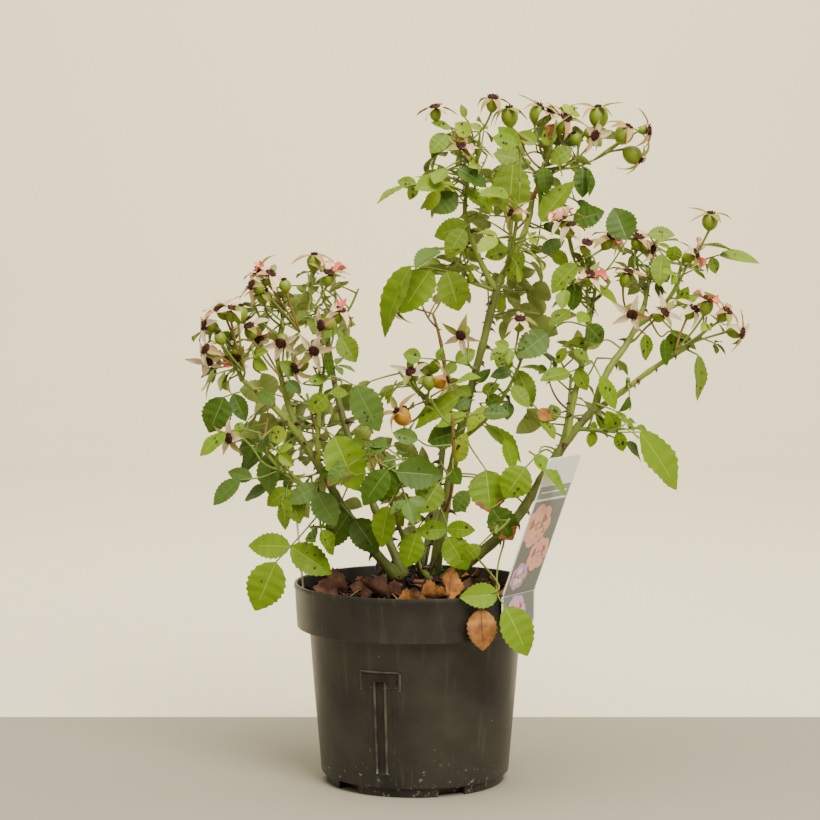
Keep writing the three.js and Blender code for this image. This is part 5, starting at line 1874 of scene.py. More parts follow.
    SeenLeaf(tone=Paint.BRIGHT, width=13, stalk=((530, 452), (534, 455)), tips=((552, 473),)),
    SeenLeaf(tone=Paint.DEEP, width=9, stalk=((318, 352), (325, 352)), tips=((333, 377),)),
    SeenLeaf(tone=Paint.MID, width=14, stalk=((300, 372), (297, 375)), tips=((280, 361),)),
    SeenLeaf(tone=Paint.MID, width=11, stalk=((304, 384), (308, 381)), tips=((329, 377),)),
    SeenLeaf(tone=Paint.DEEP, width=11, stalk=((284, 384), (287, 381)), tips=((301, 393),)),
    SeenLeaf(tone=Paint.BLUISH, width=14, stalk=((274, 405), (275, 402)), tips=((256, 392),)),
    SeenLeaf(tone=Paint.MID, width=9, stalk=((458, 136), (451, 129)), tips=((432, 119),)),
    SeenLeaf(tone=Paint.MID, width=15, stalk=((320, 518), (321, 530)), tips=((337, 555),)),
)


@dataclass(frozen=True)
class Sky:
    """A place where the photograph shows the backdrop or bare wood in the crown, as an ellipse in pixels.

    Attributes:
        column: pixel column of its middle.
        row: pixel row of it.
        half_width: half its width in pixels.
        half_height: half its height in pixels.
    """

    column: float
    row: float
    half_width: float
    half_height: float


SKIES = (
    Sky(column=372, row=240, half_width=30, half_height=60),
    Sky(column=368, row=340, half_width=13, half_height=42),
    Sky(column=395, row=335, half_width=22, half_height=22),
    Sky(column=430, row=325, half_width=24, half_height=20),
    Sky(column=376, row=372, half_width=18, half_height=14),
    Sky(column=670, row=185, half_width=60, half_height=38),
    Sky(column=735, row=285, half_width=26, half_height=14),
    Sky(column=740, row=400, half_width=60, half_height=50),
    Sky(column=665, row=390, half_width=34, half_height=30),
    Sky(column=715, row=460, half_width=45, half_height=70),
    Sky(column=560, row=415, half_width=14, half_height=34),
    Sky(column=592, row=470, half_width=18, half_height=30),
    Sky(column=620, row=500, half_width=40, half_height=40),
    Sky(column=600, row=365, half_width=12, half_height=18),
    Sky(column=560, row=395, half_width=20, half_height=14),
    Sky(column=480, row=470, half_width=10, half_height=22),
    Sky(column=238, row=535, half_width=26, half_height=22),
    Sky(column=225, row=520, half_width=22, half_height=12),
    Sky(column=345, row=300, half_width=9, half_height=9),
    Sky(column=560, row=520, half_width=30, half_height=50),
    Sky(column=390, row=150, half_width=36, half_height=26),
    Sky(column=395, row=225, half_width=38, half_height=22),
    Sky(column=535, row=205, half_width=8, half_height=18),
    Sky(column=545, row=160, half_width=12, half_height=9),
    Sky(column=640, row=345, half_width=12, half_height=10),
    Sky(column=640, row=200, half_width=18, half_height=20),
    Sky(column=500, row=560, half_width=14, half_height=20),
    Sky(column=366, row=560, half_width=12, half_height=12),
    Sky(column=437, row=345, half_width=16, half_height=16),
    Sky(column=488, row=450, half_width=14, half_height=18),
    Sky(column=464, row=478, half_width=8, half_height=14),
    Sky(column=480, row=530, half_width=8, half_height=19),
    Sky(column=490, row=562, half_width=18, half_height=11),
    Sky(column=519, row=518, half_width=8, half_height=14),
    Sky(column=527, row=497, half_width=9, half_height=16),
    Sky(column=428, row=546, half_width=8, half_height=12),
    Sky(column=345, row=556, half_width=9, half_height=12),
    Sky(column=362, row=562, half_width=12, half_height=8),
    Sky(column=438, row=458, half_width=12, half_height=6),
    Sky(column=541, row=440, half_width=13, half_height=12),
    Sky(column=446, row=505, half_width=7, half_height=22),
    Sky(column=612, row=174, half_width=24, half_height=14),
    Sky(column=456, row=582, half_width=22, half_height=10),
    Sky(column=514, row=262, half_width=12, half_height=9),
    Sky(column=289, row=260, half_width=14, half_height=12),
    Sky(column=236, row=284, half_width=14, half_height=12),
)


@dataclass
class Blade:
    """A leaflet that the photograph shows, placed.

    Attributes:
        mass: index of the mass that it belongs to.
        base: where it starts.
        axis: the way to its tip.
        normal: the way its upper face looks.
        length: from base to tip.
        width: its greatest width.
        tone: its finish.
        scorched: True if its tip is withered.
    """

    mass: int
    base: np.ndarray
    axis: np.ndarray
    normal: np.ndarray
    length: float
    width: float
    tone: Finish
    scorched: bool


class SeenGrowth:
    """The hips and leaves that the photograph shows one by one, each on a stalk from the nearest wood."""

    WIDTH_SHARE = 0.64  # true width of a leaflet as a share of its length
    SIDE_PLACES = (0.72, 0.72, 0.4, 0.4)  # where side leaflets sit on their stalk
    POT_TOP = 172.0  # below this, growth keeps POT_CLEAR away from the pot's axis
    POT_CLEAR = 108.0
    POT_FRONT = 30.0  # how far in front of the axis it is brought at least
    TRUSS_DEPTHS = (-80, 60)
    LEAF_DEPTHS = (-85, 45)
    SHOWN = 1.1  # a blade narrows at both ends, and shows this much less wide than it is
    HIP_ROOM = 13.0  # pixels round a hip that the rule's leaves leave open in front of it
    RULE_ROOM = 46.0  # pixels round a hip where the rule grows no other

    def __init__(self, bush: Bush) -> None:
        """Places all of them.

        Args:
            bush: the plant whose wood they hang on.
        """
        self.rng = np.random.default_rng(2026)
        stems = [(plan.mass.index, smooth_path(plan.stems[0][0], 5)) for plan in bush.plans]
        self.stem_points = np.vstack([path for _, path in stems])
        self.stem_masses = np.concatenate([np.full(len(path), index) for index, path in stems])
        limbs = [smooth_path(limb.points, 6) for limb in bush.limbs.values()]
        self.wood = np.vstack([self.stem_points] + limbs)
        self.wood_places = Picture.place(self.wood)
        self.stem_places = Picture.place(self.stem_points)
        self.hips: list[tuple[int, Hip, HipKind]] = []
        self.blades: list[Blade] = []
        self.twigs: list[tuple[int, np.ndarray, float]] = []
        for truss in SEEN_TRUSSES:
            self.add_truss(truss)
        for leaf in SEEN_LEAVES:
            self.add_leaf(leaf)
        self.hip_centres = np.array([hip.centre for _, hip, _ in self.hips])
        self.hip_places = Picture.place(self.hip_centres)
        self.blade_marks = np.array([blade.base + blade.axis * blade.length * share
                                     for blade in self.blades for share in (0.15, 0.5, 0.85)])
        self.blade_places = Picture.place(self.blade_marks)

    def nearest(self, column: float, row: float) -> tuple[int, float]:
        """The mass whose stem shows nearest to a place in the picture, and that stem's depth there.

        Args:
            column: the place's pixel column.
            row: its pixel row.

        Returns:
            The mass's index, and the depth.
        """
        gaps = np.hypot(*(self.stem_places - (column, row)).T) + np.maximum(self.stem_points[:, 1], 0) * 0.5
        best = int(gaps.argmin())
        return int(self.stem_masses[best]), float(self.stem_points[best, 1])

    def rooted(self, end: np.ndarray, rise: float) -> np.ndarray:
        """Two points of a bowed twig that comes to a point from the nearest wood, lower than it by rise.

        Args:
            end: the point.
            rise: how much lower the wood has to be.

        Returns:
            Where it leaves the wood, and its middle.
        """
        low = self.wood[self.wood[:, 2] < end[2] - rise]
        start = low[np.linalg.norm(low - end, axis=1).argmin()]
        across = end - start
        middle = start + across * 0.5 + vec(across[0], across[1], 0) * 0.1 - UP * 0.05 * np.linalg.norm(across)
        return np.array([start, middle])

    def outside_pot(self, column: float, row: float, depth: float) -> np.ndarray:
        """The point at a depth that shows at a place, brought forward if the pot is there.

        Args:
            column: the place's pixel column.
            row: its pixel row.
            depth: the depth.

        Returns:
            The point.
        """
        point = Picture.point(column, row, depth)
        if point[2] < self.POT_TOP and hypot(point[0], point[1]) < self.POT_CLEAR:
            depth = -sqrt(max(self.POT_CLEAR**2 - point[0] ** 2, self.POT_FRONT**2))
            point = Picture.point(column, row, depth)
        return point

    def add_truss(self, truss: SeenTruss) -> None:
        """Adds the hips of a truss and the twig that carries it.

        Args:
            truss: the truss.
        """
        mass, depth = self.nearest(truss.column, truss.row)
        depth = float(np.clip(depth - 6, *self.TRUSS_DEPTHS))
        fork = Picture.point(truss.column, truss.row, depth)
        self.twigs.append((mass, np.vstack([self.rooted(fork, 6), fork]), 1.25))
        for hip in truss.hips:
            flat = sqrt(1 - hip.toward**2)
            turn = radians(hip.turn)
            facing = unit(vec(flat * cos(turn), -hip.toward, flat * sin(turn)))
            radius = hip.radius or self.rng.uniform(5.0, 6.0)
            disc = Picture.point(hip.column, hip.row, depth + self.rng.uniform(-14, 10) - 4)
            self.hips.append((mass, Hip(fork, disc - facing * radius * 0.97, facing, radius), hip.kind))

    def add_leaf(self, seen: SeenLeaf) -> None:
        """Adds a leaf: its stalk from the nearest wood, its end leaflet and its side leaflets.

        Args:
            seen: the leaf.
        """
        mass, _ = self.nearest(*seen.stalk[0])
        gaps = np.hypot(*(self.wood_places - seen.stalk[0]).T) + np.maximum(self.wood[:, 1], 0) * 0.4
        root = self.wood[gaps.argmin()]
        depth = float(np.clip(root[1], *self.LEAF_DEPTHS))
        swing = self.rng.uniform(8, 18) + seen.ahead
        count = len(seen.stalk) - 1
        stalk = np.array([self.outside_pot(*spot, depth - swing * i / count)
                          for i, spot in enumerate(seen.stalk)])
        away = np.linalg.norm(stalk[0] - root) > 3
        self.twigs.append((mass, np.vstack([root, stalk]) if away else stalk, 0.8))
        for i, (column, row) in enumerate(seen.tips):
            base = stalk[-1] if i == 0 else path_point(stalk, self.SIDE_PLACES[i - 1])
            tip = self.outside_pot(column, row, base[1] - self.rng.uniform(-5, 9))
            length = float(np.linalg.norm(tip - base))
            axis = (tip - base) / length
            width = self.WIDTH_SHARE * length * self.rng.uniform(0.92, 1.08)
            shown = 1.0
            if i == 0:
                pixels = np.hypot(*(Picture.place(tip) - Picture.place(base)))
                shown = self.SHOWN * seen.width * length / (width * pixels)
            width *= max(1.0, shown)
            face = square_to(axis, vec(0, -1, 0.25))
            side = np.cross(axis, face)
            turn = acos(min(1.0, shown)) * (1 if side[2] > 0 else -1)
            normal = unit(around(face, side, turn))
            scorched = seen.scorched and i == 0
            self.blades.append(Blade(mass, base, axis, normal, length, width, seen.tone, scorched))

    def near_hip(self, hip: Hip) -> bool:
        """True if a hip of the rule would stand in front, or shows close to one that is already here.

        Args:
            hip: the rule's hip.

        Returns:
            True or False.
        """
        gaps = np.hypot(*(self.hip_places - Picture.place(hip.centre)).T)
        return bool(hip.centre[1] < 20 or (gaps < self.RULE_ROOM).any())

    def covered(self, base: np.ndarray, reach: np.ndarray) -> bool:
        """True if a leaflet of the rule would hide a hip or leaf that the photograph shows, or its sky.

        Args:
            base: where the leaflet starts.
            reach: from there to its tip.

        Returns:
            True or False.
        """
        middle, size = base + reach * 0.55, float(np.linalg.norm(reach))
        if any(under_sky(Picture.place(base + reach * share)) for share in (0.3, 0.6, 0.95)):
            return True
        place = Picture.place(middle)
        before_hips = (np.hypot(*(self.hip_places - place).T) < self.HIP_ROOM + size * 0.3) & (
            self.hip_centres[:, 1] > middle[1] - 6)
        before_blades = (np.hypot(*(self.blade_places - place).T) < 3 + size * 0.36) & (
            self.blade_marks[:, 1] > middle[1] - 8)
        return bool(before_hips.any() or before_blades.any())


def under_sky(place: np.ndarray) -> bool:
    """True if the photograph has the backdrop at a pixel column and row.

    Args:
        place: the column and row.

    Returns:
        True or False.
    """
    column, row = place
    return any(((column - sky.column) / sky.half_width) ** 2 + ((row - sky.row) / sky.half_height) ** 2 < 1
               for sky in SKIES)


# Foliage


@dataclass
class Foliage:
    """The leaves, twigs and hips of one region of the crown.

    Attributes:
        region: the region.
        plans: what the rule grows; only the region's own masses are kept.
        seen: what the photograph shows one by one.
        stalk: share of a leaf's length where its end leaflet starts.
        end: length of that leaflet, as a share of the leaf's.
        prickle: length of the prickles on stems.
        stamens: how many withered stamens show on a hip.
        sepal: width of a sepal that is spread, and of one that is turned back.
        leaflets, leaves, twigs, hips: what is gathered for the meshes.
        rng: the region's seeded numbers.
    """

    region: Region
    plans: list[Plan]
    seen: SeenGrowth
    stalk: float = 0.56
    end: float = 0.46
    prickle: float = 3.2
    stamens: int = 44
    sepal: tuple[float, float] = (6.4, 5.6)
    leaflets: Blades = field(default_factory=Blades)
    leaves: Mesher = field(default_factory=Mesher)
    twigs: Mesher = field(default_factory=Mesher)
    hips: Mesher = field(default_factory=Mesher)
    rng: np.random.Generator = field(init=False)

    # Radius and height of a hip's body as shares of its radius, and those of the disc on it in millimetres.
    BODY: ClassVar[np.ndarray] = np.array([
        (0.02, -1.2), (0.2, -1.18), (0.42, -1.02), (0.72, -0.74), (0.93, -0.35), (1.0, 0.05), (0.94, 0.45),
        (0.74, 0.76), (0.56, 0.9), (0.54, 1.0), (0.44, 1.02), (0.3, 0.95), (0.02, 0.93)])
    DISC: ClassVar[np.ndarray] = np.array([(4.4, -0.8), (4.7, 0.4), (4.2, 1.3), (2.7, 1.9), (0.05, 2.1)])
    # Pairs of side leaflets: their place and length as shares of the leaf's length, and their spread in degrees.
    THREE: ClassVar[tuple[tuple[float, float, float], ...]] = ((0.50, 0.36, 62),)
    FIVE: ClassVar[tuple[tuple[float, float, float], ...]] = ((0.51, 0.37, 60), (0.27, 0.29, 70))

    def __post_init__(self) -> None:
        """Keeps the region's own masses and seeds its numbers."""
        self.plans = [plan for plan in self.plans if plan.mass.spec.region is self.region]
        self.rng = np.random.default_rng(700 + list(Region).index(self.region))

    def build(self) -> None:
        """Builds and dresses the region's three objects."""
        for plan in self.plans:
            carried = [leaf.base for leaf in plan.leaves if self.add_leaf(plan, leaf)]
            for hip in plan.hips:
                if not self.seen.near_hip(hip):
                    kind = self.rng.choice([HipKind.STAR, HipKind.STAR, HipKind.BALL, HipKind.PETAL])
                    self.add_hip(hip, kind)
                    carried.append(hip.start)
            self.add_stems(plan, carried)
        self.add_seen({plan.mass.index for plan in self.plans})
        self.leaflets.mesh(self.leaves)
        names = [plan.mass.spec.name for plan in self.plans]
        for kind, mesher in (("leaves", self.leaves), ("twigs", self.twigs), ("hips", self.hips)):
            if mesher.count:
                finish_piece(mesher, f"{kind}_{self.region.value}", names, "foliage")

    def add_seen(self, own: set[int]) -> None:
        """Adds what the photograph shows one by one on the region's masses.

        Args:
            own: indexes of the region's masses.
        """
        for mass, points, thick in self.seen.twigs:
            if mass in own:
                path = smooth_path(points, 5)
                self.twigs.add(*tube(path, np.linspace(thick * 1.2, thick * 0.8, len(path)), 6), Paint.TWIG)
        for mass, hip, kind in self.seen.hips:
            if mass in own:
                self.add_hip(hip, kind)
        for blade in self.seen.blades:
            if blade.mass in own:
                self.add_blade(blade)

    def add_blade(self, blade: Blade) -> None:
        """Adds a leaflet that the photograph shows.

        Args:
            blade: the leaflet.
        """
        rng = self.rng
        dead = blade.tone is Paint.DRY
        under = Paint.DRY_DARK if dead else Paint.UNDER
        bend, fold = rng.uniform(0.1, 0.4), rng.uniform(0.05, 0.2)
        wave = 0.25 if dead else rng.uniform(0.0, 0.1)
        self.leaflets.add(blade.base, blade.axis, blade.normal, blade.length, blade.width, blade.tone, under,
                          self.vein(blade.tone), bend=bend, fold=fold, wave=wave,
                          twist=rng.normal() * 0.1, cup=rng.uniform(-0.1, 0.1),
                          scorch=(0.7, Paint.SCORCH) if blade.scorched else None)
        if not dead and rng.random() < 0.6:
            self.add_spots(blade.base, blade.axis, blade.normal, blade.length, blade.width, bend, fold)

    @staticmethod
    def vein(top: Finish) -> Finish:
        """The finish of the midrib of a leaf.

        Args:
            top: finish of its upper face.

        Returns:
            The finish.
        """
        if top is Paint.DRY:
            return Paint.DRY_DARK
        return Paint.VEIN_DEEP if top in (Paint.DEEP, Paint.BLUISH) else Paint.VEIN

    def add_stems(self, plan: Plan, carried: list[np.ndarray]) -> None:
        """Adds the mass's stem and shoots, as far as each carries something, with small prickles.

        Args:
            plan: the mass's growth.
            carried: the points where leaves and hips start.
        """
        carried = carried + [points[0] for _, points, _ in self.seen.twigs]
        for points, (thick, thin) in reversed(plan.stems):
            path = smooth_path(points, 4)
            radii = np.linspace(thick, thin, len(path)) * (1 + 0.14 * (ripple(path, 9, 5) > 0.35))
            step = np.linalg.norm(path[1] - path[0])
            gaps = np.linalg.norm(path[:, None] - np.array(carried)[None], axis=-1).min(axis=1)
            last = int(np.flatnonzero(gaps < 3 + step / 2).max(initial=0))
            if last < 3:
                continue
            carried.append(path[0].copy())
            path, radii = path[: last + 1], radii[: last + 1]
            path[0] -= path_way(path, 0) * 1.2
            self.twigs.add(*tube(path, radii, 7), Paint.TWIG_RED if self.rng.random() < 0.1 else Paint.TWIG)
            for _ in range(int(len(path) * thick / 7)):
                place = int(self.rng.integers(1, len(path) - 1))
                way = unit(path[place + 1] - path[place])
                add_prickle(self.twigs, path[place], way, radii[place], self.prickle, self.rng)

    def top_finish(self, plan: Plan, leaf: Leaf) -> Finish:
        """The finish of a leaf's upper face, dealt out by spray and height.

        Args:
            plan: the mass's growth.
            leaf: the leaf.

        Returns:
            The finish.
        """
        spray = Stream(plan.mass.spec.seed * 71 + leaf.spray * 13 + 5)()
        light = (leaf.base[2] - 200) / 370 + self.rng.normal() * 0.22 + (spray - 0.5) * 0.8
        order = (Paint.DEEP, Paint.BLUISH, Paint.DEEP, Paint.MID, Paint.MID, Paint.BRIGHT, Paint.MID, Paint.FRESH)
        return order[int(np.clip(light * len(order), 0, len(order) - 1))]

    def add_leaf(self, plan: Plan, leaf: Leaf) -> bool:
        """Adds one compound leaf: its stalk, its side leaflets in pairs and its end leaflet.

        Args:
            plan: the mass's growth.
            leaf: where the leaf is.

        Returns:
            True if it is there, False if it would hide what the photograph shows.
        """
        rng = self.rng
        side = np.cross(leaf.axis, leaf.normal)
        arch = 0.04 * leaf.length

        def on_stalk(share: float) -> np.ndarray:
            """The point of the arched stalk at a share of the leaf's length."""
            return leaf.base + leaf.axis * leaf.length * share + leaf.normal * arch * sin(pi * share)

        top = self.top_finish(plan, leaf)
        if self.seen.covered(on_stalk(self.stalk), leaf.axis * leaf.length * self.end):
            return False
        path = np.array([on_stalk(share) for share in np.linspace(0, self.stalk, 6)])
        self.twigs.add(*tube(path, np.linspace(0.95, 0.6, 6), 5), Paint.TWIG)
        scorched = (rng.uniform(0.7, 0.85), Paint.SCORCH) if rng.random() < 0.05 else None
        self.add_leaflet(on_stalk(self.stalk), leaf.axis, leaf.normal, self.end * leaf.length, top, scorched)
        pairs = self.THREE if leaf.length < 50 or rng.random() < 0.25 else self.FIVE
        for share, size, spread in pairs:
            for hand in (-1, 1):
                if rng.random() < 0.06:
                    continue
                turn = radians(spread + rng.normal() * 7)
                axis = unit(leaf.axis * cos(turn) + side * hand * sin(turn)
                            + leaf.normal * (leaf.fold + rng.normal() * 0.14))
                normal = square_to(axis, leaf.normal + side * hand * -0.15)
                start = on_stalk(share) + axis * 1.2
                length = size * leaf.length * rng.uniform(0.9, 1.1)
                self.add_leaflet(start, axis, normal, length, top)
        return True

    def add_leaflet(self, base: np.ndarray, axis: np.ndarray, normal: np.ndarray, length: float, top: Finish,
                    scorch: tuple[float, Finish] | None = None) -> None:
        """Adds one leaflet with its own bend and fold, and now and then dark spots.

        Args:
            base: where it starts.
            axis: the way to its tip.
            normal: the way its upper face looks.
            length: from base to tip.
            top: finish of its upper face.
            scorch: from which share of its length the edge is withered, and the finish of that.
        """
        rng = self.rng
        if self.seen.covered(base, axis * length):
            return
        roll = rng.normal() * 0.22
        across = np.cross(axis, normal)
        normal = unit(around(normal, across, roll))
        dip = 0.12 + abs(rng.normal()) * 0.12
        axis, normal = axis * cos(dip) - normal * sin(dip), around(normal, axis, dip)
        width = length * rng.uniform(0.58, 0.7)
        bend, fold = rng.uniform(0.1, 0.75), rng.uniform(0.04, 0.34)
        self.leaflets.add(base, axis, normal, length, width, top, Paint.UNDER, self.vein(top), bend=bend,
                          fold=fold, wave=rng.uniform(0.0, 0.12), twist=rng.normal() * 0.16,
                          cup=rng.uniform(-0.12, 0.12), scorch=scorch)
        if rng.random() < 0.2:
            self.add_spots(base, axis, normal, length, width, bend, fold)

    def add_spots(self, base: np.ndarray, axis: np.ndarray, normal: np.ndarray, length: float, width: float,
                  bend: float, fold: float) -> None:
        """Adds a few small dark spots to the upper face of a leaflet.

        Args:
            base: where the leaflet starts.
            axis: the way to its tip.
            normal: the way its upper face looks.
            length: from base to tip.
            width: its greatest width.
            bend: how far it bends down, in radians.
            fold: how far its halves rise, as a share of the half width.
        """
        rng = self.rng
        side = np.cross(axis, normal)
        for _ in range(rng.integers(1, 6)):
            u, v = rng.uniform(0.3, 0.75), rng.uniform(0.15, 0.45) * rng.choice((-1, 1))
            angle = bend * u
            ahead, down = length * sin(angle) / bend, length * (1 - cos(angle)) / bend
            lift = width / 2 * fold * abs(v) + 0.7
            centre = (base + axis * (ahead + lift * sin(angle)) + side * v * width / 2
                      + normal * (lift * cos(angle) - down))
            face = normal * cos(angle) + axis * sin(angle) - side * np.sign(v) * fold
            add_disc(self.leaves, centre, unit(face), rng.uniform(0.4, 1.3), Paint.SPOT)

    def add_hip(self, hip: Hip, kind: HipKind) -> None:
        """Adds a hip: stalk, body, the disc with its withered stamens, and five sepals.

        Args:
            hip: where it is.
            kind: how it looks.
        """
        rng = self.rng
        radius, axis = hip.radius * 0.94, hip.axis
        foot = hip.centre - axis * radius * 1.15
        middle = (hip.start + foot) / 2 + unit(hip.centre - hip.start) * 2 - axis * 3
        stalk = smooth_path(np.array([hip.start, middle, foot]), 4)
        finish = Paint.TWIG_RED if rng.random() < 0.2 else Paint.TWIG
        self.twigs.add(*tube(stalk, np.linspace(0.85, 1.15, len(stalk)), 6), finish)
        plump = kind in (HipKind.BALL, HipKind.RIPE, HipKind.BARE)
        tall = rng.uniform(0.95, 1.1) if plump else rng.uniform(1.0, 1.2)
        body = self.BODY * radius * np.array([1.0, tall])
        self.hips.add(*turned(body, 14, hip.centre, axis), Paint.HIP_RIPE if kind is HipKind.RIPE else Paint.HIP)
        crown = hip.centre + axis * radius * tall * 0.97
        across = square_to(axis, vec(0.15, 1, 0.3))
        over = np.cross(axis, across)
        facing = -axis[1]
        if plump:
            rise, droop = rng.uniform(-0.15, 0.45), 0.95
        elif facing > 0.55:
            rise, droop = rng.uniform(0.05, 0.4), 0.35
        else:
            rise, droop = rng.uniform(-0.45, 0.3), 0.9
        if kind is not HipKind.BARE:
            self.add_sepals(crown, axis, across, over, rise, droop, plump)
        wide = 0.3 if kind is HipKind.BARE else 0.62 if plump else 1.0
        self.hips.add(*turned(self.DISC * wide, 14, crown, axis), Paint.STAMEN)
        for _ in range(self.stamens):
            turn, spread = rng.uniform(0, 6.28), sqrt(rng.random())
            out = around(across, over, turn)
            way = unit(axis + out * spread * 1.2)
            start = crown + (out * 4.0 * spread + axis * (1.7 - 1.2 * spread)) * wide
            path = np.array([start, start + way * 0.9, start + way * rng.uniform(1.2, 2.1)])
            self.hips.add(*tube(path, np.array([0.4, 0.36, 0.42]), 3), Paint.STAMEN)
        count = {HipKind.PETAL: 2, HipKind.BLOOM: 9}.get(kind, 0)
        for i in range(count):
            self.add_petal(crown, axis, across, over, Paint.PETAL if i % 3 == 0 else Paint.PETAL_PALE, count > 2)

    def add_petal(self, crown: np.ndarray, axis: np.ndarray, across: np.ndarray, over: np.ndarray, finish: Finish,
                  upright: bool) -> None:
        """Adds one withered petal that still clings to a hip.

        Args:
            crown: middle of the hip's crown.
            axis: the way that it faces.
            across: a unit vector square to axis.
            over: another, square to both.
            finish: the petal's finish.
            upright: True if it stands up with others.
        """
        out = around(across, over, self.rng.uniform(0, 6.28))
        way = unit(out + axis * self.rng.uniform(0.8, 1.6) * (2.2 if upright else 1.0))
        petal = Blades(0.45, 0.5, 0.04)
        petal.add(crown + out * 3.2, way, square_to(way, -out), self.rng.uniform(9, 13), self.rng.uniform(6, 9),
                  finish, finish, finish, bend=1.2, fold=0.5, wave=0.4, cup=0.4)
        petal.mesh(self.hips)

    def add_sepals(self, crown: np.ndarray, axis: np.ndarray, across: np.ndarray, over: np.ndarray,
                   rise: float, droop: float, plump: bool) -> None:
        """Adds five narrow sepals round the crown of a hip, each with its own bend.

        Args:
            crown: middle of the crown.
            axis: the way that it faces.
            across: a unit vector square to axis.
            over: another, square to both.
            rise: how far they point along axis.
            droop: how far they bend back.
            plump: True for a hip whose sepals are turned back.
        """
        rng = self.rng
        sepals = Blades(0.32, 1.25, 0.0)
        finishes = (Paint.SEPAL_TAN, Paint.SEPAL_OUT) if plump else (
            Paint.SEPAL, Paint.SEPAL, Paint.SEPAL, Paint.SEPAL_TAN, Paint.SEPAL_OUT)
        for i in range(5):
            out = around(across, over, i * 2 * pi / 5 + rng.normal() * 0.12)
            way = unit(out + axis * (rise + rng.normal() * 0.22))
            length = rng.uniform(16, 22) if plump else rng.uniform(14, 18.5)
            inner = finishes[rng.integers(len(finishes))]
            sepals.add(crown + out * 3.0, way, square_to(way, axis), length, self.sepal[plump], inner,
                       Paint.SEPAL_OUT, Paint.SEPAL_TAN, bend=droop * rng.uniform(0.3, 1.4), fold=0.25,
                       wave=0.1, twist=rng.normal() * 0.5, scorch=(0.8, Paint.SCORCH))
        sepals.mesh(self.hips)


def add_disc(mesher: Mesher, centre: np.ndarray, face: np.ndarray, radius: float, finish: Finish) -> None:
    """Adds a small flat six-sided disc.

    Args:
        mesher: the mesh that gains it.
        centre: its middle.
        face: the way that it faces.
        radius: its radius.
        finish: its finish.
    """
    across = square_to(face, vec(0.3, 1, 0.2))
    over = np.cross(face, across)
    turns = np.linspace(0, 2 * pi, 6, endpoint=False)
    ring = centre + radius * (np.cos(turns)[:, None] * across + np.sin(turns)[:, None] * over)
    fan = np.array([[0, i + 1, (i + 1) % 6 + 1] for i in range(6)])
    mesher.add(np.vstack([centre, ring]), [fan], finish)


def add_prickle(mesher: Mesher, place: np.ndarray, way: np.ndarray, radius: float, size: float,
                rng: np.random.Generator) -> None:
    """Adds a prickle that hooks back down its stem.

    Args:
        mesher: the mesh that gains it.
        place: the point of the stem's axis where it sits.
        way: the way that the stem runs.
        radius: the stem's radius.
        size: length of the prickle.
        rng: seeded numbers.
    """
    across = square_to(way, vec(0, 1, 0.2))
    out = around(across, np.cross(way, across), rng.uniform(0, 6.28))
    start = place + out * radius * 0.7
    middle = start + out * size * 0.45 - way * size * 0.05
    path = np.array([start, middle, start + out * size - way * size * 0.42])
    mesher.add(*tube(path, np.array([size * 0.34, size * 0.17, 0.08]), 6), Paint.PRICKLE)


def finish_piece(mesher: Mesher, name: str, nodes: list[str], slot: str) -> None:
    """Builds a mesher's object and lays it over the CAD nodes that it stands for.

    Args:
        mesher: its mesh.
        name: its name.
        nodes: the nodes.
        slot: their material slot, which is not used.
    """
    made = mesher.build(name)
    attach(made, "root")
    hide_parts(*nodes)
    log.info("%s: %d triangles for %s", name, mesher.triangles(), ", ".join(nodes))


# Canes


@dataclass(frozen=True)
class Canes:
    """The canes and boughs, with their bark, knuckles and prickles.

    Attributes:
        limbs: the placed canes and boughs.
        spacing: from one prickle to the next.
        prickles: their length on boughs, and on canes.
        slim: the canes' thickness as a share of the CAD's plain rods.
        knuckle: from one knuckle to the next.
        sides: how many sides a limb has.
        rng: seeded numbers.
    """

    limbs: list[Limb]
    spacing: float = 12.0
    prickles: tuple[float, float] = (6.0, 7.4)
    slim: float = 0.8
    knuckle: float = 27.0
    sides: int = 14
    rng: np.random.Generator = field(default_factory=lambda: np.random.default_rng(41))

    def build(self) -> None:
        """Builds the canes as one object and the boughs as another."""
        for name, slot, chosen in (("canes", "cane_bark", [limb for limb in self.limbs if not limb.spec.parent]),
                                   ("boughs", "green_bark", [limb for limb in self.limbs if limb.spec.parent])):
            mesher = Mesher()
            for limb in chosen:
                self.add_limb(mesher, limb)
            finish_piece(mesher, name, [limb.spec.name for limb in chosen], slot)

    def add_limb(self, mesher: Mesher, limb: Limb) -> None:
        """Adds one limb: a knuckled rod with prickles.

        Args:
            mesher: the mesh that gains it.
            limb: the limb.
        """
        path = smooth_path(limb.points, 7)
        radii = np.interp(np.linspace(0, 1, len(path)), np.linspace(0, 1, len(limb.radii)), limb.radii)
        spaced = np.arange(len(path)) * limb.spec.length / (len(path) - 1)
        knuckle = np.exp(-(((spaced + 6) % self.knuckle - self.knuckle / 2) / 2.2) ** 2)
        slim = 1.0 if limb.spec.parent else self.slim
        radii = radii * slim * (1 + 0.13 * knuckle) * (1 + 0.05 * ripple(path, 17, 3))
        if not limb.spec.parent:
            path[0] -= path_way(path, 0) * 2
        points, faces = tube(path, radii, self.sides)
        bumps = ripple(points, 5, 8) * 0.14
        centres = np.repeat(path, self.sides, axis=0)
        points[:-2] += unit(points[:-2] - centres) * bumps[:-2, None]
        mesher.add(points, faces, Paint.CANE_GREEN if limb.spec.parent else Paint.CANE_OLD)
        size = self.prickles[not limb.spec.parent]
        for i in range(int(limb.spec.length / self.spacing)):
            place = int((i + self.rng.uniform(0.2, 0.9)) * self.spacing / limb.spec.length * (len(path) - 1))
            place = min(place, len(path) - 2)
            way = unit(path[place + 1] - path[place])
            add_prickle(mesher, path[place], way, radii[place], size * self.rng.uniform(0.7, 1.15), self.rng)


# Pot, compost and what lies on it


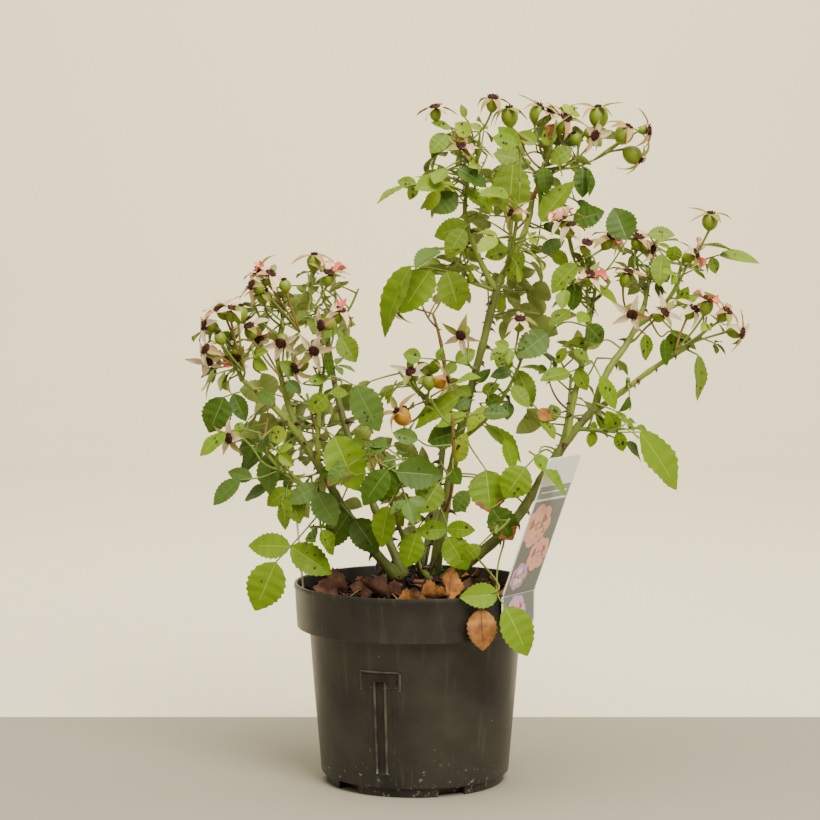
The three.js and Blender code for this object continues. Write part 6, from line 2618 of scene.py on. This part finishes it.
@dataclass(frozen=True)
class Pot:
    """The nursery pot: thin wall, rim band, ribbed panel and notched foot.

    Attributes:
        sides: how many sides it has.
        notches: how many drain notches its foot has.
        notch: their width, depth and height.
        first_notch: heading of the first.
        foot: radius of the foot ring that they cut.
        panel: heading of the front panel; another is opposite.
        wall: heights and radii of the outside of the wall.
        draft: how much the wall faces down.
    """

    sides: int = 160
    notches: int = 5
    notch: tuple[float, float, float] = (25.0, 18.0, 6.5)
    first_notch: float = -66.0
    foot: float = 74.0
    panel: float = -109.5
    wall: tuple[tuple[float, ...], tuple[float, ...]] = ((8.8, 36, 78, 127.6), (78.3, 80.6, 84.2, 87.9))
    draft: float = 0.085

    # Radius and height, from the middle of the underside round the wall to the middle of the floor.
    PROFILE: ClassVar[tuple[tuple[float, float], ...]] = (
        (0, 0.4), (55, 0.4), (58, 0), (73.2, 0), (74, 0.8), (74.3, 7.2), (75.2, 8), (77.6, 8), (78.3, 8.8),
        (80.6, 36), (84.2, 78), (87.9, 127.6), (88.8, 128.8), (97.3, 129), (98.1, 129.8), (99.3, 148), (99.9, 161),
        (100.6, 162), (100.8, 164), (100.4, 165.6), (99.4, 166), (98.2, 165.6), (97.6, 164), (96.4, 132),
        (95.8, 131), (86.4, 130.6), (84.4, 105), (76.4, 10.6), (75.4, 10), (62, 10), (58.6, 3.4), (57.4, 3), (0, 3))

    def build(self) -> None:
        """Builds the pot, cuts its notches and adds the ribs of its panels."""
        mesher = Mesher()
        profile = np.array(self.PROFILE, dtype=float)
        profile[0, 0] = profile[-1, 0] = 0.02
        turns = np.linspace(0, 2 * pi, self.sides, endpoint=False)
        ring = np.stack([np.cos(turns), np.sin(turns), np.zeros(self.sides)], axis=-1)
        points = profile[:, None, 0, None] * ring[None] + profile[:, None, 1, None] * UP
        # The last row of faces joins the profile's end to its start.
        faces = grid_faces(len(profile) + 1, self.sides, closed=True) % (len(profile) * self.sides)
        mesher.add(points.reshape(-1, 3), [faces], Paint.POT, smooth=False)
        shell = mesher.build("pot_shell")
        self.cut_notches(shell)
        shell.data.polygons.foreach_set("use_smooth", np.ones(len(shell.data.polygons), dtype=bool))
        shell.data.set_sharp_from_angle(angle=radians(35))
        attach(shell, "root")
        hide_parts("pot")
        log.info("pot_shell: %d faces for pot", len(shell.data.polygons))
        ribs = Mesher()
        for heading in (self.panel, self.panel + 180):
            self.add_panel(ribs, heading)
        finish_piece(ribs, "pot_ribs", ["pot"], "pot_plastic")

    def cut_notches(self, shell: bpy.types.Object) -> None:
        """Cuts the drain notches out of the foot.

        Args:
            shell: the pot's object.
        """
        cutter = Mesher()
        width, depth, height = self.notch
        near, far = self.foot - depth / 2, self.foot + depth / 2
        for i in range(self.notches):
            turn = radians(self.first_notch + 360 * i / self.notches)
            out, aside = vec(cos(turn), sin(turn), 0), vec(-sin(turn), cos(turn), 0)
            # It starts 3 mm under the foot and narrows upwards.
            corners = [out * a + aside * b + UP * level
                       for level, half in ((-3, width / 2), (height, width / 2 * 0.9))
                       for a, b in ((near, -half), (far, -half), (far, half), (near, half))]
            cutter.add(np.array(corners), [BOX_FACES], Paint.POT, smooth=False)
        tool = cutter.build("notch_tool")
        cut = shell.modifiers.new("notches", "BOOLEAN")
        cut.object, cut.operation, cut.solver = tool, "DIFFERENCE", "EXACT"
        bpy.context.view_layer.update()
        result = bpy.data.meshes.new_from_object(shell.evaluated_get(bpy.context.evaluated_depsgraph_get()))
        shell.modifiers.clear()
        shell.data = result
        bpy.data.objects.remove(tool)

    def on_wall(self, heading: float, height: float) -> tuple[np.ndarray, np.ndarray]:
        """A point on the outside of the wall, and the way that the wall faces there.

        Args:
            heading: the point's heading from the pot's axis.
            height: its height.

        Returns:
            The point and the way.
        """
        radius = float(np.interp(height, *self.wall))
        turn = radians(heading)
        out = vec(cos(turn), sin(turn), 0)
        return out * radius + UP * height, unit(out - UP * self.draft)

    def add_rib(self, mesher: Mesher, ends: tuple, width: float, height: float, finish: Finish) -> None:
        """Adds a straight rib between two places on the wall, each a heading and a height.

        Args:
            mesher: the mesh that gains it.
            ends: the two places.
            width: width of its foot.
            height: how far it stands out.
            finish: its finish.
        """
        (heading, low), (far_heading, high) = ends
        places = [self.on_wall(heading + (far_heading - heading) * t, low + (high - low) * t)
                  for t in np.linspace(0, 1, 13)]
        path = np.array([place for place, _ in places])
        outs = np.array([out for _, out in places])
        mesher.add(*band(path, outs, width, height), finish)

    def add_panel(self, mesher: Mesher, heading: float) -> None:
        """Adds the moulded T-shaped panel: two long ribs under a framed head, and the dark channel in it.

        Args:
            mesher: the mesh that gains it.
            heading: heading of its middle.
        """
        channel_shade, rubbed, black = Paint.POT_CLEAN, Paint.POT_RUBBED, Paint.POT
        # Each rib: its two ends as turns from the heading and heights, its width and height, and its finish.
        ribs = [((0, 19), (0, 96), 11.4, 0.25, channel_shade), ((-10, 98), (10, 98), 13, 0.25, channel_shade)]
        for side in (-1, 1):
            ribs += [((side * 3.0, 20), (side * 3.0, 97), 2.2, 1.7, rubbed),
                     ((side * 7.4, 38), (side * 7.0, 92), 1.2, 0.4, black),
                     ((side * 11.2, 89), (side * 11.2, 104), 2.2, 1.1, rubbed)]
        ribs += [((-11.2, 104), (11.2, 104), 1.8, 1.1, rubbed), ((-11.0, 91), (-3.4, 91), 1.1, 0.4, black),
                 ((3.4, 91), (11.0, 91), 1.1, 0.4, black)]
        for (first, low), (last, high), width, height, finish in ribs:
            self.add_rib(mesher, ((heading + first, low), (heading + last, high)), width, height, finish)


@dataclass(frozen=True)
class FallenLeaf:
    """A dead leaf on the compost.

    Attributes:
        x: where it lies.
        y: where it lies.
        height: how far it is raised over the compost.
        heading: the way to its tip.
        tilt: how far that is tilted up, in degrees.
        roll: how far it is rolled about its length, in degrees.
        length: from base to tip.
        dark: True if it is rotted.
    """

    x: float
    y: float
    height: float
    heading: float
    tilt: float
    roll: float
    length: float
    dark: bool


@dataclass(frozen=True)
class Compost:
    """The compost, with bark chips and dry stalks on it, and the fallen leaves.

    Attributes:
        radius: its radius at the top, up to the wall of the pot.
        skirt: height of its lower edge, which the pot hides.
        chips: how many splinters of bark lie on it.
        stalks: how many dry stalks are tried.
        rings: how many rings of points its top has.
        sides: how many points each ring has.
        rng: seeded numbers.
    """

    radius: float = 97.2
    skirt: float = 138.0
    chips: int = 760
    stalks: int = 46
    rings: int = 44
    sides: int = 128
    rng: np.random.Generator = field(default_factory=lambda: np.random.default_rng(77))

    LEAVES: ClassVar[tuple[FallenLeaf, ...]] = tuple(FallenLeaf(*row) for row in (
        (-20, -66, 3, 172, 16, 40, 30, True),
        (4, -58, 4, -16, 12, -28, 26, False),
        (10, -84, 3, 180, 6, 10, 26, False),
        (58, -30, 3, -75, 10, 14, 29, True),
        (-56, -10, 3, 215, 12, 30, 30, True),
        (38, 46, 3, 60, 6, -10, 29, False),
        (28, -60, 2, 100, 66, 24, 27, False),
        (-44, -42, 2, 20, 26, 50, 24, True),
        (46, -46, 1, 78, 36, -50, 24, True),
        (-62, -46, 2, 160, 12, -40, 24, True),
        (66, -52, 3, 10, 10, 16, 20, False),
        (-70, 22, 3, 120, 6, 16, 26, True),
        (-6, 62, 3, 160, 8, 0, 28, False),
        (-8, -74, 2, 60, 22, 70, 20, True),
        (70, 12, 3, 250, 12, -20, 24, False),
        (-34, 38, 3, 300, 10, 30, 26, True),
        (-10, -36, 1, 200, 6, 18, 28, True),
        (20, -40, 1, -24, 10, -16, 25, True),
        (-30, -24, 1, 160, 8, -22, 26, True),
        (34, -28, 1, 250, 12, 20, 22, False),
    ))

    @staticmethod
    def surface(x: np.ndarray, y: np.ndarray) -> np.ndarray:
        """The height of the compost at some places.

        Args:
            x: their x.
            y: their y.

        Returns:
            The heights.
        """
        place = np.stack([x, y, np.zeros_like(x)], axis=-1)
        return COMPOST_TOP + 1.6 * ripple(place, 26, 4) + 0.9 * ripple(place, 9, 6) - 0.0003 * (x**2 + y**2)

    @classmethod
    def ground(cls, x: float, y: float) -> float:
        """The height of the compost at a place, or of the union where that is higher.

        Args:
            x: its x.
            y: its y.

        Returns:
            The height.
        """
        share = hypot(x - GraftUnion.x, y - GraftUnion.y) / GraftUnion.radius
        return max(float(cls.surface(np.array(x), np.array(y))), float(GraftUnion.dome(np.array(share))))

    def build(self) -> None:
        """Builds the compost with its litter, and the fallen leaves."""
        mesher = Mesher()
        radius = np.linspace(0.3, self.radius, self.rings)
        turns = np.linspace(0, 2 * pi, self.sides, endpoint=False)
        x, y = radius[:, None] * np.cos(turns), radius[:, None] * np.sin(turns)
        top = np.stack([x, y, self.surface(x, y)], axis=-1)
        skirt = top[-1:].copy()
        skirt[..., 2] = self.skirt
        faces = grid_faces(self.rings + 1, self.sides, closed=True)
        mesher.add(np.concatenate([top, skirt]).reshape(-1, 3), [faces], Paint.COMPOST)
        for _ in range(self.chips):
            self.add_chip(mesher)
        for _ in range(self.stalks):
            self.add_stalk(mesher)
        finish_piece(mesher, "compost_top", ["compost"], "compost")
        self.add_leaves()

    def spot(self, within: float) -> tuple[float, float]:
        """A seeded place on the compost.

        Args:
            within: how far from the pot's axis at most.

        Returns:
            Its x and y.
        """
        out, turn = within * sqrt(self.rng.random()), self.rng.uniform(0, 2 * pi)
        return out * cos(turn), out * sin(turn)

    def add_chip(self, mesher: Mesher) -> None:
        """Adds one flat splinter of bark.

        Args:
            mesher: the mesh that gains it.
        """
        rng = self.rng
        x, y = self.spot(93)
        long, wide, thick = rng.uniform(3, 15), rng.uniform(1.5, 6), rng.uniform(0.6, 2.2)
        centre = vec(x, y, self.ground(x, y) + rng.uniform(0.2, 2.0))
        axis = leaning(90 + rng.normal() * 14, rng.uniform(0, 360))
        face = square_to(axis, UP + rng.normal(size=3) * 0.35)
        side = np.cross(axis, face)
        corners = []
        for up in (-1, 1):
            for a, b in ((-1, -1), (1, -0.7), (0.8, 1), (-0.9, 0.8)):
                jitter = rng.normal(size=3) * 0.35
                corners.append(centre + axis * a * long / 2 + side * b * wide / 2 + face * up * thick / 2
                               + jitter)
        finish = (Paint.CHIP_RED, Paint.CHIP_DARK, Paint.CHIP_TAN)[rng.choice([0, 0, 0, 1, 1, 1, 2])]
        mesher.add(np.array(corners), [BOX_FACES], finish, smooth=False)

    def add_stalk(self, mesher: Mesher) -> None:
        """Adds one thin dry stalk.

        Args:
            mesher: the mesh that gains it.
        """
        rng = self.rng
        x, y = self.spot(88)
        start = vec(x, y, float(self.surface(np.array(x), np.array(y))) + 1)
        path = grow_path(start, rng.uniform(10, 30), (rng.uniform(40, 90), rng.uniform(60, 92)),
                         (rng.uniform(0, 360),) * 2, 4)
        path[:, 2] = np.maximum(path[:, 2], COMPOST_TOP + 1)
        if np.hypot(path[:, 0], path[:, 1]).max() < 95:
            mesher.add(*tube(path, np.full(len(path), rng.uniform(0.25, 0.5)), 4),
                       Paint.STRAW if rng.random() < 0.6 else Paint.CHIP_TAN)

    def add_leaves(self) -> None:
        """Adds the fallen leaves, dry and curled."""
        rng = self.rng
        mesher = Mesher()
        leaves = Blades(0.6, 0.85, 0.06)
        for leaf in self.LEAVES:
            axis = leaning(90 - leaf.tilt, leaf.heading)
            level = square_to(axis, UP)
            normal = around(level, np.cross(axis, level), radians(leaf.roll))
            finish = Paint.DRY_DARK if leaf.dark else Paint.DRY
            base = vec(leaf.x, leaf.y, self.ground(leaf.x, leaf.y) + 1 + leaf.height)
            leaves.add(base, axis, normal, leaf.length, leaf.length * 0.64, finish, finish, Paint.DRY_DARK,
                       bend=rng.uniform(-0.7, 0.3), fold=rng.uniform(0.2, 0.4), wave=0.4,
                       cup=rng.uniform(0.4, 0.9), twist=rng.normal() * 0.5)
        leaves.mesh(mesher)
        finish_piece(mesher, "fallen_leaves", [f"fallen_leaf_{i + 1}" for i in range(6)], "dead_leaf")


@dataclass(frozen=True)
class GraftUnion:
    """The knobbly foot of old wood, with a dead stub of thin dark snags.

    Attributes:
        x: x of its middle.
        y: y of its middle.
        radius: its radius.
        rings: how many rings of points it has.
        sides: how many points each ring has.
        stub: middle of the dead stub.
        snags: how many snags the stub has.
    """

    x: float = 6.0
    y: float = 2.0
    radius: float = 38.0
    rings: int = 18
    sides: int = 56
    stub: tuple[float, float, float] = (7.0, -14.0, 166.0)
    snags: int = 17

    @staticmethod
    def dome(share: np.ndarray) -> np.ndarray:
        """The height of the union at shares of its radius.

        Args:
            share: the shares, nought at its middle.

        Returns:
            The heights.
        """
        return 155 + 13.4 * np.clip(1.25 - share**5 * 1.25, 0, 1)

    def build(self) -> None:
        """Builds the union and its stub."""
        mesher = Mesher()
        share = np.linspace(0.01, 1, self.rings)[:, None]
        turns = np.linspace(0, 2 * pi, self.sides, endpoint=False)[None]
        radius = self.radius * share
        x, y = self.x + radius * np.cos(turns), self.y + radius * np.sin(turns)
        flat = np.stack([x, y, np.zeros_like(x)], axis=-1)
        z = self.dome(share) + (1.8 * ripple(flat, 13, 21) + 0.8 * ripple(flat, 5, 22)) * (1 - 0.3 * share)
        faces = grid_faces(self.rings, self.sides, closed=True)
        mesher.add(np.stack([x, y, z], axis=-1).reshape(-1, 3), [faces], Paint.UNION)
        rng = np.random.default_rng(9)
        for i in range(self.snags):
            start = vec(self.stub[0] + rng.normal() * 2.4, self.stub[1] + rng.normal() * 2.4, self.stub[2])
            heading = i * GOLDEN
            length, leans = rng.uniform(14, 36), (rng.uniform(8, 46), rng.uniform(4, 40))
            path = grow_path(start, length, leans, (heading, heading + 20), 4)
            mesher.add(*tube(path, np.linspace(rng.uniform(0.9, 1.6), 0.15, 5), 5), Paint.DEAD_WOOD)
        finish_piece(mesher, "old_wood", ["graft_union"], "old_wood")


# Labels


def plate(outline: np.ndarray, place: Callable[[float, float, float], np.ndarray], out: float,
          thickness: float) -> tuple[np.ndarray, list[np.ndarray]]:
    """A thin flat plate with a convex outline.

    Args:
        outline: its corners, as rows of two lengths on the surface that it lies on.
        place: a function from those two lengths and a height over the surface to a point.
        out: height of its outer face.
        thickness: its thickness.

    Returns:
        The points and the groups of faces.
    """
    count = len(outline)
    middle = outline.mean(axis=0)
    faces = [place(*corner, out) for corner in outline] + [place(*corner, out - thickness) for corner in outline]
    points = np.array(faces + [place(*middle, out), place(*middle, out - thickness)])
    i = np.arange(count)
    after = (i + 1) % count
    front = np.stack([np.full(count, 2 * count), i, after], axis=-1)
    back = np.stack([np.full(count, 2 * count + 1), count + after, count + i], axis=-1)
    edge = np.stack([i, count + i, count + after, after], axis=-1)
    return points, [np.concatenate([front, back]), edge]


def box_outline(left: float, bottom: float, right: float, top: float, corner: float = 0.0) -> np.ndarray:
    """The outline of a box, with rounded corners if corner is more than nought.

    Args:
        left: its left side.
        bottom: its lower side.
        right: its right side.
        top: its upper side.
        corner: radius of its corners.

    Returns:
        Its corners, as rows of two lengths.
    """
    if corner <= 0:
        return np.array([(left, bottom), (right, bottom), (right, top), (left, top)], dtype=float)
    made = []
    for x, y, first in ((right - corner, bottom + corner, -90), (right - corner, top - corner, 0),
                        (left + corner, top - corner, 90), (left + corner, bottom + corner, 180)):
        for step in range(5):
            turn = radians(first + 22.5 * step)
            made.append((x + corner * cos(turn), y + corner * sin(turn)))
    return np.array(made)


@dataclass(frozen=True)
class CardLabel:
    """The plant label: a leaning printed card on a foot that stands against the rim.

    Attributes:
        heading: where it stands round the pot.
        lean: how far the card leans out from upright.
        width: its width.
        card: length of the card above the bend.
        foot: length of the foot below it.
        bend: height of the bend.
        thickness: its thickness.
        reach: how far its inner face is from the pot's axis at the foot.
        margin: width of the plain edge round the print.
        ink: height of one layer of print, far thicker than real ink so that it shows.
    """

    heading: float = -34.0
    lean: float = 21.0
    width: float = 50.0
    card: float = 122.0
    foot: float = 26.0
    bend: float = 164.0
    thickness: float = 0.8
    reach: float = 100.35
    margin: float = 1.4
    ink: float = 0.07

    def place(self, across: float, up: float, out: float) -> np.ndarray:
        """The point at a place on the outer face.

        Args:
            across: how far across it from its middle.
            up: how far up it from the bend.
            out: how far out from it.

        Returns:
            The point.
        """
        lean, turn = radians(self.lean), radians(self.heading)
        reach, height = self.reach + self.thickness + out, self.bend + up
        if up > 0:
            reach = self.reach + self.thickness + up * sin(lean) + out * cos(lean)
            height = self.bend + up * cos(lean) - out * sin(lean)
        return vec(reach * cos(turn) - across * sin(turn), reach * sin(turn) + across * cos(turn), height)

    def build(self) -> None:
        """Builds the card and its print: a pale head, a band, and plain rosettes on a grey field."""
        mesher = Mesher()
        half = self.width / 2
        for outline in (box_outline(-half, 0.01, half, self.card, 3.5),
                        box_outline(-half, -self.foot, half, 0.01)):
            mesher.add(*plate(outline, self.place, 0, self.thickness), Paint.CARD, False)
        left, right = -half + self.margin, half - self.margin
        for low, high, finish in ((-self.foot + 2, -0.2, Paint.CARD_FIELD), (0.2, 84, Paint.CARD_FIELD),
                                  (86, 97, Paint.CARD_BAND)):
            self.print_on(mesher, box_outline(left, low, right, high), 1, finish)
        self.print_on(mesher, box_outline(-half + 5, 91, half - 5, 92.2), 2, Paint.CARD)
        for across, up, size, outer, inner in ((-8, 62, 19, Paint.CARD_PINK, Paint.CARD_PEACH),
                                               (9, 35, 15, Paint.CARD_PEACH, Paint.CARD_PINK),
                                               (-10, 17, 12, Paint.CARD_LILAC, Paint.CARD_BLUSH),
                                               (-3, -13, 13, Paint.CARD_LILAC, Paint.CARD_PINK)):
            self.print_rosette(mesher, across, up, size, outer, inner)
        finish_piece(mesher, "label", ["card_label"], "label_card")

    def print_on(self, mesher: Mesher, outline: np.ndarray, layer: int, finish: Finish) -> None:
        """Adds one flat patch of print.

        Args:
            mesher: the mesh that gains it.
            outline: its corners on the card.
            layer: how many layers of print lie below its face.
            finish: its finish.
        """
        mesher.add(*plate(outline, self.place, self.ink * layer, 0.05), finish, False)

    def print_rosette(self, mesher: Mesher, across: float, up: float, size: float, outer: Finish,
                      inner: Finish) -> None:
        """Adds one rosette of rounded petals in two rings, cut off at the edges of its field.

        Args:
            mesher: the mesh that gains it.
            across: where its middle is across the card.
            up: where it is up the card.
            size: its radius.
            outer: finish of the outer petals.
            inner: finish of the inner ones.
        """
        low, high = (1, 83) if up > 0 else (3 - self.foot, -1)
        for ring, (count, reach, petal, finish) in enumerate(((7, 0.62, 0.42, outer), (5, 0.34, 0.34, inner),
                                                               (1, 0.0, 0.22, Paint.CARD_BLUSH))):
            for i in range(count):
                turn = 2 * pi * i / count + ring * 0.5
                centre = np.array([across + size * reach * cos(turn), up + size * reach * sin(turn)])
                edge = np.linspace(0, 2 * pi, 12, endpoint=False)
                outline = centre + size * petal * np.stack([np.cos(edge), np.sin(edge)], axis=-1)
                limit = self.width / 2 - 2
                outline[:, 0] = np.clip(outline[:, 0], -limit, limit)
                outline[:, 1] = np.clip(outline[:, 1], low, high)
                self.print_on(mesher, outline, 2 + ring + i % 2, finish)


@dataclass(frozen=True)
class SlimTag:
    """The slim white tag that stands in the compost, seen edge on from the front.

    Attributes:
        x: x of its foot.
        y: y of its foot.
        lean: how far it leans to the right from upright.
        height: its height.
        width: its width.
        thickness: its thickness.
    """

    x: float = -92.5
    y: float = -6.0
    lean: float = -5.0
    height: float = 88.0
    width: float = 15.0
    thickness: float = 0.9

    def place(self, across: float, up: float, out: float) -> np.ndarray:
        """The point at a place on the tag.

        Args:
            across: how far across it from its middle.
            up: how far up it from its foot.
            out: how far out from the middle of its thickness.

        Returns:
            The point.
        """
        lean = radians(self.lean)
        return vec(self.x + up * sin(lean) + out * cos(lean), self.y + across,
                   COMPOST_TOP + CLEAR + up * cos(lean) - out * sin(lean))

    def build(self) -> None:
        """Builds the tag."""
        mesher = Mesher()
        half = self.width / 2
        outline = box_outline(-half, 0, half, self.height, 2.5)
        mesher.add(*plate(outline, self.place, self.thickness / 2, self.thickness), Paint.TAG, False)
        finish_piece(mesher, "tag", ["slim_tag"], "tag_plastic")


# Studio


@dataclass(frozen=True)
class SoftLight:
    """A square area light.

    Attributes:
        name: its name.
        place: where it stands, in metres.
        size: its side, in metres.
        power: its power in watts.
        colour: its linear colour.
        target: the point that it looks at, by default the middle of the plant.
    """

    name: str
    place: tuple[float, float, float]
    size: float
    power: float
    colour: tuple[float, float, float]
    target: tuple[float, float, float] = (0.03, 0.0, 0.33)

    def build(self) -> None:
        """Adds the light."""
        data = bpy.data.lights.new(self.name, "AREA")
        data.size, data.energy, data.color = self.size, self.power, self.colour
        light = bpy.data.objects.new(self.name, data)
        light.location = self.place
        way = np.array(self.target) - np.array(self.place)
        flat = hypot(way[0], way[1])
        light.rotation_euler = (atan2(flat, -way[2]), 0, atan2(way[1], way[0]) - pi / 2)
        bpy.context.scene.collection.objects.link(light)


@dataclass(frozen=True)
class Studio:
    """The pale floor and backdrop, the soft lights and the camera.

    Attributes:
        lights: the lights: from the right, a weak fill, from above, and on the backdrop.
        sky: linear colour of the light from all around.
        glow: strength of that.
        half_width: half the width of the floor and the backdrop.
        floor: y and height along the floor.
        backdrop: the same along the backdrop, from the floor's end up its bend.
    """

    lights: tuple[SoftLight, ...] = (
        SoftLight("key", (0.85, -1.8, 1.85), 1.1, 76, (1.0, 0.97, 0.92)),
        SoftLight("fill", (-1.9, -1.5, 1.3), 1.8, 3, (1.0, 0.98, 0.95)),
        SoftLight("top", (0.0, -0.5, 2.3), 1.8, 62, (1.0, 0.96, 0.89)),
        SoftLight("background", (0.0, 1.2, 2.2), 1.8, 48, (1.0, 0.96, 0.89), (0.0, 2.9, 0.8)),
    )
    sky: tuple[float, float, float, float] = (1.0, 0.975, 0.93, 1.0)
    glow: float = 0.47
    half_width: float = 3600.0
    floor: tuple[tuple[float, float], ...] = ((-3400, 0), (250, 0))
    backdrop: tuple[tuple[float, float], ...] = ((250, 0), (2600, 0), (2750, 40), (2840, 130), (2880, 280),
                                                 (2890, 3600))

    def build(self) -> None:
        """Builds the studio."""
        self.add_sweep()
        for light in self.lights:
            light.build()
        world = bpy.data.worlds.new("studio")
        world.use_nodes = True
        around_all = world.node_tree.nodes["Background"].inputs
        around_all["Color"].default_value, around_all["Strength"].default_value = self.sky, self.glow
        bpy.context.scene.world = world
        data = bpy.data.cameras.new("camera")
        data.lens, data.sensor_width = Picture.LENS, Picture.SENSOR
        camera = bpy.data.objects.new("camera", data)
        camera.location = Picture.EYE * MM
        camera.rotation_euler = (radians(90 - Picture.PITCH), 0, 0)
        bpy.context.scene.collection.objects.link(camera)
        bpy.context.scene.camera = camera

    def add_sweep(self) -> None:
        """Adds the floor and the backdrop behind it."""
        for name, finish, profile in (("floor", Paint.FLOOR, self.floor),
                                      ("backdrop", Paint.WALL, self.backdrop)):
            mesher = Mesher()
            points = np.array([[(-self.half_width, y, z), (self.half_width, y, z)] for y, z in profile])
            mesher.add(points.reshape(-1, 3), [grid_faces(len(profile), 2)], finish)
            mesher.build(name)


def main() -> None:
    """Builds everything in order and reports each piece."""
    logging.basicConfig(level=logging.INFO, format="%(message)s")
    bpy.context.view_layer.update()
    Studio().build()
    Pot().build()
    Compost().build()
    GraftUnion().build()
    CardLabel().build()
    SlimTag().build()
    bush = Bush()
    leaves = sum(len(plan.leaves) for plan in bush.plans)
    hips = sum(len(plan.hips) for plan in bush.plans)
    log.info("the bush has %d leaves and %d hips", leaves, hips)
    Canes(list(bush.limbs.values())).build()
    seen = SeenGrowth(bush)
    for region in Region:
        Foliage(region, bush.plans, seen).build()


if __name__ == "__main__":
    main()
